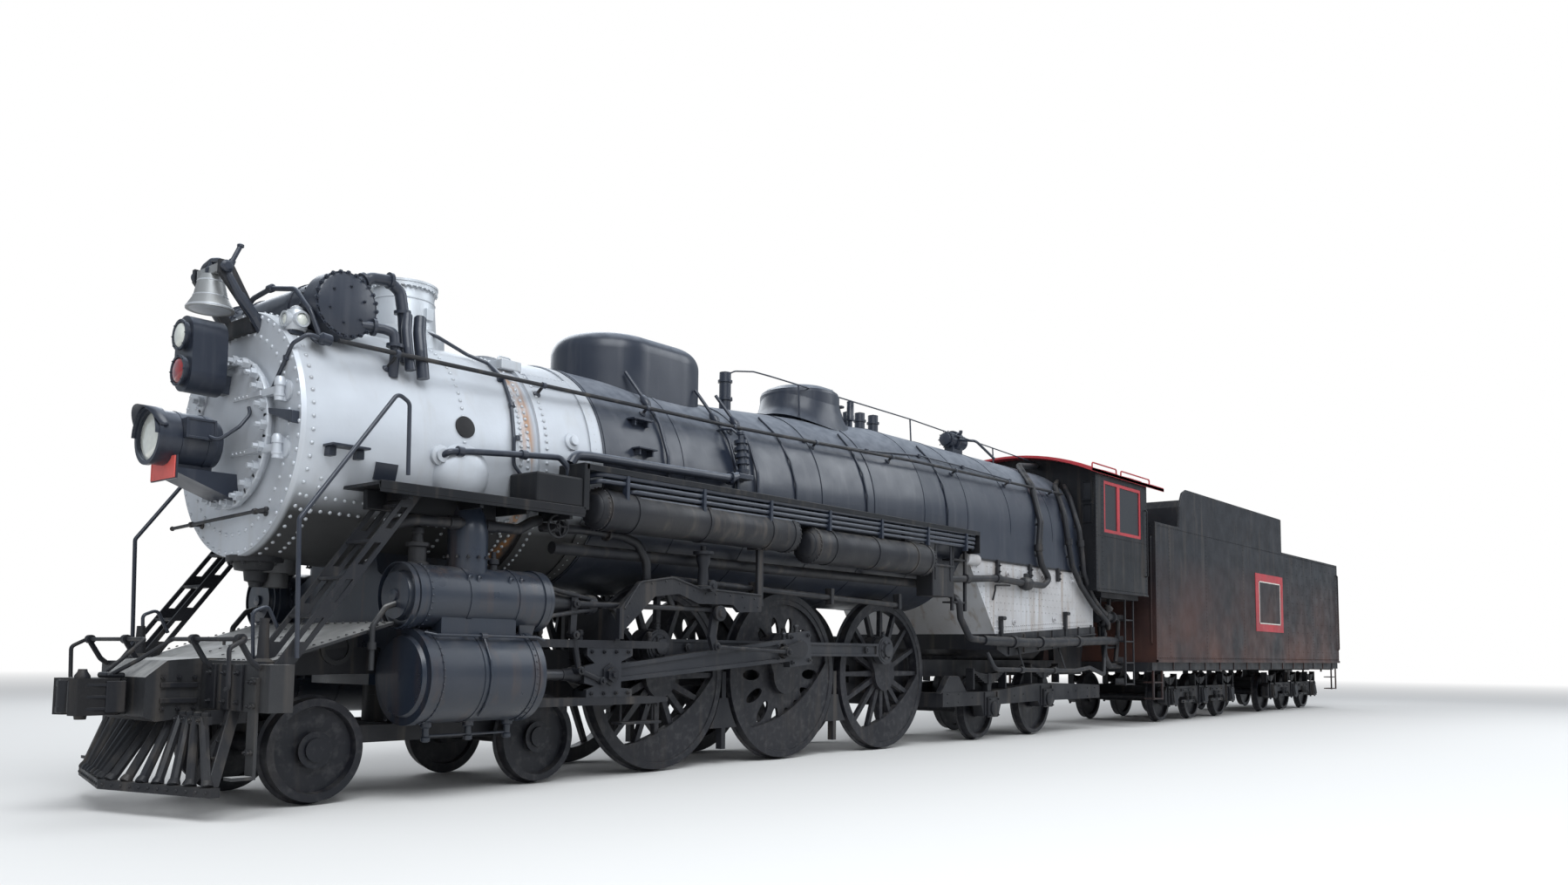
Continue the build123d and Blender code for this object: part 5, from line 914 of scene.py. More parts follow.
# %% Board pipes, clamps and brackets
boards = [tube([(start, y - 0.25, 2.98 - drop), (start - 0.12, y, 3.01 - drop),
    (-3.45, y, 3.035 - drop), (-3.62, y - 0.12, 3.0 - drop)], radius) for start, y, drop,
    radius in ((3.75, 1.475, 0.035, 0.03), (3.75, 1.475, 0.105, 0.022), (3.3, 1.47, 0.165, 0.022),
    (3.3, 1.46, 0.225, 0.022))]
stations = (3.3, 2.2, 1.1, 0.0, -1.1, -2.2, -3.2)
boards += slices(stations, 0.02, (1.44, 2.74), (1.512, 3.012))
boards += slices(stations, 0.012, (1.1, 2.96), (1.5, 3.01))
piece_of("board_pipes", both_sides(boards), jacket_black)
edges = [block((-3.56, 1.49, 2.985), (3.84, 1.514, 3.045), 0.006),
    block((3.8, 1.05, 2.6), (3.87, 1.514, 3.05), 0.008),
    block((3.86, 1.1, 2.62), (4.42, 1.5, 2.9), 0.02), block((3.84, 1.48, 2.555),
    (5.99, 1.514, 2.625), 0.006), block((4.6, 1.1, 2.42), (5.9, 1.16, 2.59), 0.01)]
piece_of("board_edges", both_sides(edges + slices((5.7, 5.0, 4.5, 4.0), 0.02, (1.0, 2.5),
    (1.49, 2.59))), cab_black)

# %% Reservoir straps and the ladders' handrails
straps = []
for x_rear, x_front, y, z, r in ((0.56, 3.6, 1.335, 2.65, 0.203), (-2.3, 0.33, 1.375, 2.555, 0.21)):
    straps += [hoop((x_rear + (x_front - x_rear) * share, y, z), FORE, r + 0.0005, r + 0.009, 0.05)
        for share in (0.03, 0.16, 0.5, 0.84, 0.96)]
    for x, out in ((x_front, 1), (x_rear, -1)):
        straps += [turned([(0, r - 0.045), (0.02, r - 0.06), (0.035, r * 0.5), (0.04, 0.0)],
            (x, y, z), (out, 0, 0), 32), rivets(0.012, ring_places((x - out * 0.045, y, z), FORE, r
            + 0.001, 26, out=True))]
piece_of("reservoir_straps", both_sides(straps), frame_black)
piece_of("ladder_rails", both_sides([tube([(6.6, 1.45, 1.2), (6.63, 1.45, 2.25),
    (5.83, 1.45, 3.36), (5.72, 1.45, 3.3), (5.71, 1.45, 2.7)], 0.018, 0.06),
    tube([(6.7, 0.98, 1.19), (6.72, 0.98, 1.55), (6.6, 0.98, 1.6), (6.5, 0.98, 1.4)], 0.015,
    0.05)]), jacket_black)

# %% [markdown]
# ## Flanges, handwheels and taps
# Pipes meet in pairs of bolted flanges, and valves are turned by spoked handwheels. Each is one
# function here, since dozens of them give the engine its texture.

# %% Small pipe fittings
def along(place, direction, distance):
    return Vector(place) + Vector(direction).normalized() * distance


def flange(place, axis):
    """A round flange with six nuts on its face."""
    return [turned([(0, 0.075), (0.03, 0.075)], place, axis, 20),
        nuts(0.009, ring_places(along(place, axis, 0.03), axis, 0.075 * 0.78, 6))]


def torus(place, axis, radius, bar, sides=28, bar_sides=8):
    """A round ring of round bar."""
    clear_selection()
    bpy.ops.mesh.primitive_torus_add(major_radius=radius, minor_radius=bar, major_segments=sides,
        minor_segments=bar_sides, location=(0, 0, 0))
    return smooth(settled(bpy.context.object, aimed(place, axis)), 60)


def handwheel(place, axis, radius, spokes=5):
    """A valve's handwheel: rim, spokes, hub and the end of its stem."""
    parts = [torus(place, axis, radius, radius * 0.1), turned([(-0.05, 0.012), (-0.012, 0.012),
        (-0.012, 0.026), (0.014, 0.026), (0.014, 0.012), (0.03, 0.01)], place, axis, 12)]
    return parts + [rod(place, end, radius * 0.07, 8) for end, _,
        _ in ring_places(place, axis, radius, spokes)]


def globe_valve(place, axis, size):
    """A small valve on a pipe: body, bonnet and handwheel, rising along the axis."""
    profile = ((-1, 0.45), (-0.5, 0.9), (0, 1), (0.5, 0.9), (0.9, 0.55), (1.6, 0.5), (1.6, 0.3),
        (2.4, 0.25))
    return [turned([(h * size, r * size) for h, r in profile], place, axis, 14),
        *handwheel(along(place, axis, size * 2.3), axis, size * 1.1, 4)]


# %% [markdown]
# ## The smokebox's front
# The door turns on two long hinge straps, riveted across it. A grab bar, the conduit to the lamps,
# the marker lamp and the wedge-shaped step belong to the crew who climb here.

# %% Hinge straps and grab bar
straps, bosses = [], []
for z in (BOILER_Z + 0.27, BOILER_Z - 0.2):
    straps += [block((6.52, 0.1, z - 0.022), (6.536, 0.56, z + 0.022)),
        rivets(0.011, row_places((6.536, 0.14, z), (6.536, 0.34, z), 4, FORE)),
        turned([(0, 0.045), (0.05, 0.045), (0.075, 0.03)], (6.495, 0.8, z + 0.033), sides=14),
        turned([(0, 0.045), (0.02, 0.045), (0.04, 0.03)], (6.495, 0.8, z - 0.033), DOWN, 14)]
    bosses.append(turned([(0, 0.085), (0.02, 0.085), (0.028, 0.06)], (6.434, 0.82, z), FORE, 20))
piece_of("door_hinge_straps", straps, silver_paint, "smokebox_door")
piece_of("hinge_bosses", bosses, silver_paint)
grab = [tube([(6.53, -0.93, 2.325), (6.53, 0.74, 2.385)], 0.015)]
for y in (-0.56, 0.56):
    z = 2.325 + (y + 0.93) / 1.67 * 0.06
    grab += [rod((6.434, y, z), (6.53, y, z), 0.014), turned([(-0.022, 0.012), (-0.014, 0.026),
        (0.014, 0.026), (0.022, 0.012)], (6.53, y, z), LEFT, 12),
        turned([(0, 0.032), (0.012, 0.032), (0.02, 0.018)], (6.434, y, z), FORE, 12)]
grab += [turned([(-0.012, 0.012), (0, 0.022), (0.014, 0.018), (0.02, 0.006)], (6.53, y, z),
    (0, end, 0), 12) for y, z, end in ((-0.93, 2.325, -1), (0.74, 2.385, 1))]
piece_of("front_grab_bar", grab, frame_black)

# %% Wedge step and conduits
wedge = block((6.434, 0.46, 3.16), (6.5, 1.02, 3.25), 0.0)
for vertex in wedge.data.vertices:
    if vertex.co.y < 0.7:
        vertex.co.z = 3.235 + (vertex.co.z - 3.16) * 0.28
    else:
        vertex.co.z -= 0.085 if vertex.co.z > 3.2 else 0.1
piece_of("front_wedge_step", [bevel(wedge, 0.008)], jacket_black)
piece_of("front_conduits", [tube([(6.44, 0.47, 3.24), (6.47, 0.56, 3.3), (6.46, 0.72, 3.52),
    (6.44, 0.87, 3.74), (6.34, 0.93, 3.83), (6.2, 0.95, 3.8)], 0.017),
    tube([(6.22, 0.88, 3.85), (6.28, 0.84, 4.05), (6.31, 0.62, 4.27), (6.33, 0.25, 4.34),
    (6.34, -0.05, 4.3), (6.35, -0.18, 4.16), (6.36, -0.22, 4.06)], 0.022, 0.12),
    turned([(-0.05, 0.02), (-0.04, 0.048), (0.04, 0.048), (0.06, 0.02)], (6.2, 0.95, 3.81),
    (1, 0, 0.1), 14), turned([(-0.04, 0.024), (-0.03, 0.035), (0.03, 0.035), (0.04, 0.024)],
    (6.33, 0.25, 4.34), LEFT, 12), turned([(0, 0.07), (0.02, 0.07), (0.03, 0.04)],
    (6.22, 0.865, 3.81), (0, 0.7, 0.71), 18), slab((6.462, 0.62, 3.385), (0.044, 0.044, 0.044),
    0.006), slab((6.445, 0.79, 3.63), (0.044, 0.044, 0.044), 0.006)], jacket_black)
piece_of("lamp_conduit", [tube([(6.8, 0.285, 2.98), (6.76, 0.36, 2.95), (6.62, 0.42, 3.08),
    (6.53, 0.4, 3.2), (6.525, 0.36, 3.26)], 0.015, 0.1)], jacket_black, "smokebox_door")

# %% Marker lamps on top of the smokebox
MARKER = Vector((6.33, 0.7, 3.975))
markers = [turned([(-0.085, 0.075), (-0.06, 0.088), (0.06, 0.088), (0.085, 0.075)], MARKER),
    turned([(0.085, 0.05), (0.11, 0.05), (0.13, 0.02)], MARKER, sides=16)]
glasses = []
for axis in (FORE, LEFT):
    markers.append(hoop(along(MARKER, axis, 0.06), axis, 0.052, 0.066, 0.052, 24))
    glasses.append(turned([(0, 0.052), (0.014, 0.035), (0.018, 0.0)], along(MARKER, axis, 0.088),
        axis, 18))
stands = [rod((6.33, 0.7, 3.86), (6.33, 0.7, 3.9), 0.04, 14),
    block((6.28, 0.65, 3.855), (6.4, 0.75, 3.885), 0.006)]
piece_of("marker_lamps", both_sides(markers), plain_silver)
piece_of("marker_glasses", both_sides(glasses), lens_glass)
piece_of("marker_stands", both_sides(stands), jacket_black)

# %% [markdown]
# ## Fittings on the smokebox's side
# Each is small, but together they tell how large the smokebox is: the steps, the blank cover, the
# washout plug, the pipe that leaves through a flange and the conduit that crosses the top.

# %% Side fittings
def barrel_plate(x_low, x_high, first, last, lift=0.014):
    """A plate that lies on the barrel between two stations and two angles."""
    places = [on_barrel(x, first + (last - first) * k / 6) for x in (x_low, x_high)
        for k in range(7)]
    corners = [p + out * height for height in (0.0005, lift) for p, out, _ in places]
    faces = [(0, 7, 21, 14), (6, 20, 27, 13)]
    for k in range(6):
        faces += [(k, k + 1, 8 + k, 7 + k), (14 + k, 21 + k, 22 + k, 15 + k),
            (k, 14 + k, 15 + k, k + 1), (7 + k, 8 + k, 22 + k, 21 + k)]
    mesh = bpy.data.meshes.new("plate")
    mesh.from_pydata(corners, [], faces)
    return smooth(edited(linked("plate", mesh),
        lambda: bpy.ops.mesh.normals_make_consistent(inside=False)), 30)


silver_bits = [turned(profile, *on_barrel(x, degrees)[:2], sides) for profile, x, degrees,
    sides in (([(-0.03, 0.09), (0.02, 0.085), (0.03, 0.05), (0.06, 0.045), (0.065, 0.0)], 3.72,
    10.8, 20), ([(-0.03, 0.1), (0.03, 0.09), (0.04, 0.06), (0.07, 0.06)], 5.17, -5.8, 24),
    ([(-0.12, 0.3), (0.0, 0.285), (0.06, 0.25), (0.1, 0.18), (0.12, 0.08), (0.125, 0.0)], 4.92,
    -14, 36))]
silver_bits.append(barrel_plate(3.45, 4.00, 41, 51))
welt = [on_barrel(3.48 + 0.05 * k, degrees, 0.014) for k in range(11) for degrees in (42, 50)]
piece_of("smokebox_side_bosses", both_sides(silver_bits) + [rivets(0.012, on_both(welt))],
    silver_paint)
piece_of("smokebox_blank", [turned([(-0.02, 0.1), (0.01, 0.1), (0.014, 0.085), (0.015, 0.0)],
    *on_barrel(4.91, 9.5)[:2], 32)], dull_iron)

# %% Step, pipe and conduit on the smokebox
dark_bits = [block((5.9, 1.02, 2.905), (6.24, 1.2, 2.925)),
    barrel_plate(5.56, 5.76, -21, -13, 0.02)]
# pipe from the flange back to the board
dark_bits += [tube(barrel_line(0.1, (5.17, -5.8, 0.05), (5.14, -4.0), (4.9, -2.5), (4.4, -0.4),
    (3.95, 1.0), (3.86, -3.0, 0.12), (3.84, -9.0, 0.12)), 0.03)]
dark_bits += [turned([(-0.03, 0.045), (0.03, 0.045)], on_barrel(x, degrees, 0.1)[0], FORE, 14)
    for x, degrees in ((5.03, -3.2), (4.35, -0.2))]
# conduit down the side, clear of the seam
dark_bits.append(tube([(4.93, 0.24, 4.3), (4.78, 0.4, 4.24)]
    + barrel_line(0.028, (4.5, 64), (4.36, 56), (4.33, 42), (4.37, 25), (4.4, 8), (4.4, -5),
    (4.3, -10, 0.05), (4.16, -13, 0.08)), 0.018, 0.1))
# step plates on the jacket, with the clips that hold them and the brackets of the smokebox's step
clips = (slices((5.94, 6.19), 0.03, (1.02, 2.83), (1.12, 2.905), 0.006)
    + slices((5.94, 6.19), 0.03, (-1.2, 2.83), (-1.02, 2.905), 0.006))
for x, degrees, width in ((2.75, 30.5, 0.28), (2.8, 13.3, 0.26)):
    _, y, z = on_barrel(x, degrees)[0]
    dark_bits.append(block((x - width / 2, y - 0.01, z - 0.01),
        (x + width / 2, y + 0.12, z + 0.008), 0.003))
    for low, high in ((y - 0.01, y + 0.09), (-y - 0.12, -y + 0.01)):
        clips += slices((x - 0.09, x + 0.09), 0.01, (low, z - 0.07), (high, z - 0.01), 0.003)
for degrees in (42, 25, 8):
    tangent = (0, -math.sin(math.radians(degrees)), math.cos(math.radians(degrees)))
    clips += [turned([(-0.02, 0.03), (0.02, 0.03)], on_barrel(4.365, angle, 0.028)[0], tangent, 12)
        for angle in (degrees, 180 - degrees)]
piece_of("smokebox_side_fittings", both_sides(dark_bits) + clips, jacket_black)
piece_of("smokebox_top_box", [block((4.02, 0.48, 3.99), (4.26, 0.72, 4.09), 0.012),
    tube([(4.06, 0.6, 4.09), (4.07, 0.6, 4.135), (4.21, 0.6, 4.135), (4.22, 0.6, 4.09)], 0.009,
    0.03)], plain_silver)

# %% [markdown]
# ## Lubricator and the thick pipe
# The lubricator is a stack of finned rings beside the boiler, fed by a lagged pipe that runs above
# the running board.

# %% Lubricator and pipes along the jacket
lubricator = [turned([(0, 0.05), (0.03, 0.07), (0.06, 0.07), (0.06, 0.05), (0.12, 0.05),
    (0.12, 0.08), (0.16, 0.08), (0.16, 0.055), (0.2, 0.055), (0.2, 0.085), (0.24, 0.085),
    (0.24, 0.055), (0.28, 0.055), (0.28, 0.085), (0.32, 0.085), (0.32, 0.055), (0.36, 0.055),
    (0.36, 0.08), (0.4, 0.08), (0.4, 0.03), (0.46, 0.03), (0.47, 0.045), (0.5, 0.045),
    (0.51, 0.02)], (1.3, 1.245, 3.27), (0, -0.1, 1)), block((1.18, 1.1, 3.22), (1.42, 1.3, 3.28),
    0.008), tube([(1.3, 1.2, 3.72), (1.36, 1.12, 3.8), (1.4, 1.02, 3.81), (1.42, 0.93, 3.79)],
    0.016, 0.06), tube([(3.84, 1.27, 3.06), (3.78, 1.27, 3.15), (3.6, 1.265, 3.165),
    (1.6, 1.265, 3.2), (1.48, 1.26, 3.22), (1.4, 1.25, 3.25)], 0.048, 0.12, 4),
    *slices((3.0, 2.0), 0.02, (1.15, 3.155), (1.27, 3.19)),
    *flange((1.52, 1.262, 3.205), (1, 0, 0.05))]
piece_of("lubricator", lubricator, jacket_black)
cross_pipes = []
for x, angles in ((0.35, (58, 40, 22, 8, -6)), (-1.05, (50, 36, 20, 6, -8)),
        (-2.95, (52, 38, 20, 4, -10))):
    line = [(x - 0.02 * max(k - 1, 0), degrees) for k, degrees in enumerate(angles)]
    cross_pipes.append(tube(barrel_line(0.022, *line), 0.014, 0.15))
piece_of("jacket_cross_pipes", both_sides(cross_pipes), jacket_black)

# %% [markdown]
# ## Cylinders and valve chests
# Steel casings hide the castings. Their ends are finished with bright rings, and relief valves,
# drain cocks and oil pipes break the plain drums. All of it stands off the casings by its own
# bolts.

# %% Cylinder and valve chest trim
CHEST_Y, CHEST_Z, CYLINDER_Y, CYLINDER_Z = 1.15, 1.728, 1.14, 1.05


def on_chest(x):
    return Vector((x, CHEST_Y, CHEST_Z))


def on_cylinder(x):
    return Vector((x, CYLINDER_Y, CYLINDER_Z))


trim = [hoop(on_chest(x), FORE, 0.2755, outer, width, 44) for x, outer,
    width in ((5.545, 0.284, 0.042), (5.4, 0.281, 0.03), (4.12, 0.284, 0.035), (4.98, 0.282, 0.05),
    (4.46, 0.282, 0.05))]
trim += [hoop(on_cylinder(x), FORE, 0.4005, outer, width, 56) for x, outer,
    width in ((5.445, 0.411, 0.045), (5.33, 0.406, 0.03), (4.9, 0.406, 0.045), (4.36, 0.408, 0.05),
    (4.292, 0.412, 0.03))]
trim += [rivets(0.011, ring_places(on_cylinder(5.355), FORE, 0.405, 40, out=True)
    + ring_places(on_cylinder(4.385), FORE, 0.407, 40, out=True)
    + ring_places(on_chest(5.415), FORE, 0.28, 30, out=True)),
    turned([(0, 0.2), (0.012, 0.2), (0.016, 0.05), (0.036, 0.05), (0.042, 0.0)], on_chest(5.589),
    FORE, 32), turned([(0, 0.2), (0.03, 0.2), (0.04, 0.14), (0.1, 0.13), (0.11, 0.09),
    (0.14, 0.09)], on_cylinder(4.292), AFT, 28), nuts(0.02,
    ring_places(on_cylinder(4.292), AFT, 0.33, 20))]
for x in (5.0, 4.9, 4.56, 4.44):
    trim += [turned([(-0.03, 0.034), (0.03, 0.034), (0.034, 0.024), (0.06, 0.022)],
        (x, 1.325, 1.885), (0, 0.7, 0.7), 12), tube([(x, 1.355, 1.915), (x + 0.03, 1.385, 1.915),
        (x + 0.04, 1.375, 1.855)], 0.014, 0.03)]
# oil pipe on its feet, with a drop that follows the drum
for x in (5.05, 4.33):
    leg = block((x - 0.07, 1.26, 1.4), (x + 0.07, 1.29, 1.56), 0.0)
    for vertex in leg.data.vertices:
        if vertex.co.z > 1.5:
            vertex.co.x = x + (vertex.co.x - x) * 1.5
            vertex.co.y += 0.03
    trim += [bevel(leg, 0.006), rod((x, 1.29, 1.4), (x, 1.425, 1.4), 0.012)]
drop = [(4.89, CYLINDER_Y + 0.418 * math.cos(a), CYLINDER_Z + 0.418 * math.sin(a))
    for a in map(math.radians, (38, 20, 0, -20, -38, -55))]
trim += [tube([(5.44, 1.36, 1.42), (5.36, 1.42, 1.4), (4.3, 1.42, 1.395), (4.22, 1.42, 1.37)],
    0.012, 0.05), tube([(4.89, 1.42, 1.395)] + drop, 0.011, 0.05),
    turned([(-0.03, 0.03), (0.03, 0.03)], (4.89, 1.42, 1.395), FORE, 12),
    tube([(4.4, CYLINDER_Y, 0.54), (5.25, CYLINDER_Y, 0.54)], 0.012)]
trim += [turned([(0, 0.05), (0.05, 0.05), (0.06, 0.03), (0.13, 0.03), (0.14, 0.04), (0.17, 0.04),
    (0.18, 0.02)], (x, CYLINDER_Y, 0.665), DOWN, 14) for x in (4.4, 4.82, 5.25)]
piece_of("cylinder_trim", both_sides(trim), casing_black)

# %% Valve stem guide, relief pipes and the pipes above the chest
above = [turned([(0, 0.2), (0.04, 0.2), (0.06, 0.12), (0.3, 0.085), (0.58, 0.075), (0.6, 0.095),
    (0.68, 0.095), (0.7, 0.05)], on_chest(4.1), AFT), nuts(0.016,
    ring_places(on_chest(4.06), AFT, 0.165, 10))]
above += [tube([(4.06, CHEST_Y + 0.14, CHEST_Z + 0.13 * spread),
    (3.42, CHEST_Y + 0.05, CHEST_Z + 0.04 * spread)], 0.022) for spread in (-1, 1)]
# the lagged exhaust pipe with its couplings, then the handwheel beside it
above += [turned([(-0.05, 0.06), (0.05, 0.06)], (x, 1.22, 2.38), FORE, 16) for x in (5.1, 4.72)]
above += [tube([(5.62, 1.1, 2.32), (5.5, 1.22, 2.37), (4.72, 1.22, 2.385), (4.4, 1.22, 2.38),
    (4.22, 1.2, 2.47), (4.1, 1.14, 2.5)], 0.05, 0.1, 4),
    *handwheel((4.02, 1.33, 2.44), (0.15, 1, 0), 0.105),
    rod((4.02, 1.32, 2.44), (4.05, 1.12, 2.44), 0.03), tube([(4.05, 1.12, 2.44),
    (3.55, 1.12, 2.46), (3.0, 1.12, 2.44), (2.82, 1.15, 2.38), (2.72, 1.18, 2.2),
    (2.71, 1.18, 2.02)], 0.045, 0.12, 4), *flange((3.8, 1.12, 2.45), FORE),
    *flange((3.2, 1.12, 2.45), FORE)]
# snifting valve and dome-shaped relief valve on the chest
above += [turned([(0, 0.1), (0.03, 0.1), (0.04, 0.075), (0.16, 0.075), (0.17, 0.1), (0.2, 0.1),
    (0.21, 0.05), (0.27, 0.04), (0.29, 0.055), (0.33, 0.05), (0.35, 0.02)], (5.38, 1.12, 1.985),
    sides=20), turned([(0, 0.035), (0.05, 0.035), (0.06, 0.05), (0.1, 0.05), (0.11, 0.025),
    (0.17, 0.02)], (4.66, 1.22, 1.985), sides=14), tube([(4.66, 1.22, 2.08), (4.8, 1.23, 2.1),
    (4.92, 1.2, 2.06)], 0.01, 0.04), nuts(0.016, ring_places((4.905, 1.15, 2.075), UP, 0.19, 12))]
piece_of("chest_fittings", both_sides(above), frame_black)

# %% [markdown]
# ## Rods, guides and the valve gear's pins
# Every pin shows as a boss with a nut or a cap, and each bearing has a screwed grease cup. The
# main rod's big end is a strap held by bolts and a wedge.

# %% Guide and crosshead fittings
# the cranks stand a quarter turn apart, so what moves with them differs from side to side
crank = {1: (0.16713, 1.33333), -1: (0.31433, 0.85187)}
cross_x = {1: 3.24713, -1: 3.40101}
gear = [turned([(0, 0.028), (0.03, 0.028), (0.03, 0.02), (0.06, 0.032), (0.09, 0.03),
    (0.1, 0.012)], (x, CYLINDER_Y, 1.385), sides=12) for x in (2.62, 3.55, 4.05)]
gear += [nuts(0.022, [((x, CYLINDER_Y + dy, z), (0, 0, up), 0) for x in (2.55, 4.14)
    for dy in (-0.06, 0.06) for z, up in ((1.384, 1), (0.756, -1))]),
    rod((3.72, 1.232, 1.44), (3.645, 1.24, 1.09), 0.03, 10),
    block((2.5, 1.06, 0.55), (3.05, 1.22, 0.575))]
gear += [rod((x, 1.14, 0.57), (x, 1.14, 0.757), 0.012, 8) for x in (2.56, 3.0)]
gear = both_sides(gear)
for side, x in cross_x.items():
    out = (0, side, 0)
    gear += [turned([(0, 0.11), (0.015, 0.11), (0.02, 0.075), (0.06, 0.075), (0.06, 0.035),
        (0.085, 0.03)], (x, side * 1.2445, CYLINDER_Z), out, 6, angle=20),
        nuts(0.02, facing(out, [(x + dx, side * 1.2445, z) for dx in (-0.24, -0.08, 0.08, 0.24)
        for z in (0.868, 1.272)])), turned([(0, 0.075), (0.1, 0.075), (0.13, 0.062),
        (0.22, 0.058)], (x + 0.32, side * CYLINDER_Y, CYLINDER_Z), FORE, 18),
        rod((3.645, side * 1.25, 1.09), (x + 0.12, side * 1.25, 0.99), 0.026, 10)]
    gear += [turned([(-0.06, 0.04), (0.05, 0.04), (0.055, 0.022), (0.075, 0.02)],
        (px, side * 1.235, pz), out, 14) for px, pz in ((3.645, 1.09), (x + 0.12, 0.99),
        (3.72, 1.43), (3.72, CHEST_Z))]
piece_of("guide_fittings", gear, frame_black)

# %% Main rods' bolts and grease cups
rods = []
for side, (pin_x, pin_z) in crank.items():
    slope = math.atan2(CYLINDER_Z - pin_z, cross_x[side] - pin_x)
    ahead = Vector((math.cos(slope), 0, math.sin(slope)))
    across = Vector((-math.sin(slope), 0, math.cos(slope)))
    centre, face = Vector((pin_x, side * 1.1905, pin_z)), Vector((0, side, 0))
    rods += [nuts(0.02, facing(face, [centre + ahead * run + across * lift for run in (0.3, 0.42)
        for lift in (-0.075, 0.075)])), nuts(0.026, facing(face,
        [centre + ahead * run + across * lift for run in (0.16, -0.16)
        for lift in (-0.15, 0.15)])), turned([(0, 0.026), (0.03, 0.026), (0.05, 0.03),
        (0.06, 0.012)], centre + ahead * 2.933 - face * 0.05 + across * 0.085, across, 12)]
    rods += [turned([(0, 0.03), (0.03, 0.03), (0.03, 0.022), (0.07, 0.036), (0.085, 0.03),
        (0.09, 0.012)], centre - face * 0.05 + ahead * run + across * lift, across, 12) for run,
        lift in ((0.0, 0.2), (0.235, 0.125))]
piece_of("main_rod_fittings", rods, rod_black)

# %% Side rods' caps and grease cups
for side, name in ((1, "side_rod_left"), (-1, "side_rod_right")):
    pin_x, pin_z = crank[side]
    out = (0, side, 0)
    parts = []
    for axle in (2.134, 0.0, -2.134):
        middle = (axle + pin_x, side * 0.9705, pin_z)
        if axle:
            parts += [turned([(0, 0.125), (0.012, 0.125), (0.02, 0.09), (0.05, 0.085),
                (0.055, 0.05), (0.058, 0.0)], middle, out, 28),
                nuts(0.016, ring_places((axle + pin_x, side * 0.9825, pin_z), out, 0.108, 6))]
        parts += [hoop(middle, out, 0.13, 0.16, 0.008, 32),
            turned([(0, 0.03), (0.03, 0.03), (0.03, 0.02), (0.06, 0.03), (0.07, 0.012)],
            (axle + pin_x, side * 0.925, pin_z + 0.183), sides=12)]
    parts += [turned([(0, 0.045), (0.012, 0.045), (0.016, 0.028), (0.03, 0.024)],
        (axle + pin_x, side * 0.9705, pin_z), out, 12) for axle in (-0.45, 0.45, -1.7, 1.7)]
    piece_of(f"{name}_fittings", parts, rod_black, name)

# %% Link, its bracket and the reach rod
BOSS = [(-0.03, 1), (0.006, 1), (0.01, 0.6), (0.035, 0.5), (0.04, 0.0)]


def boss(x, y, z, radius, out):
    """A pin's boss, its profile's radii given as shares of its own."""
    return turned([(height, radius * share) for height, share in BOSS], (x, y, z), out, 18)


links = [boss(x, y, z, radius, LEFT) for x, z, radius, y in ((1.763, 1.7, 0.085, 1.355),
    (1.743, 1.34, 0.045, 1.3))]
heads = [(3.12, 1.62), (3.12, 1.5), (3.1, 1.76), (2.98, 1.93), (2.8, 1.97), (2.6, 2.00),
    (2.4, 1.99), (2.18, 1.93), (2.0, 1.9), (1.84, 1.9), (1.6, 1.9), (1.4, 1.89), (1.2, 1.88),
    (1.14, 1.79), (1.36, 1.78)]
links += [tube([(3.17, 1.352, 1.7), (2.96, 1.352, 1.975), (2.5, 1.352, 2.045), (2.1, 1.352, 1.955),
    (1.09, 1.352, 1.925)], 0.012, 0.12)]
# upright with the lifting arm, and the post down from the running board
links += [turned([(0, 0.1), (0.03, 0.1), (0.04, 0.065), (0.22, 0.05), (0.3, 0.075), (0.36, 0.075),
    (0.37, 0.11), (0.4, 0.11), (0.41, 0.03), (0.46, 0.03)], (2.02, 1.325, 1.95), sides=20),
    turned([(-0.02, 0.065), (0.05, 0.065), (0.055, 0.03), (0.07, 0.025)], (1.94, 1.355, 1.985),
    LEFT, 16), block((1.00, 1.27, 1.8), (1.1, 1.31, 2.5), 0.006),
    block((0.95, 1.2, 2.44), (1.17, 1.36, 2.47), 0.006),
    tube([(2.4, 1.2, 2.04), (1.6, 1.2, 2.02), (-1.95, 1.2, 1.93)], 0.035, 0.2),
    tube([(2.4, 1.22, 2.04), (2.46, 1.24, 1.88), (2.4, 1.25, 1.74)], 0.035, 0.06),
    *slices((1.05, -0.4, -1.9), 0.03, (1.15, 1.88), (1.25, 2.08), 0.006)]
links = both_sides(links) + [boss(x + 0.33, side * 1.291, z - 0.04, 0.055, (0, side, 0)) for side,
    (x, z) in crank.items()]
links.append(rivets(0.013, on_both(facing(LEFT, [(x, 1.3505, z) for x, z in heads]))))
piece_of("valve_gear_fittings", links, frame_black)

# %% [markdown]
# ## Front beam, uncoupling gear and pilot
# The beam takes the coupler's pull, so its face is full of bolts. Bent rods across the front lift
# the coupler's pin from either side. The pilot is a fence of bars, and each bar's end is riveted.

# %% Beam, brackets and uncoupling rods
ROD_X, ROD_Z, BEAM_FACE, BEAM_TOP = 6.99, 1.336, 6.83, 1.15
beam = [block((BEAM_FACE - 0.002, y - half, 0.8), (BEAM_FACE + 0.022, y + half, 1.145), 0.005)
    for y, half in ((0.62, 0.075), (0.86, 0.06), (1.06, 0.06))]
beam += [nuts(0.022, facing(FORE, [(BEAM_FACE + 0.022, y, z) for y in (0.62, 0.86, 1.06)
    for z in (0.86, 1.08)] + [(6.855, y, z) for y in (1.27, 1.33) for z in (0.84, 1.02, 0.5)]))]
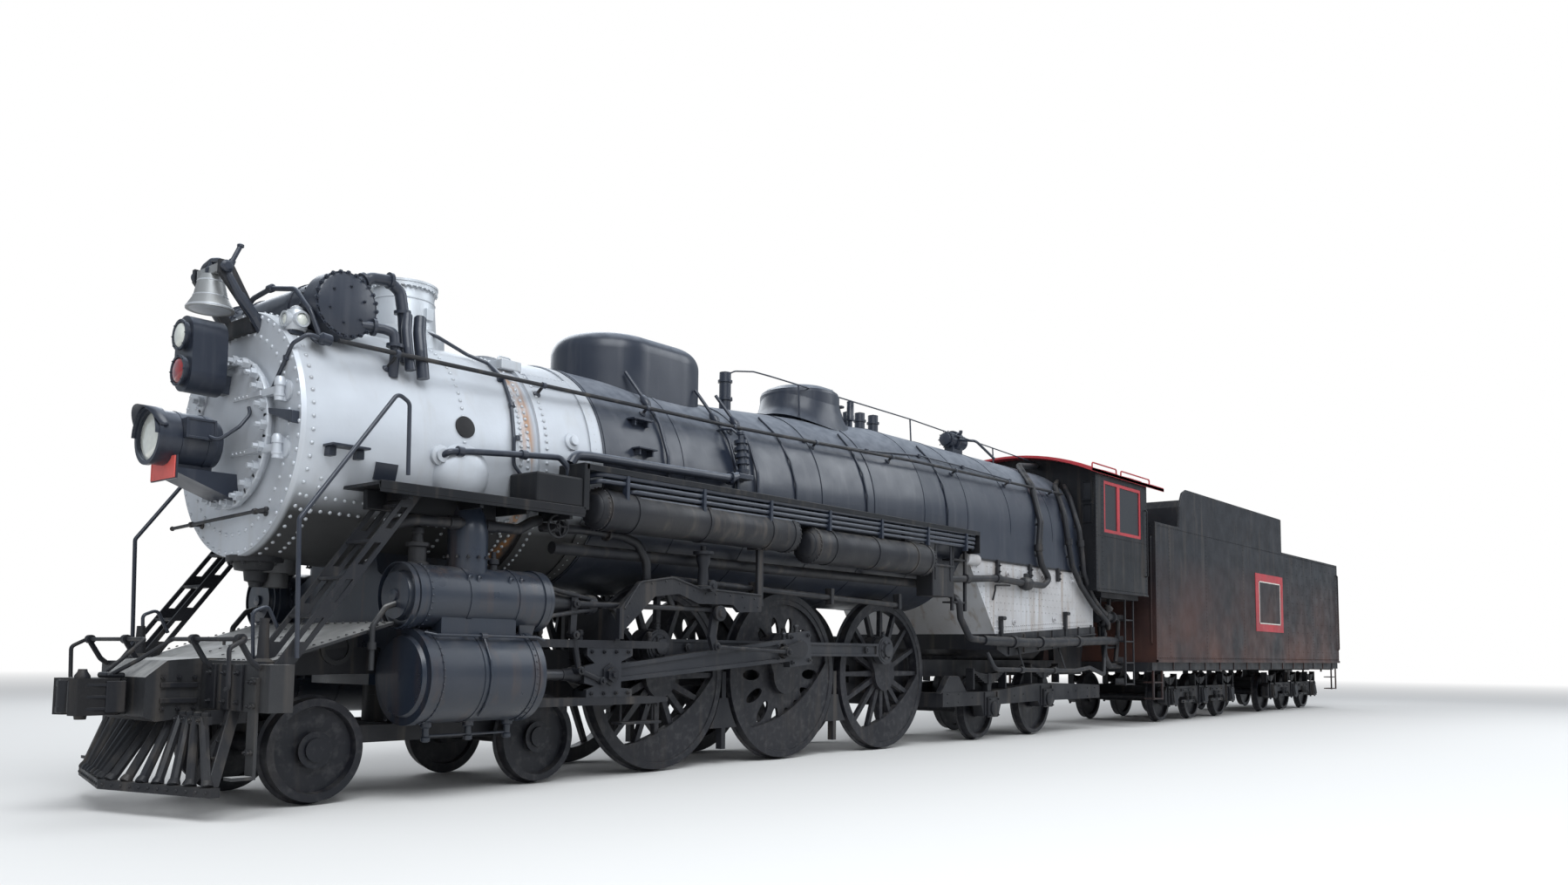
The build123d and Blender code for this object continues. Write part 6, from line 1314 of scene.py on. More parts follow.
# rod across, bent down to the coupler's pin and to the handle at the side
beam.append(tube([(7.38, 0.07, 1.045), (7.2, 0.16, 1.17), (ROD_X, 0.25, ROD_Z),
    (ROD_X, 0.4, ROD_Z), (ROD_X, 1.44, ROD_Z), (7.11, 1.44, 1.27), (7.1, 1.44, 0.98),
    (7.08, 1.36, 0.97)], 0.017, 0.05))
for y in (0.62, 1.36):
    beam += [tube([(6.835, y, 1.12), (6.9, y, 1.17), (ROD_X, y, ROD_Z - 0.02)], 0.022),
        hoop((ROD_X, y - 0.03, ROD_Z), LEFT, 0.018, 0.038, 0.06, 18)]
# chafing plates and ribs on the pocket's sides
beam += shelves((0.86, 0.98), 0.02, (6.86, 0.418), (7.14, 0.445), 0.005)
beam += [nuts(0.02, facing(LEFT, [(x, 0.42, z) for x in (6.88, 7.00, 7.12) for z in (0.8, 1.04)])),
    nuts(0.022, [((7.18, 0.34, 1.045), (0.2, 0, 1), 0)])]
# posts for flags on the beam's top, one of them on a plate
posts = [turned([(0, 0.085), (0.02, 0.085), (0.045, 0.045), (top - BEAM_TOP, 0.034)],
    (x, y, BEAM_TOP + plate), sides=18) for x, y, top, plate in ((6.72, 1.17, 1.48, 0.0),
    (6.76, -0.9, 1.43, 0.024))]
posts.append(rod((6.72, 1.17, 1.47), (6.72, 1.17, 1.5), 0.036, 18))
heads = row_places((6.69, 0.5, BEAM_TOP + 0.025), (6.69, 1.12, BEAM_TOP + 0.025), 9, UP)
posts.append(rivets(0.014, on_both(heads)))
piece_of("beam_fittings", both_sides(beam) + posts, frame_black)

# %% Coupler's knuckle, pin and ribs
coupler = [turned(profile, place, axis, sides) for profile, place, axis,
    sides in (([(0, 0.055), (0.02, 0.055), (0.05, 0.035), (0.07, 0.03)], (7.58, 0.12, 1.03), UP,
    16), ([(0, 0.045), (0.03, 0.04)], (7.58, 0.12, 0.75), DOWN, 16),
    ([(0, 0.075), (0.02, 0.086), (0.24, 0.086), (0.26, 0.075)], (7.58, 0.1, 0.76), UP, 24),
    ([(0, 0.05), (0.01, 0.062), (0.25, 0.062), (0.26, 0.05)], (7.6, -0.13, 0.76), UP, 20))]
coupler += [block((7.26, -0.1, 1.028), (7.4, 0.1, 1.075), 0.02),
    block((7.3, 0.195, 0.77), (7.44, 0.212, 1.01), 0.006)]
coupler += shelves((0.8, 0.89, 0.98), 0.012, (7.33, 0.188), (7.62, 0.206))
coupler += shelves((0.8, 0.89, 0.98), 0.012, (7.33, -0.222), (7.56, -0.186))
coupler += shelves((0.79, 0.99), 0.03, (7.6, -0.16), (7.664, -0.1), 0.012)
piece_of("coupler_knuckle", coupler, frame_black)

# %% Pilot rivets and the braces behind
bar_ends = facing((1.2, 0.305, 0), [(7.385 - 0.305 * t, 1.2 * t, 0.213)
    for t in [(k + 0.5) / 12 for k in range(12)]])
pilot = []
for share in [(step - 0.5) / 7 for step in range(1, 8)]:
    foot, head = Vector((7.35 - 0.305 * share, 1.2 * share, 0.24)), Vector((6.985, 0.9 * share,
        0.735))
    pilot += [turned([(-0.008, 0.034), (0.026, 0.032), (0.034, 0.018)], (6.97, 0.9 * share, 0.75),
        sides=10), nuts(0.02, [((7.011, 0.9 * share, 0.722), FORE, 0)]), rod(foot, head, 0.036, 8),
        turned([(-0.002, 0.048), (0.02, 0.045), (0.045, 0.037)], foot + Vector((0, 0, 0.008)),
        head - foot - Vector((0.005, 0, 0.023)), 10)]
stay = block((6.98, 1.06, 0.245), (7.07, 1.12, 0.8), 0.006)
for vertex in stay.data.vertices:
    rise = vertex.co.z - 0.245
    vertex.co.x -= rise * 0.42
    vertex.co.y -= rise * 0.35
pilot += [stay, nuts(0.018, facing((1, 0, 0.42), [(7.06 - h * 0.42, 1.09 - h * 0.35, 0.245 + h)
    for h in (0.08, 0.2, 0.32, 0.44)]))]
piece_of("pilot_fittings", both_sides(pilot) + [rivets(0.014, on_both(bar_ends))], frame_black)

# %% Cleaning nozzle under the smokebox, deck rings and drain pipes
DECK_UP = (0.31, 0, 0.95)
below = both_sides([hoop((5.8, 0.61, 1.285), LEFT, 0.11, 0.15, 0.02, 32),
    tube([(5.58, 1.16, 1.66), (5.7, 1.18, 1.62), (5.82, 1.19, 1.46), (5.82, 1.19, 1.1)], 0.024,
    0.06), turned([(-0.03, 0.036), (0.03, 0.036)], (5.82, 1.19, 1.3), sides=12),
    block((5.8, 1.14, 1.395), (5.84, 1.2, 1.425))])
rows = on_both(row_places((6.56, 1.12, 1.215), (5.66, 1.12, 1.492), 14, DECK_UP)
    + row_places((6.56, 0.2, 1.215), (5.66, 0.2, 1.492), 12, DECK_UP))
below += [turned([(0, 0.24), (0.05, 0.24), (0.06, 0.19), (0.12, 0.17), (0.13, 0.1), (0.21, 0.09),
    (0.22, 0.06), (0.26, 0.05)], (6.22, 0, 2.055), DOWN, 28),
    nuts(0.018, ring_places((6.22, 0, 2.005), DOWN, 0.215, 10)),
    rivets(0.014, rows + row_places((5.64, -1.05, 1.497), (5.64, 1.05, 1.497), 18, DECK_UP)),
    tube([(6.3, -0.34, 1.295), (6.3, -0.34, 1.36), (6.3, -0.16, 1.36), (6.3, -0.16, 1.295)], 0.013,
    0.03)]
piece_of("deck_fittings", below, deck_grey)
caps = [turned([(0, 0.095), (0.012, 0.095), (0.016, 0.06), (0.03, 0.055), (0.034, 0.0)],
    (axle, 0.59, 0.447), (0, 1, 0), 20) for axle in (6.056, 3.762)]
caps.append(nuts(0.018, facing(LEFT, [(x, 0.5905, 0.66) for x in (4.5, 4.75, 5.05, 5.3)])))
piece_of("lead_truck_bolts", both_sides(caps), frame_black, "lead_truck")

# %% [markdown]
# ## Firebox
# Hundreds of stay bolts tie the firebox's inner and outer sheets together, and each shows as a
# small head. A double row of rivets holds the sheets to the mud ring along the bottom edge.

# %% Stay bolts, mud ring rivets and plugs
FIREBOX_Y = 1.2905
stays, seam = [], []
for z in [1.97 + row * 0.105 for row in range(7)]:
    x = -4.08 - (2.7 - z) * 0.745 * 0.75
    while x > -7.72:
        stays.append(((x, FIREBOX_Y, z), LEFT, 0))
        x -= 0.128
for dx, dz in ((0, 0), (0.03, 0.06)):
    seam += row_places((-4.42 + dx, FIREBOX_Y, 1.645 + dz), (-7.76 + dx, FIREBOX_Y, 1.832 + dz),
        52, LEFT)
seam += row_places((-3.66, FIREBOX_Y, 2.64), (-4.38, FIREBOX_Y, 1.7), 14, LEFT)
seam += row_places((-3.78, FIREBOX_Y, 2.64), (-4.5, FIREBOX_Y, 1.74), 14, LEFT)
piece_of("stay_bolts", [rivets(0.013, on_both(stays)), rivets(0.016, on_both(seam))],
    firebox_silver)
plugs = [turned([(0, 0.045), (0.015, 0.045), (0.02, 0.022), (0.05, 0.022)], (x, FIREBOX_Y, z),
    LEFT, 12) for x, z in ((-4.75, 2.52), (-5.95, 2.52), (-6.95, 2.53), (-4.95, 1.8), (-6.3, 1.88))]
plugs.append(turned([(0, 0.085), (0.34, 0.085), (0.35, 0.06)], (-3.5, 1.285, 2.66), AFT, 18))
piece_of("firebox_plugs", both_sides(plugs), firebox_silver)

# %% Brackets on the firebox and the ash pan
hangers = (-4.42, -5.45, -6.43, -7.25)
brackets = slices(hangers, 0.035, (1.288, 2.49), (1.345, 2.71), 0.008)
brackets.append(nuts(0.018, facing(LEFT, [(x, 1.345, z) for x in hangers for z in (2.53, 2.62)])))
for x, z in ((-4.51, 1.7), (-6.67, 1.84)):
    brackets += [block((x - 0.03, 1.288, z - 0.14), (x + 0.03, 1.35, z + 0.17), 0.008),
        turned([(-0.05, 0.03), (0.05, 0.03)], (x, 1.36, z + 0.14), FORE, 12)]
# shelf, hook-shaped bracket on the side sheet, then the ash pan's damper rod and ribs
brackets += [block((-7.33, 1.2895, 2.672), (-3.58, 1.312, 2.705)),
    tube([(-4.3, 1.3, 2.1), (-4.3, 1.34, 2.25), (-4.3, 1.34, 2.32), (-4.75, 1.34, 2.34)], 0.014,
    0.03), rod((-4.6, 1.355, 1.47), (-7.75, 1.355, 1.66), 0.014, 8)]
for x in [-4.75 - k * 0.48 for k in range(7)]:
    bottom = 1.27 + (-4.68 - x) / 3.12 * 0.26
    brackets.append(block((x - 0.02, 1.318, bottom + 0.02), (x + 0.02, 1.338, bottom + 0.3)))
piece_of("firebox_brackets", both_sides(brackets), frame_black)

# %% [markdown]
# ## Pipes down the firebox side
# Steam and water pipes come down over the jacket to the injector under the cab. They are lagged, so
# they are thick and bend softly, and clips hold them off the jacket.

# %% Pipes with their ball valve
PIPE_Y = 1.38
pipes = [tube([(-7.3, 0.5, 4.57), (-6.42, 0.62, 4.46), (-5.87, 1.145, 4.00), (-5.71, 1.375, 3.4),
    (-5.63, PIPE_Y, 2.94), (-5.72, PIPE_Y, 2.72), (-5.99, PIPE_Y, 2.5), (-5.77, PIPE_Y, 2.39),
    (-5.2, PIPE_Y, 2.39), (-4.27, PIPE_Y, 2.42), (-3.34, PIPE_Y, 2.36), (-2.93, 1.36, 2.34)], 0.05,
    0.16, 4), tube([(-7.36, 0.86, 4.28), (-6.95, 1.02, 4.14), (-6.68, 1.31, 3.64),
    (-6.7, PIPE_Y, 3.11), (-6.82, PIPE_Y, 2.78), (-7.14, PIPE_Y, 2.46), (-7.54, 1.42, 2.14),
    (-8.12, 1.42, 1.86), (-8.25, 1.36, 1.78)], 0.046, 0.2, 4),
    tube([(-7.37, 0.98, 4.2), (-7.22, 1.16, 3.96), (-7.1, PIPE_Y, 3.39), (-7.21, PIPE_Y, 2.96),
    (-7.26, PIPE_Y, 2.67), (-7.54, 1.4, 2.29), (-7.9, 1.38, 2.1), (-8.2, 1.34, 2.02)], 0.044, 0.2,
    4), tube([(-3.2, 1.1, 2.2), (-3.22, 1.36, 2.05), (-3.26, 1.36, 1.8), (-3.42, 1.42, 1.52),
    (-3.8, 1.42, 1.5)], 0.048, 0.12, 4), tube([(-4.05, 1.34, 1.32), (-4.08, 1.45, 1.08),
    (-6.75, 1.45, 1.05), (-7.29, 1.45, 1.1), (-7.85, 1.45, 0.98), (-8.1, 1.35, 1.25),
    (-8.2, 1.33, 1.7)], 0.034, 0.1, 4), turned([(-0.13, 0.055), (-0.11, 0.085), (-0.07, 0.1),
    (0.0, 0.108), (0.07, 0.1), (0.11, 0.085), (0.13, 0.055)], (-5.2, PIPE_Y, 2.39), FORE, 22),
    turned([(0, 0.04), (0.05, 0.04), (0.06, 0.02)], (-5.2, PIPE_Y, 2.49), sides=10)]

# %% Collars and clips on the pipes
pipes += [turned([(-0.05, radius), (0.05, radius)], place, axis, 16) for place, axis,
    radius in (((-5.635, PIPE_Y, 2.98), UP, 0.066), ((-4.3, PIPE_Y, 2.419), (1, 0, 0.03), 0.066),
    ((-3.4, PIPE_Y, 2.364), (1, 0, 0.05), 0.066), ((-6.7, PIPE_Y, 3.16), UP, 0.06),
    ((-7.15, PIPE_Y, 3.17), (0.2, 0, 1), 0.06), ((-6.00, 1.45, 1.06), FORE, 0.05),
    ((-4.9, 1.45, 1.07), FORE, 0.05), ((-4.7, 1.42, 1.489), FORE, 0.092),
    ((-5.6, 1.42, 1.495), FORE, 0.092), ((-6.9, 1.42, 1.525), FORE, 0.092))]
pipes += [rod((x, inner, z), (x, y, z), 0.022, 8) for x, inner, y,
    z in ((-5.7, 1.2, 1.37, 3.36), (-5.64, 1.2, PIPE_Y, 2.86), (-6.69, 1.2, 1.34, 3.5),
    (-6.75, 1.2, PIPE_Y, 2.92), (-7.12, 1.2, 1.36, 3.45), (-7.24, 1.2, PIPE_Y, 2.8),
    (-4.75, 1.28, PIPE_Y, 2.405), (-3.75, 1.28, PIPE_Y, 2.385))]
pipes += [rod((x, 1.325, 1.42), (x, 1.45, 1.065), 0.014, 8) for x in (-5.0, -6.4)]

# %% Injector with its valves, hung from the deck by two straps
pipes += [turned([(0, 0.05), (0.02, 0.11), (0.05, 0.11), (0.06, 0.07), (0.28, 0.085), (0.3, 0.12),
    (0.34, 0.12), (0.36, 0.08), (0.62, 0.06), (0.63, 0.1), (0.67, 0.1), (0.68, 0.045),
    (0.8, 0.045)], (-7.95, 1.27, 1.98), AFT, 22), turned([(0, 0.06), (0.1, 0.06), (0.11, 0.1),
    (0.14, 0.1), (0.15, 0.05), (0.32, 0.045)], (-8.26, 1.27, 1.95), DOWN, 18),
    turned([(0, 0.05), (0.1, 0.05), (0.11, 0.08), (0.16, 0.08), (0.18, 0.03)], (-8.26, 1.3, 2.02),
    (0, 0.5, 0.8), 16), *slices((-8.1, -8.5), 0.02, (1.24, 2.03), (1.3, 2.305), 0.005),
    tube([(-8.26, 1.27, 1.66), (-8.3, 1.27, 1.3), (-8.62, 1.22, 1.12), (-9.15, 1.18, 1.12)], 0.05,
    0.15, 4), tube([(-8.74, 1.27, 1.98), (-8.95, 1.25, 1.95), (-9.02, 1.2, 1.6),
    (-8.95, 1.19, 1.2)], 0.04, 0.12, 4), tube([(-8.4, 1.1, 2.31), (-8.45, 1.12, 1.6),
    (-8.7, 1.15, 1.45), (-9.0, 1.16, 1.46)], 0.028, 0.1, 4),
    *globe_valve((-8.62, 1.12, 1.52), FORE, 0.045)]
piece_of("side_pipes", both_sides(pipes), frame_black)

# %% Box below the running board, straps and the cab's steps
hung = [block((-2.95, 1.16, 2.08), (-2.42, 1.43, 2.5), 0.012),
    block((-2.97, 1.15, 2.49), (-2.4, 1.45, 2.515), 0.005),
    block((-3.36, 0.98, 2.6), (-3.3, 1.34, 2.64)), *slices((-2.88, -2.49), 0.02, (1.425, 2.3),
    (1.44, 3.012), 0.003), *slices((-2.88, -2.49), 0.02, (1.145, 2.3), (1.16, 3.012), 0.003),
    *slices((-3.05, -3.4), 0.025, (1.33, 1.9), (1.37, 3.012), 0.005),
    *shelves((2.02, 2.62), 0.012, (-3.42, 1.2), (-3.03, 1.37)),
    *slices((-8.92, -9.28), 0.02, (1.375, 0.78), (1.4, 2.31), 0.005)]
for z in (0.8, 1.18, 1.56, 1.94):
    hung += [block((-9.28, 1.2, z - 0.012), (-8.92, 1.4, z + 0.012)),
        block((-9.28, 1.19, z - 0.012), (-8.92, 1.205, z + 0.1))]
piece_of("hung_fittings", both_sides(hung), frame_black)

# %% [markdown]
# ## Cab
# The cab's sheets are riveted over angle irons. A curved roof overhangs them, with low rails to
# hold on to. Inside stand the boiler's backhead with its gauges, levers and fire door, and two
# seats.

# %% Cab rivets, grab irons and panes
CAB_Y = 1.5605
rows = row_places((-7.7, CAB_Y, 2.86), (-9.4, CAB_Y, 2.86), 2, LEFT)
for z in (2.43, 3.33):
    rows += row_places((-7.4, CAB_Y, z), (-9.52, CAB_Y, z), 30, LEFT)
for x in (-7.4, -9.52, -7.62):
    rows += row_places((x, CAB_Y, 2.5), (x, CAB_Y, 4.34), 24, LEFT)
rows += row_places((-7.3595, 1.52, 2.5), (-7.3595, 1.52, 4.3), 21, FORE)
rows += row_places((-7.3595, 1.345, 2.75), (-7.3595, 1.345, 3.11), 5, FORE)
piece_of("cab_trim", [rivets(0.01, on_both(rows))] + both_sides([block((-9.56, 1.555, 2.375),
    (-7.36, 1.578, 2.405), 0.005), tube([(-9.47, 1.562, 3.95), (-9.47, 1.6, 3.93),
    (-9.47, 1.6, 2.75), (-9.47, 1.562, 2.73)], 0.014, 0.03)]), cab_black)
# the panes are dark sheets in the window openings: painted shade for the cab's dark inside
panes = [block((-9.235, 1.535, 3.445), (-8.355, 1.541, 4.245), 0.0),
    block((-8.265, 1.535, 3.445), (-7.745, 1.541, 4.245), 0.0)]
casings = []
for z in (3.7, 4.08):
    panes.append(slab((-7.368, 1.405, z), (0.008, 0.176, 0.304), 0.0))
    for end in (-1, 1):
        casings += [slab((-7.354, 1.405 + end * 0.085, z), (0.016, 0.028, 0.33), 0.003),
            slab((-7.355, 1.405, z + end * 0.155), (0.014, 0.18, 0.024), 0.003)]
piece_of("cab_panes", both_sides(panes), shade_dark_glass)
piece_of("cab_pane_frames", both_sides(casings), cab_black)

# %% Roof ribs, rails and hatch
ROOF_EDGE, ROOF_RADIUS = 1.612, 4.141


def roof_z(y):
    """The roof's top at a distance from the middle."""
    return 4.76 - (ROOF_RADIUS - math.sqrt(ROOF_RADIUS ** 2 - y ** 2))


rail_foot = roof_z(1.42)
roof = [block((-10.26, 1.604, 4.374), (-7.1, 1.62, 4.436))]
roof += [tube([(front, 1.42, rail_foot - 0.005), (front, 1.42, rail_foot + 0.085),
    (rear, 1.42, rail_foot + 0.085), (rear, 1.42, rail_foot - 0.005)], 0.013, 0.05) for front,
    rear in ((-7.55, -8.55), (-8.75, -10.05))]
across = [ROOF_EDGE * (k / 8 - 1) for k in range(17)]
ribs = [tube([(x, y, roof_z(y)) for y in across], 0.012, 0.3, 2)
    for x in (-7.12, -8.15, -9.2, -10.24)]
piece_of("roof_ribs", both_sides(roof) + ribs, cab_red)
piece_of("roof_hatch", [block((-9.15, -0.46, 4.715), (-8.25, 0.46, 4.8), 0.012),
    *[block((-9.6, y - 0.02, 4.715), (-7.8, y + 0.02, 4.765)) for y in (-0.44, 0.44)],
    tube([(-8.35, -0.06, 4.8), (-8.35, -0.06, 4.83), (-8.35, 0.06, 4.83), (-8.35, 0.06, 4.8)],
    0.01, 0.02)], cab_black)

# %% Backhead fittings and seats
back = [turned([(0, 0.27), (0.02, 0.27), (0.03, 0.24), (0.06, 0.22)], (-7.8, 0, 2.98), AFT, 28),
    block((-7.89, -0.03, 2.7), (-7.855, 0.03, 3.26), 0.008),
    tube([(-7.86, -0.14, 3.1), (-7.95, -0.14, 3.12), (-7.95, 0.14, 3.12), (-7.86, 0.14, 3.1)],
    0.016, 0.04), turned([(0, 0.12), (0.08, 0.12), (0.1, 0.07), (0.16, 0.07)], (-7.8, 0, 3.92),
    AFT, 20), tube([(-7.95, 0, 3.92), (-8.02, 0.1, 3.92), (-8.02, 0.55, 3.88), (-8.3, 0.62, 3.6)],
    0.022), rod((-7.82, 0.52, 3.05), (-8.2, 0.58, 3.45), 0.02),
    block((-7.95, 0.72, 2.4), (-7.85, 0.78, 3.35), 0.01),
    block((-8.3, -0.8, 4.12), (-7.82, 0.8, 4.16), 0.01)]
back += [turned([(0, r * 0.4), (0.03, r * 0.4), (0.04, r), (0.09, r), (0.1, r * 0.88)],
    (-7.8, y, z), AFT, 22) for y, z, r in ((0.42, 3.86, 0.1), (-0.18, 3.62, 0.085),
    (0.2, 3.62, 0.085), (-0.42, 3.86, 0.1))]
for y in (-0.34, 0.34):
    back.append(rod((-7.86, y, 3.28), (-7.86, y, 3.56), 0.016))
    back += [rod((-7.795, y, z), (-7.88, y, z), 0.028) for z in (3.28, 3.56)]
for y, z in ((-0.62, 3.4), (-0.7, 3.7), (0.66, 3.72), (-0.52, 3.12)):
    back += globe_valve((-7.9, y, z), FORE, 0.03) + [rod((-7.795, y, z), (-7.9, y, z), 0.02)]
back += [tube([(-7.84, y, 4.12), (-7.86, y * 1.1, 3.98), (-7.84, y * 1.2, 3.8),
    (-7.8, y * 1.2, 3.78)], 0.012, 0.05) for y in (-0.55, -0.2, 0.2, 0.5)]
piece_of("backhead_fittings", back, dull_iron)
piece_of("cab_seats", both_sides([block((-9.1, 1.02, 2.405), (-8.55, 1.46, 3.02), 0.02),
    block((-9.14, 1.00, 3.02), (-8.5, 1.48, 3.12), 0.035),
    block((-9.2, 1.04, 3.1), (-9.12, 1.44, 3.55), 0.03)]), cab_black)

# %% [markdown]
# ## Trailing truck
# Leaf springs carry the engine on the rear truck's axle boxes. Each spring is a stack of leaves
# that get shorter, clamped by a band in the middle and hung by links at its ends.

# %% Leaf spring, axle boxes and hangers
def leaf_spring(x, y, z, half_length, leaves, hang):
    """A stack of leaves with its band and end links, longest leaf on top."""
    parts = []
    for k in range(leaves):
        reach = half_length * (1 - 0.115 * k)
        leaf = block((x - reach, y - 0.05, z - 0.02 * (k + 1)),
            (x + reach, y + 0.05, z - 0.02 * k - 0.004), 0.0)
        edited(leaf, lambda: bpy.ops.mesh.subdivide(number_cuts=7))
        for vertex in leaf.data.vertices:
            vertex.co.z += 0.07 * ((vertex.co.x - x) / half_length) ** 2
        parts.append(leaf)
    parts += slices((x,), 0.05, (y - 0.062, z - 0.02 * leaves - 0.02), (y + 0.062, z + 0.015),
        0.008)
    return parts + slices((x - half_length + 0.03, x + half_length - 0.03), 0.02,
        (y - 0.065, z + 0.07 - hang), (y + 0.065, z + 0.085), 0.005)


truck = []
for x, frame_top, axle_z in ((-4.714, 0.755, 0.485), (-6.54, 0.825, 0.587)):
    truck += leaf_spring(x, 0.957, frame_top + 0.25, 0.52, 7, 0.3)
    truck += [block((x - 0.06, 0.907, frame_top - 0.02), (x + 0.06, 1.007, frame_top + 0.11),
        0.008), block((x - 0.155, 1.0345, axle_z - 0.13), (x + 0.155, 1.085, axle_z + 0.17), 0.02),
        turned([(0, 0.105), (0.02, 0.105), (0.03, 0.085), (0.035, 0.0)], (x, 1.085, axle_z), LEFT),
        nuts(0.014, facing(LEFT, [(x + dx, 1.085, axle_z + dz) for dx in (-0.125, 0.125)
        for dz in (-0.1, 0.14)])), *slices((x - 0.19, x + 0.19), 0.025, (1.034, axle_z - 0.1),
        (1.052, frame_top - 0.02))]
heads = facing(LEFT, [(x, 1.0352, z) for x, z in ((-3.45, 0.6), (-3.45, 0.72), (-3.75, 0.6),
    (-3.75, 0.72), (-4.15, 0.66), (-5.45, 0.66), (-5.75, 0.68), (-7.35, 0.68), (-7.65, 0.7),
    (-8.1, 0.6), (-8.1, 0.74), (-8.4, 0.6), (-8.4, 0.74))])
# raised casting at the front, as a gusset above the frame
gusset = block((-4.05, 0.9, 0.72), (-3.3, 1.02, 0.98), 0.0)
for vertex in gusset.data.vertices:
    if vertex.co.z > 0.9:
        vertex.co.x = -3.68 + (vertex.co.x + 3.68) * 0.35
truck = both_sides(truck + [bevel(gusset, 0.02)]) + [rivets(0.015, on_both(heads))]
piece_of("trailing_truck_springs", truck, frame_black, "trailing_truck")

# %% [markdown]
# ## Tender
# The tank is riveted plate. A half-round bead stiffens the top edge, and the coal sits behind
# boards in the gangway. The six-wheel trucks have an axle box with a sloping lid at each journal.

# %% Tank rivets
TANK_Y, TANK_END = 1.5605, -22.6005
rows, end_rows = [], []
for x in (-10.02, -10.62, -12.6, -14.9, -18.1, -20.2, -22.52):
    rows += row_places((x, TANK_Y, 1.3), (x, TANK_Y, 3.7), 34, LEFT)
for x in (-18.5, -18.9, -19.3, -19.7, -20.6, -21.0, -21.4, -21.8, -22.2):
    rows += row_places((x, TANK_Y, 1.45), (x, TANK_Y, 3.55), 10, LEFT)
for z in (1.275, 3.735):
    rows += row_places((-9.95, TANK_Y, z), (-22.55, TANK_Y, z), 150, LEFT)
    end_rows += row_places((TANK_END, -1.5, z), (TANK_END, 1.5, z), 40, AFT)
for y in (-1.5, -0.75, 0.75, 1.5):
    end_rows += row_places((TANK_END, y, 1.3), (TANK_END, y, 3.7), 34, AFT)
piece_of("tank_rivets", [rivets(0.012, on_both(rows) + end_rows)], tender_black, "tender")

# %% Beads, grab irons, steps and the bare bordered panel
beads = [tube([(-11.155, 1.538, 3.79), (-11.215, 1.538, 4.205), (-11.385, 1.538, 4.475),
    (-11.575, 1.538, 4.548), (-17.68, 1.538, 4.548), (-17.685, 1.538, 3.8)], 0.026, 0.05),
    tube([(-9.93, 1.545, 3.772), (-11.15, 1.545, 3.772)], 0.022),
    tube([(-17.72, 1.545, 3.772), (-22.56, 1.545, 3.772)], 0.022),
    block((-22.6, 1.558, 1.19), (-9.9, 1.58, 1.245), 0.005),
    block((-9.975, 1.558, 1.19), (-9.9, 1.58, 3.78), 0.005)]
beads += [tube([(*foot, 3.52), (*bar, 3.5), (*bar, 1.55), (*foot, 1.53)], 0.016, 0.04) for foot,
    bar in (((-9.92, 1.5), (-9.86, 1.5)), ((-22.48, 1.56), (-22.48, 1.6)))]
for front, rear in ((-9.98, -10.4), (-22.12, -22.54)):
    beads += slices((front, rear), 0.025, (1.455, 0.5), (1.485, 1.06), 0.005)
    beads += shelves((0.52, 0.82), 0.012, (rear, 1.28), (front, 1.49))
# ribs under the side sill
beads += slices([-10.9 - k * 0.86 for k in range(14)], 0.02, (1.4, 1.045), (1.515, 1.19))
piece_of("tank_beads", both_sides(beads) + [tube([(-22.58, -1.538, 3.772), (-22.58, 1.538, 3.772)],
    0.022)], tender_black, "tender")
for name, paint, edge, plates in (("panel_border", cab_red, 0.003,
        [((-17.7, 1.5595, 1.89), (-15.7, 1.57, 3.19))]), ("panel_face", tender_black, 0.001,
        [((-17.45, 1.5695, 2.08), (-15.95, 1.5735, 3.00))]),
        ("panel_line", plate_pale, 0.001, [((x_low, 1.5705, z_low), (x_high, 1.5755, z_high))
        for x_low, x_high, z_low, z_high in ((-17.47, -15.93, 2.06, 2.085),
        (-17.47, -15.93, 2.995, 3.02), (-17.47, -17.445, 2.06, 3.02),
        (-15.955, -15.93, 2.06, 3.02))])):
    piece_of(name, both_sides([block(low, high, edge) for low, high in plates]), paint, "tender")

# %% Coal boards
gate = [block((-11.285, -0.645, z), (-11.235, 0.645, z + 0.155), 0.006)
    for z in [2.395 + k * 0.165 for k in range(8)]]
gate += [block((-11.3, y - 0.03, 2.392), (-11.22, y + 0.03, 4.1), 0.008) for y in (-0.645, 0.645)]
gate += [block((-11.29, -0.67, 4.02), (-11.23, 0.67, 4.1), 0.008),
    nuts(0.016, facing(FORE, [(-11.22, y, 2.5 + 0.33 * k) for y in (-0.645, 0.645)
    for k in range(5)])), rod((-10.05, -1.1, 3.78), (-10.05, -1.1, 4.02), 0.03),
    *handwheel((-10.05, -1.1, 4.03), UP, 0.17), rivets(0.014,
    on_both(row_places((-9.8995, 0.72, 3.7), (-9.8995, 1.48, 3.7), 10, FORE)
    + row_places((-9.8995, 0.7, 1.4), (-9.8995, 0.7, 3.6), 22, FORE)))]
piece_of("coal_gate", gate, tender_black, "tender")

# %% Deck fittings and rear end
rows = [place for y in (-1.3, -0.45, 0.45, 1.3) for place in row_places((-17.9, y, 3.7805),
    (-22.45, y, 3.7805), 36, UP)]
for x in (-18.4, -19.6):
    rows += row_places((x, -1.2, 3.7805), (x, 1.2, 3.7805), 20, UP)
# vents, and a rail down to the tank's rear deck
deck = both_sides([turned([(0, 0.09), (0.02, 0.09), (0.03, 0.055), (0.22, 0.055), (0.23, 0.1),
    (0.27, 0.1), (0.3, 0.05)], (-18.2, 1.0, 3.78), sides=18),
    tube([(-22.62, 0.62, 3.7), (-22.66, 0.62, 3.72), (-22.66, 0.62, 3.9), (-22.5, 0.62, 3.98),
    (-22.3, 0.62, 3.78)], 0.016, 0.05)])
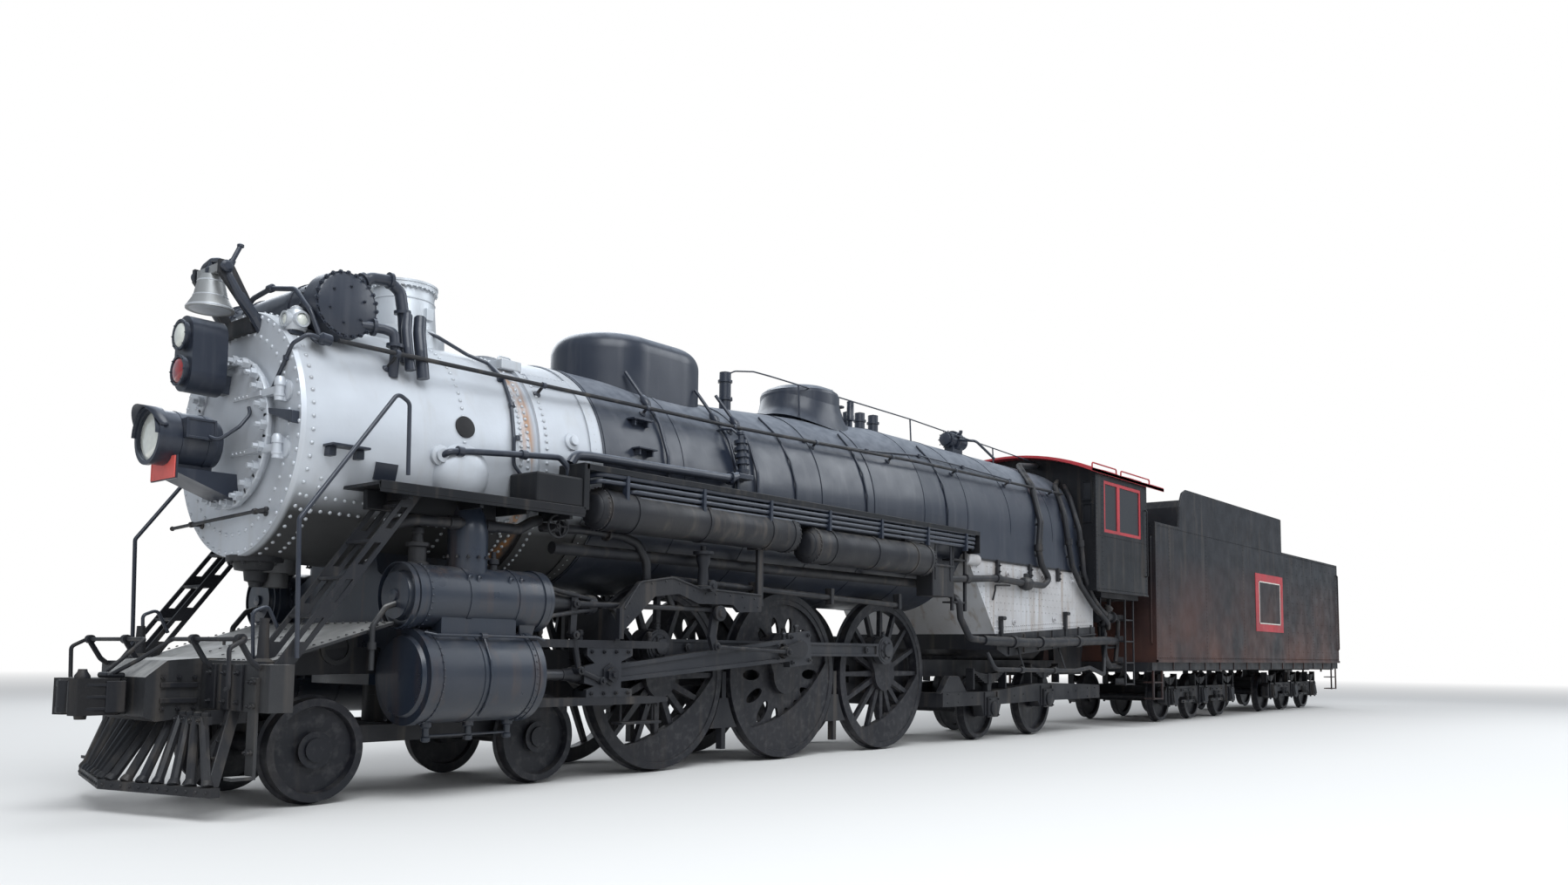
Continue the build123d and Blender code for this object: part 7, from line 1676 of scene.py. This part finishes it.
# ladder up the rear
deck += [rivets(0.012, rows), block((-22.68, 0.595, 0.95), (-22.655, 0.64, 3.74), 0.005),
    block((-22.68, 1.055, 0.95), (-22.655, 1.1, 3.74), 0.005)]
deck += [rod((-22.668, 0.6, z), (-22.668, 1.09, z), 0.013, 8)
    for z in [1.1 + 0.34 * k for k in range(8)]]
deck += [rod((-22.595, y, z), (-22.66, y, z), 0.014, 8) for z in (1.3, 3.5) for y in (0.617, 1.078)]
# rear lamp, and the rod that lifts the coupler's pin
deck += [turned([(0, 0.17), (0.03, 0.2), (0.26, 0.2), (0.28, 0.17)], (-22.2, 0, 4.08), AFT, 28),
    block((-22.42, -0.1, 3.779), (-22.26, 0.1, 3.9), 0.01),
    hoop((-22.47, 0, 4.08), AFT, 0.155, 0.205, 0.03, 28),
    tube([(-22.66, -1.32, 1.00), (-22.72, -1.32, 1.1), (-22.72, -0.3, 1.1), (-22.8, -0.12, 1.06)],
    0.017, 0.05)]
deck += [block((-22.74, y - 0.02, 0.98), (-22.65, y + 0.02, 1.12), 0.005) for y in (-1.32, -0.45)]
piece_of("tender_deck_fittings", deck, tender_black, "tender")
piece_of("rear_lamp_lens", [turned([(0, 0.155), (0.012, 0.14), (0.02, 0.07), (0.022, 0.0)],
    (-22.478, 0, 4.08), AFT, 28)], lens_glass, "tender")
piece_of("hatch_lid_fittings", [tube([(-20.52, -0.1, 3.912), (-20.52, -0.1, 3.928),
    (-20.52, 0.1, 3.928), (-20.52, 0.1, 3.912)], 0.008, 0.02),
    rivets(0.012, ring_places((-20.7, 0, 3.9145), UP, 0.33, 20))], tender_black, "tender_hatch_lid")

# %% Tender truck springs and axle boxes
for number, middle in ((1, -13.7), (2, -20.2)):
    bogie = []
    for x in (middle - 1.7, middle, middle + 1.7):
        box = block((x - 0.135, 1.0395, 0.345), (x + 0.135, 1.125, 0.665), 0.0)
        for vertex in box.data.vertices:
            if vertex.co.y > 1.08 and vertex.co.z > 0.5:
                vertex.co.y -= 0.035
        lid = block((x - 0.1, 1.1, 0.39), (x + 0.1, 1.118, 0.62), 0.006)
        for vertex in lid.data.vertices:
            vertex.co.y += 0.024 - (vertex.co.z - 0.39) * 0.13
        bogie += [bevel(box, 0.015), lid, rod((x - 0.07, 1.1, 0.64), (x + 0.07, 1.1, 0.64), 0.016,
            8), *slices((x - 0.19, x + 0.19), 0.035, (1.0395, 0.31), (1.066, 0.715), 0.006),
            nuts(0.014, facing(LEFT, [(x + dx, 1.066, z) for dx in (-0.19, 0.19)
            for z in (0.36, 0.5, 0.66)])), *leaf_spring(x, 0.955, 0.875, 0.36, 6, 0.235)]
    for x in (middle - 0.85, middle + 0.85):
        bogie += [block((x - 0.36, 1.0395, 0.6), (x + 0.36, 1.058, 0.66), 0.006),
            block((x - 0.36, 1.0395, 0.375), (x + 0.36, 1.058, 0.43), 0.006),
            nuts(0.014, facing(LEFT, [(x + dx, 1.058, z) for dx in (-0.28, 0.0, 0.28)
            for z in (0.4, 0.63)]))]
        bogie += [torus((x + dx, 1.075, 0.452 + 0.025 * turn), UP, 0.03, 0.009, 14, 6)
            for dx in (-0.11, 0.11) for turn in range(6)]
    piece_of(f"tender_truck_{number}_fittings", both_sides(bogie), frame_black,
        f"tender_truck_{number}")

# %% Put the templates away
for piece in templates.values():
    bpy.data.objects.remove(piece)
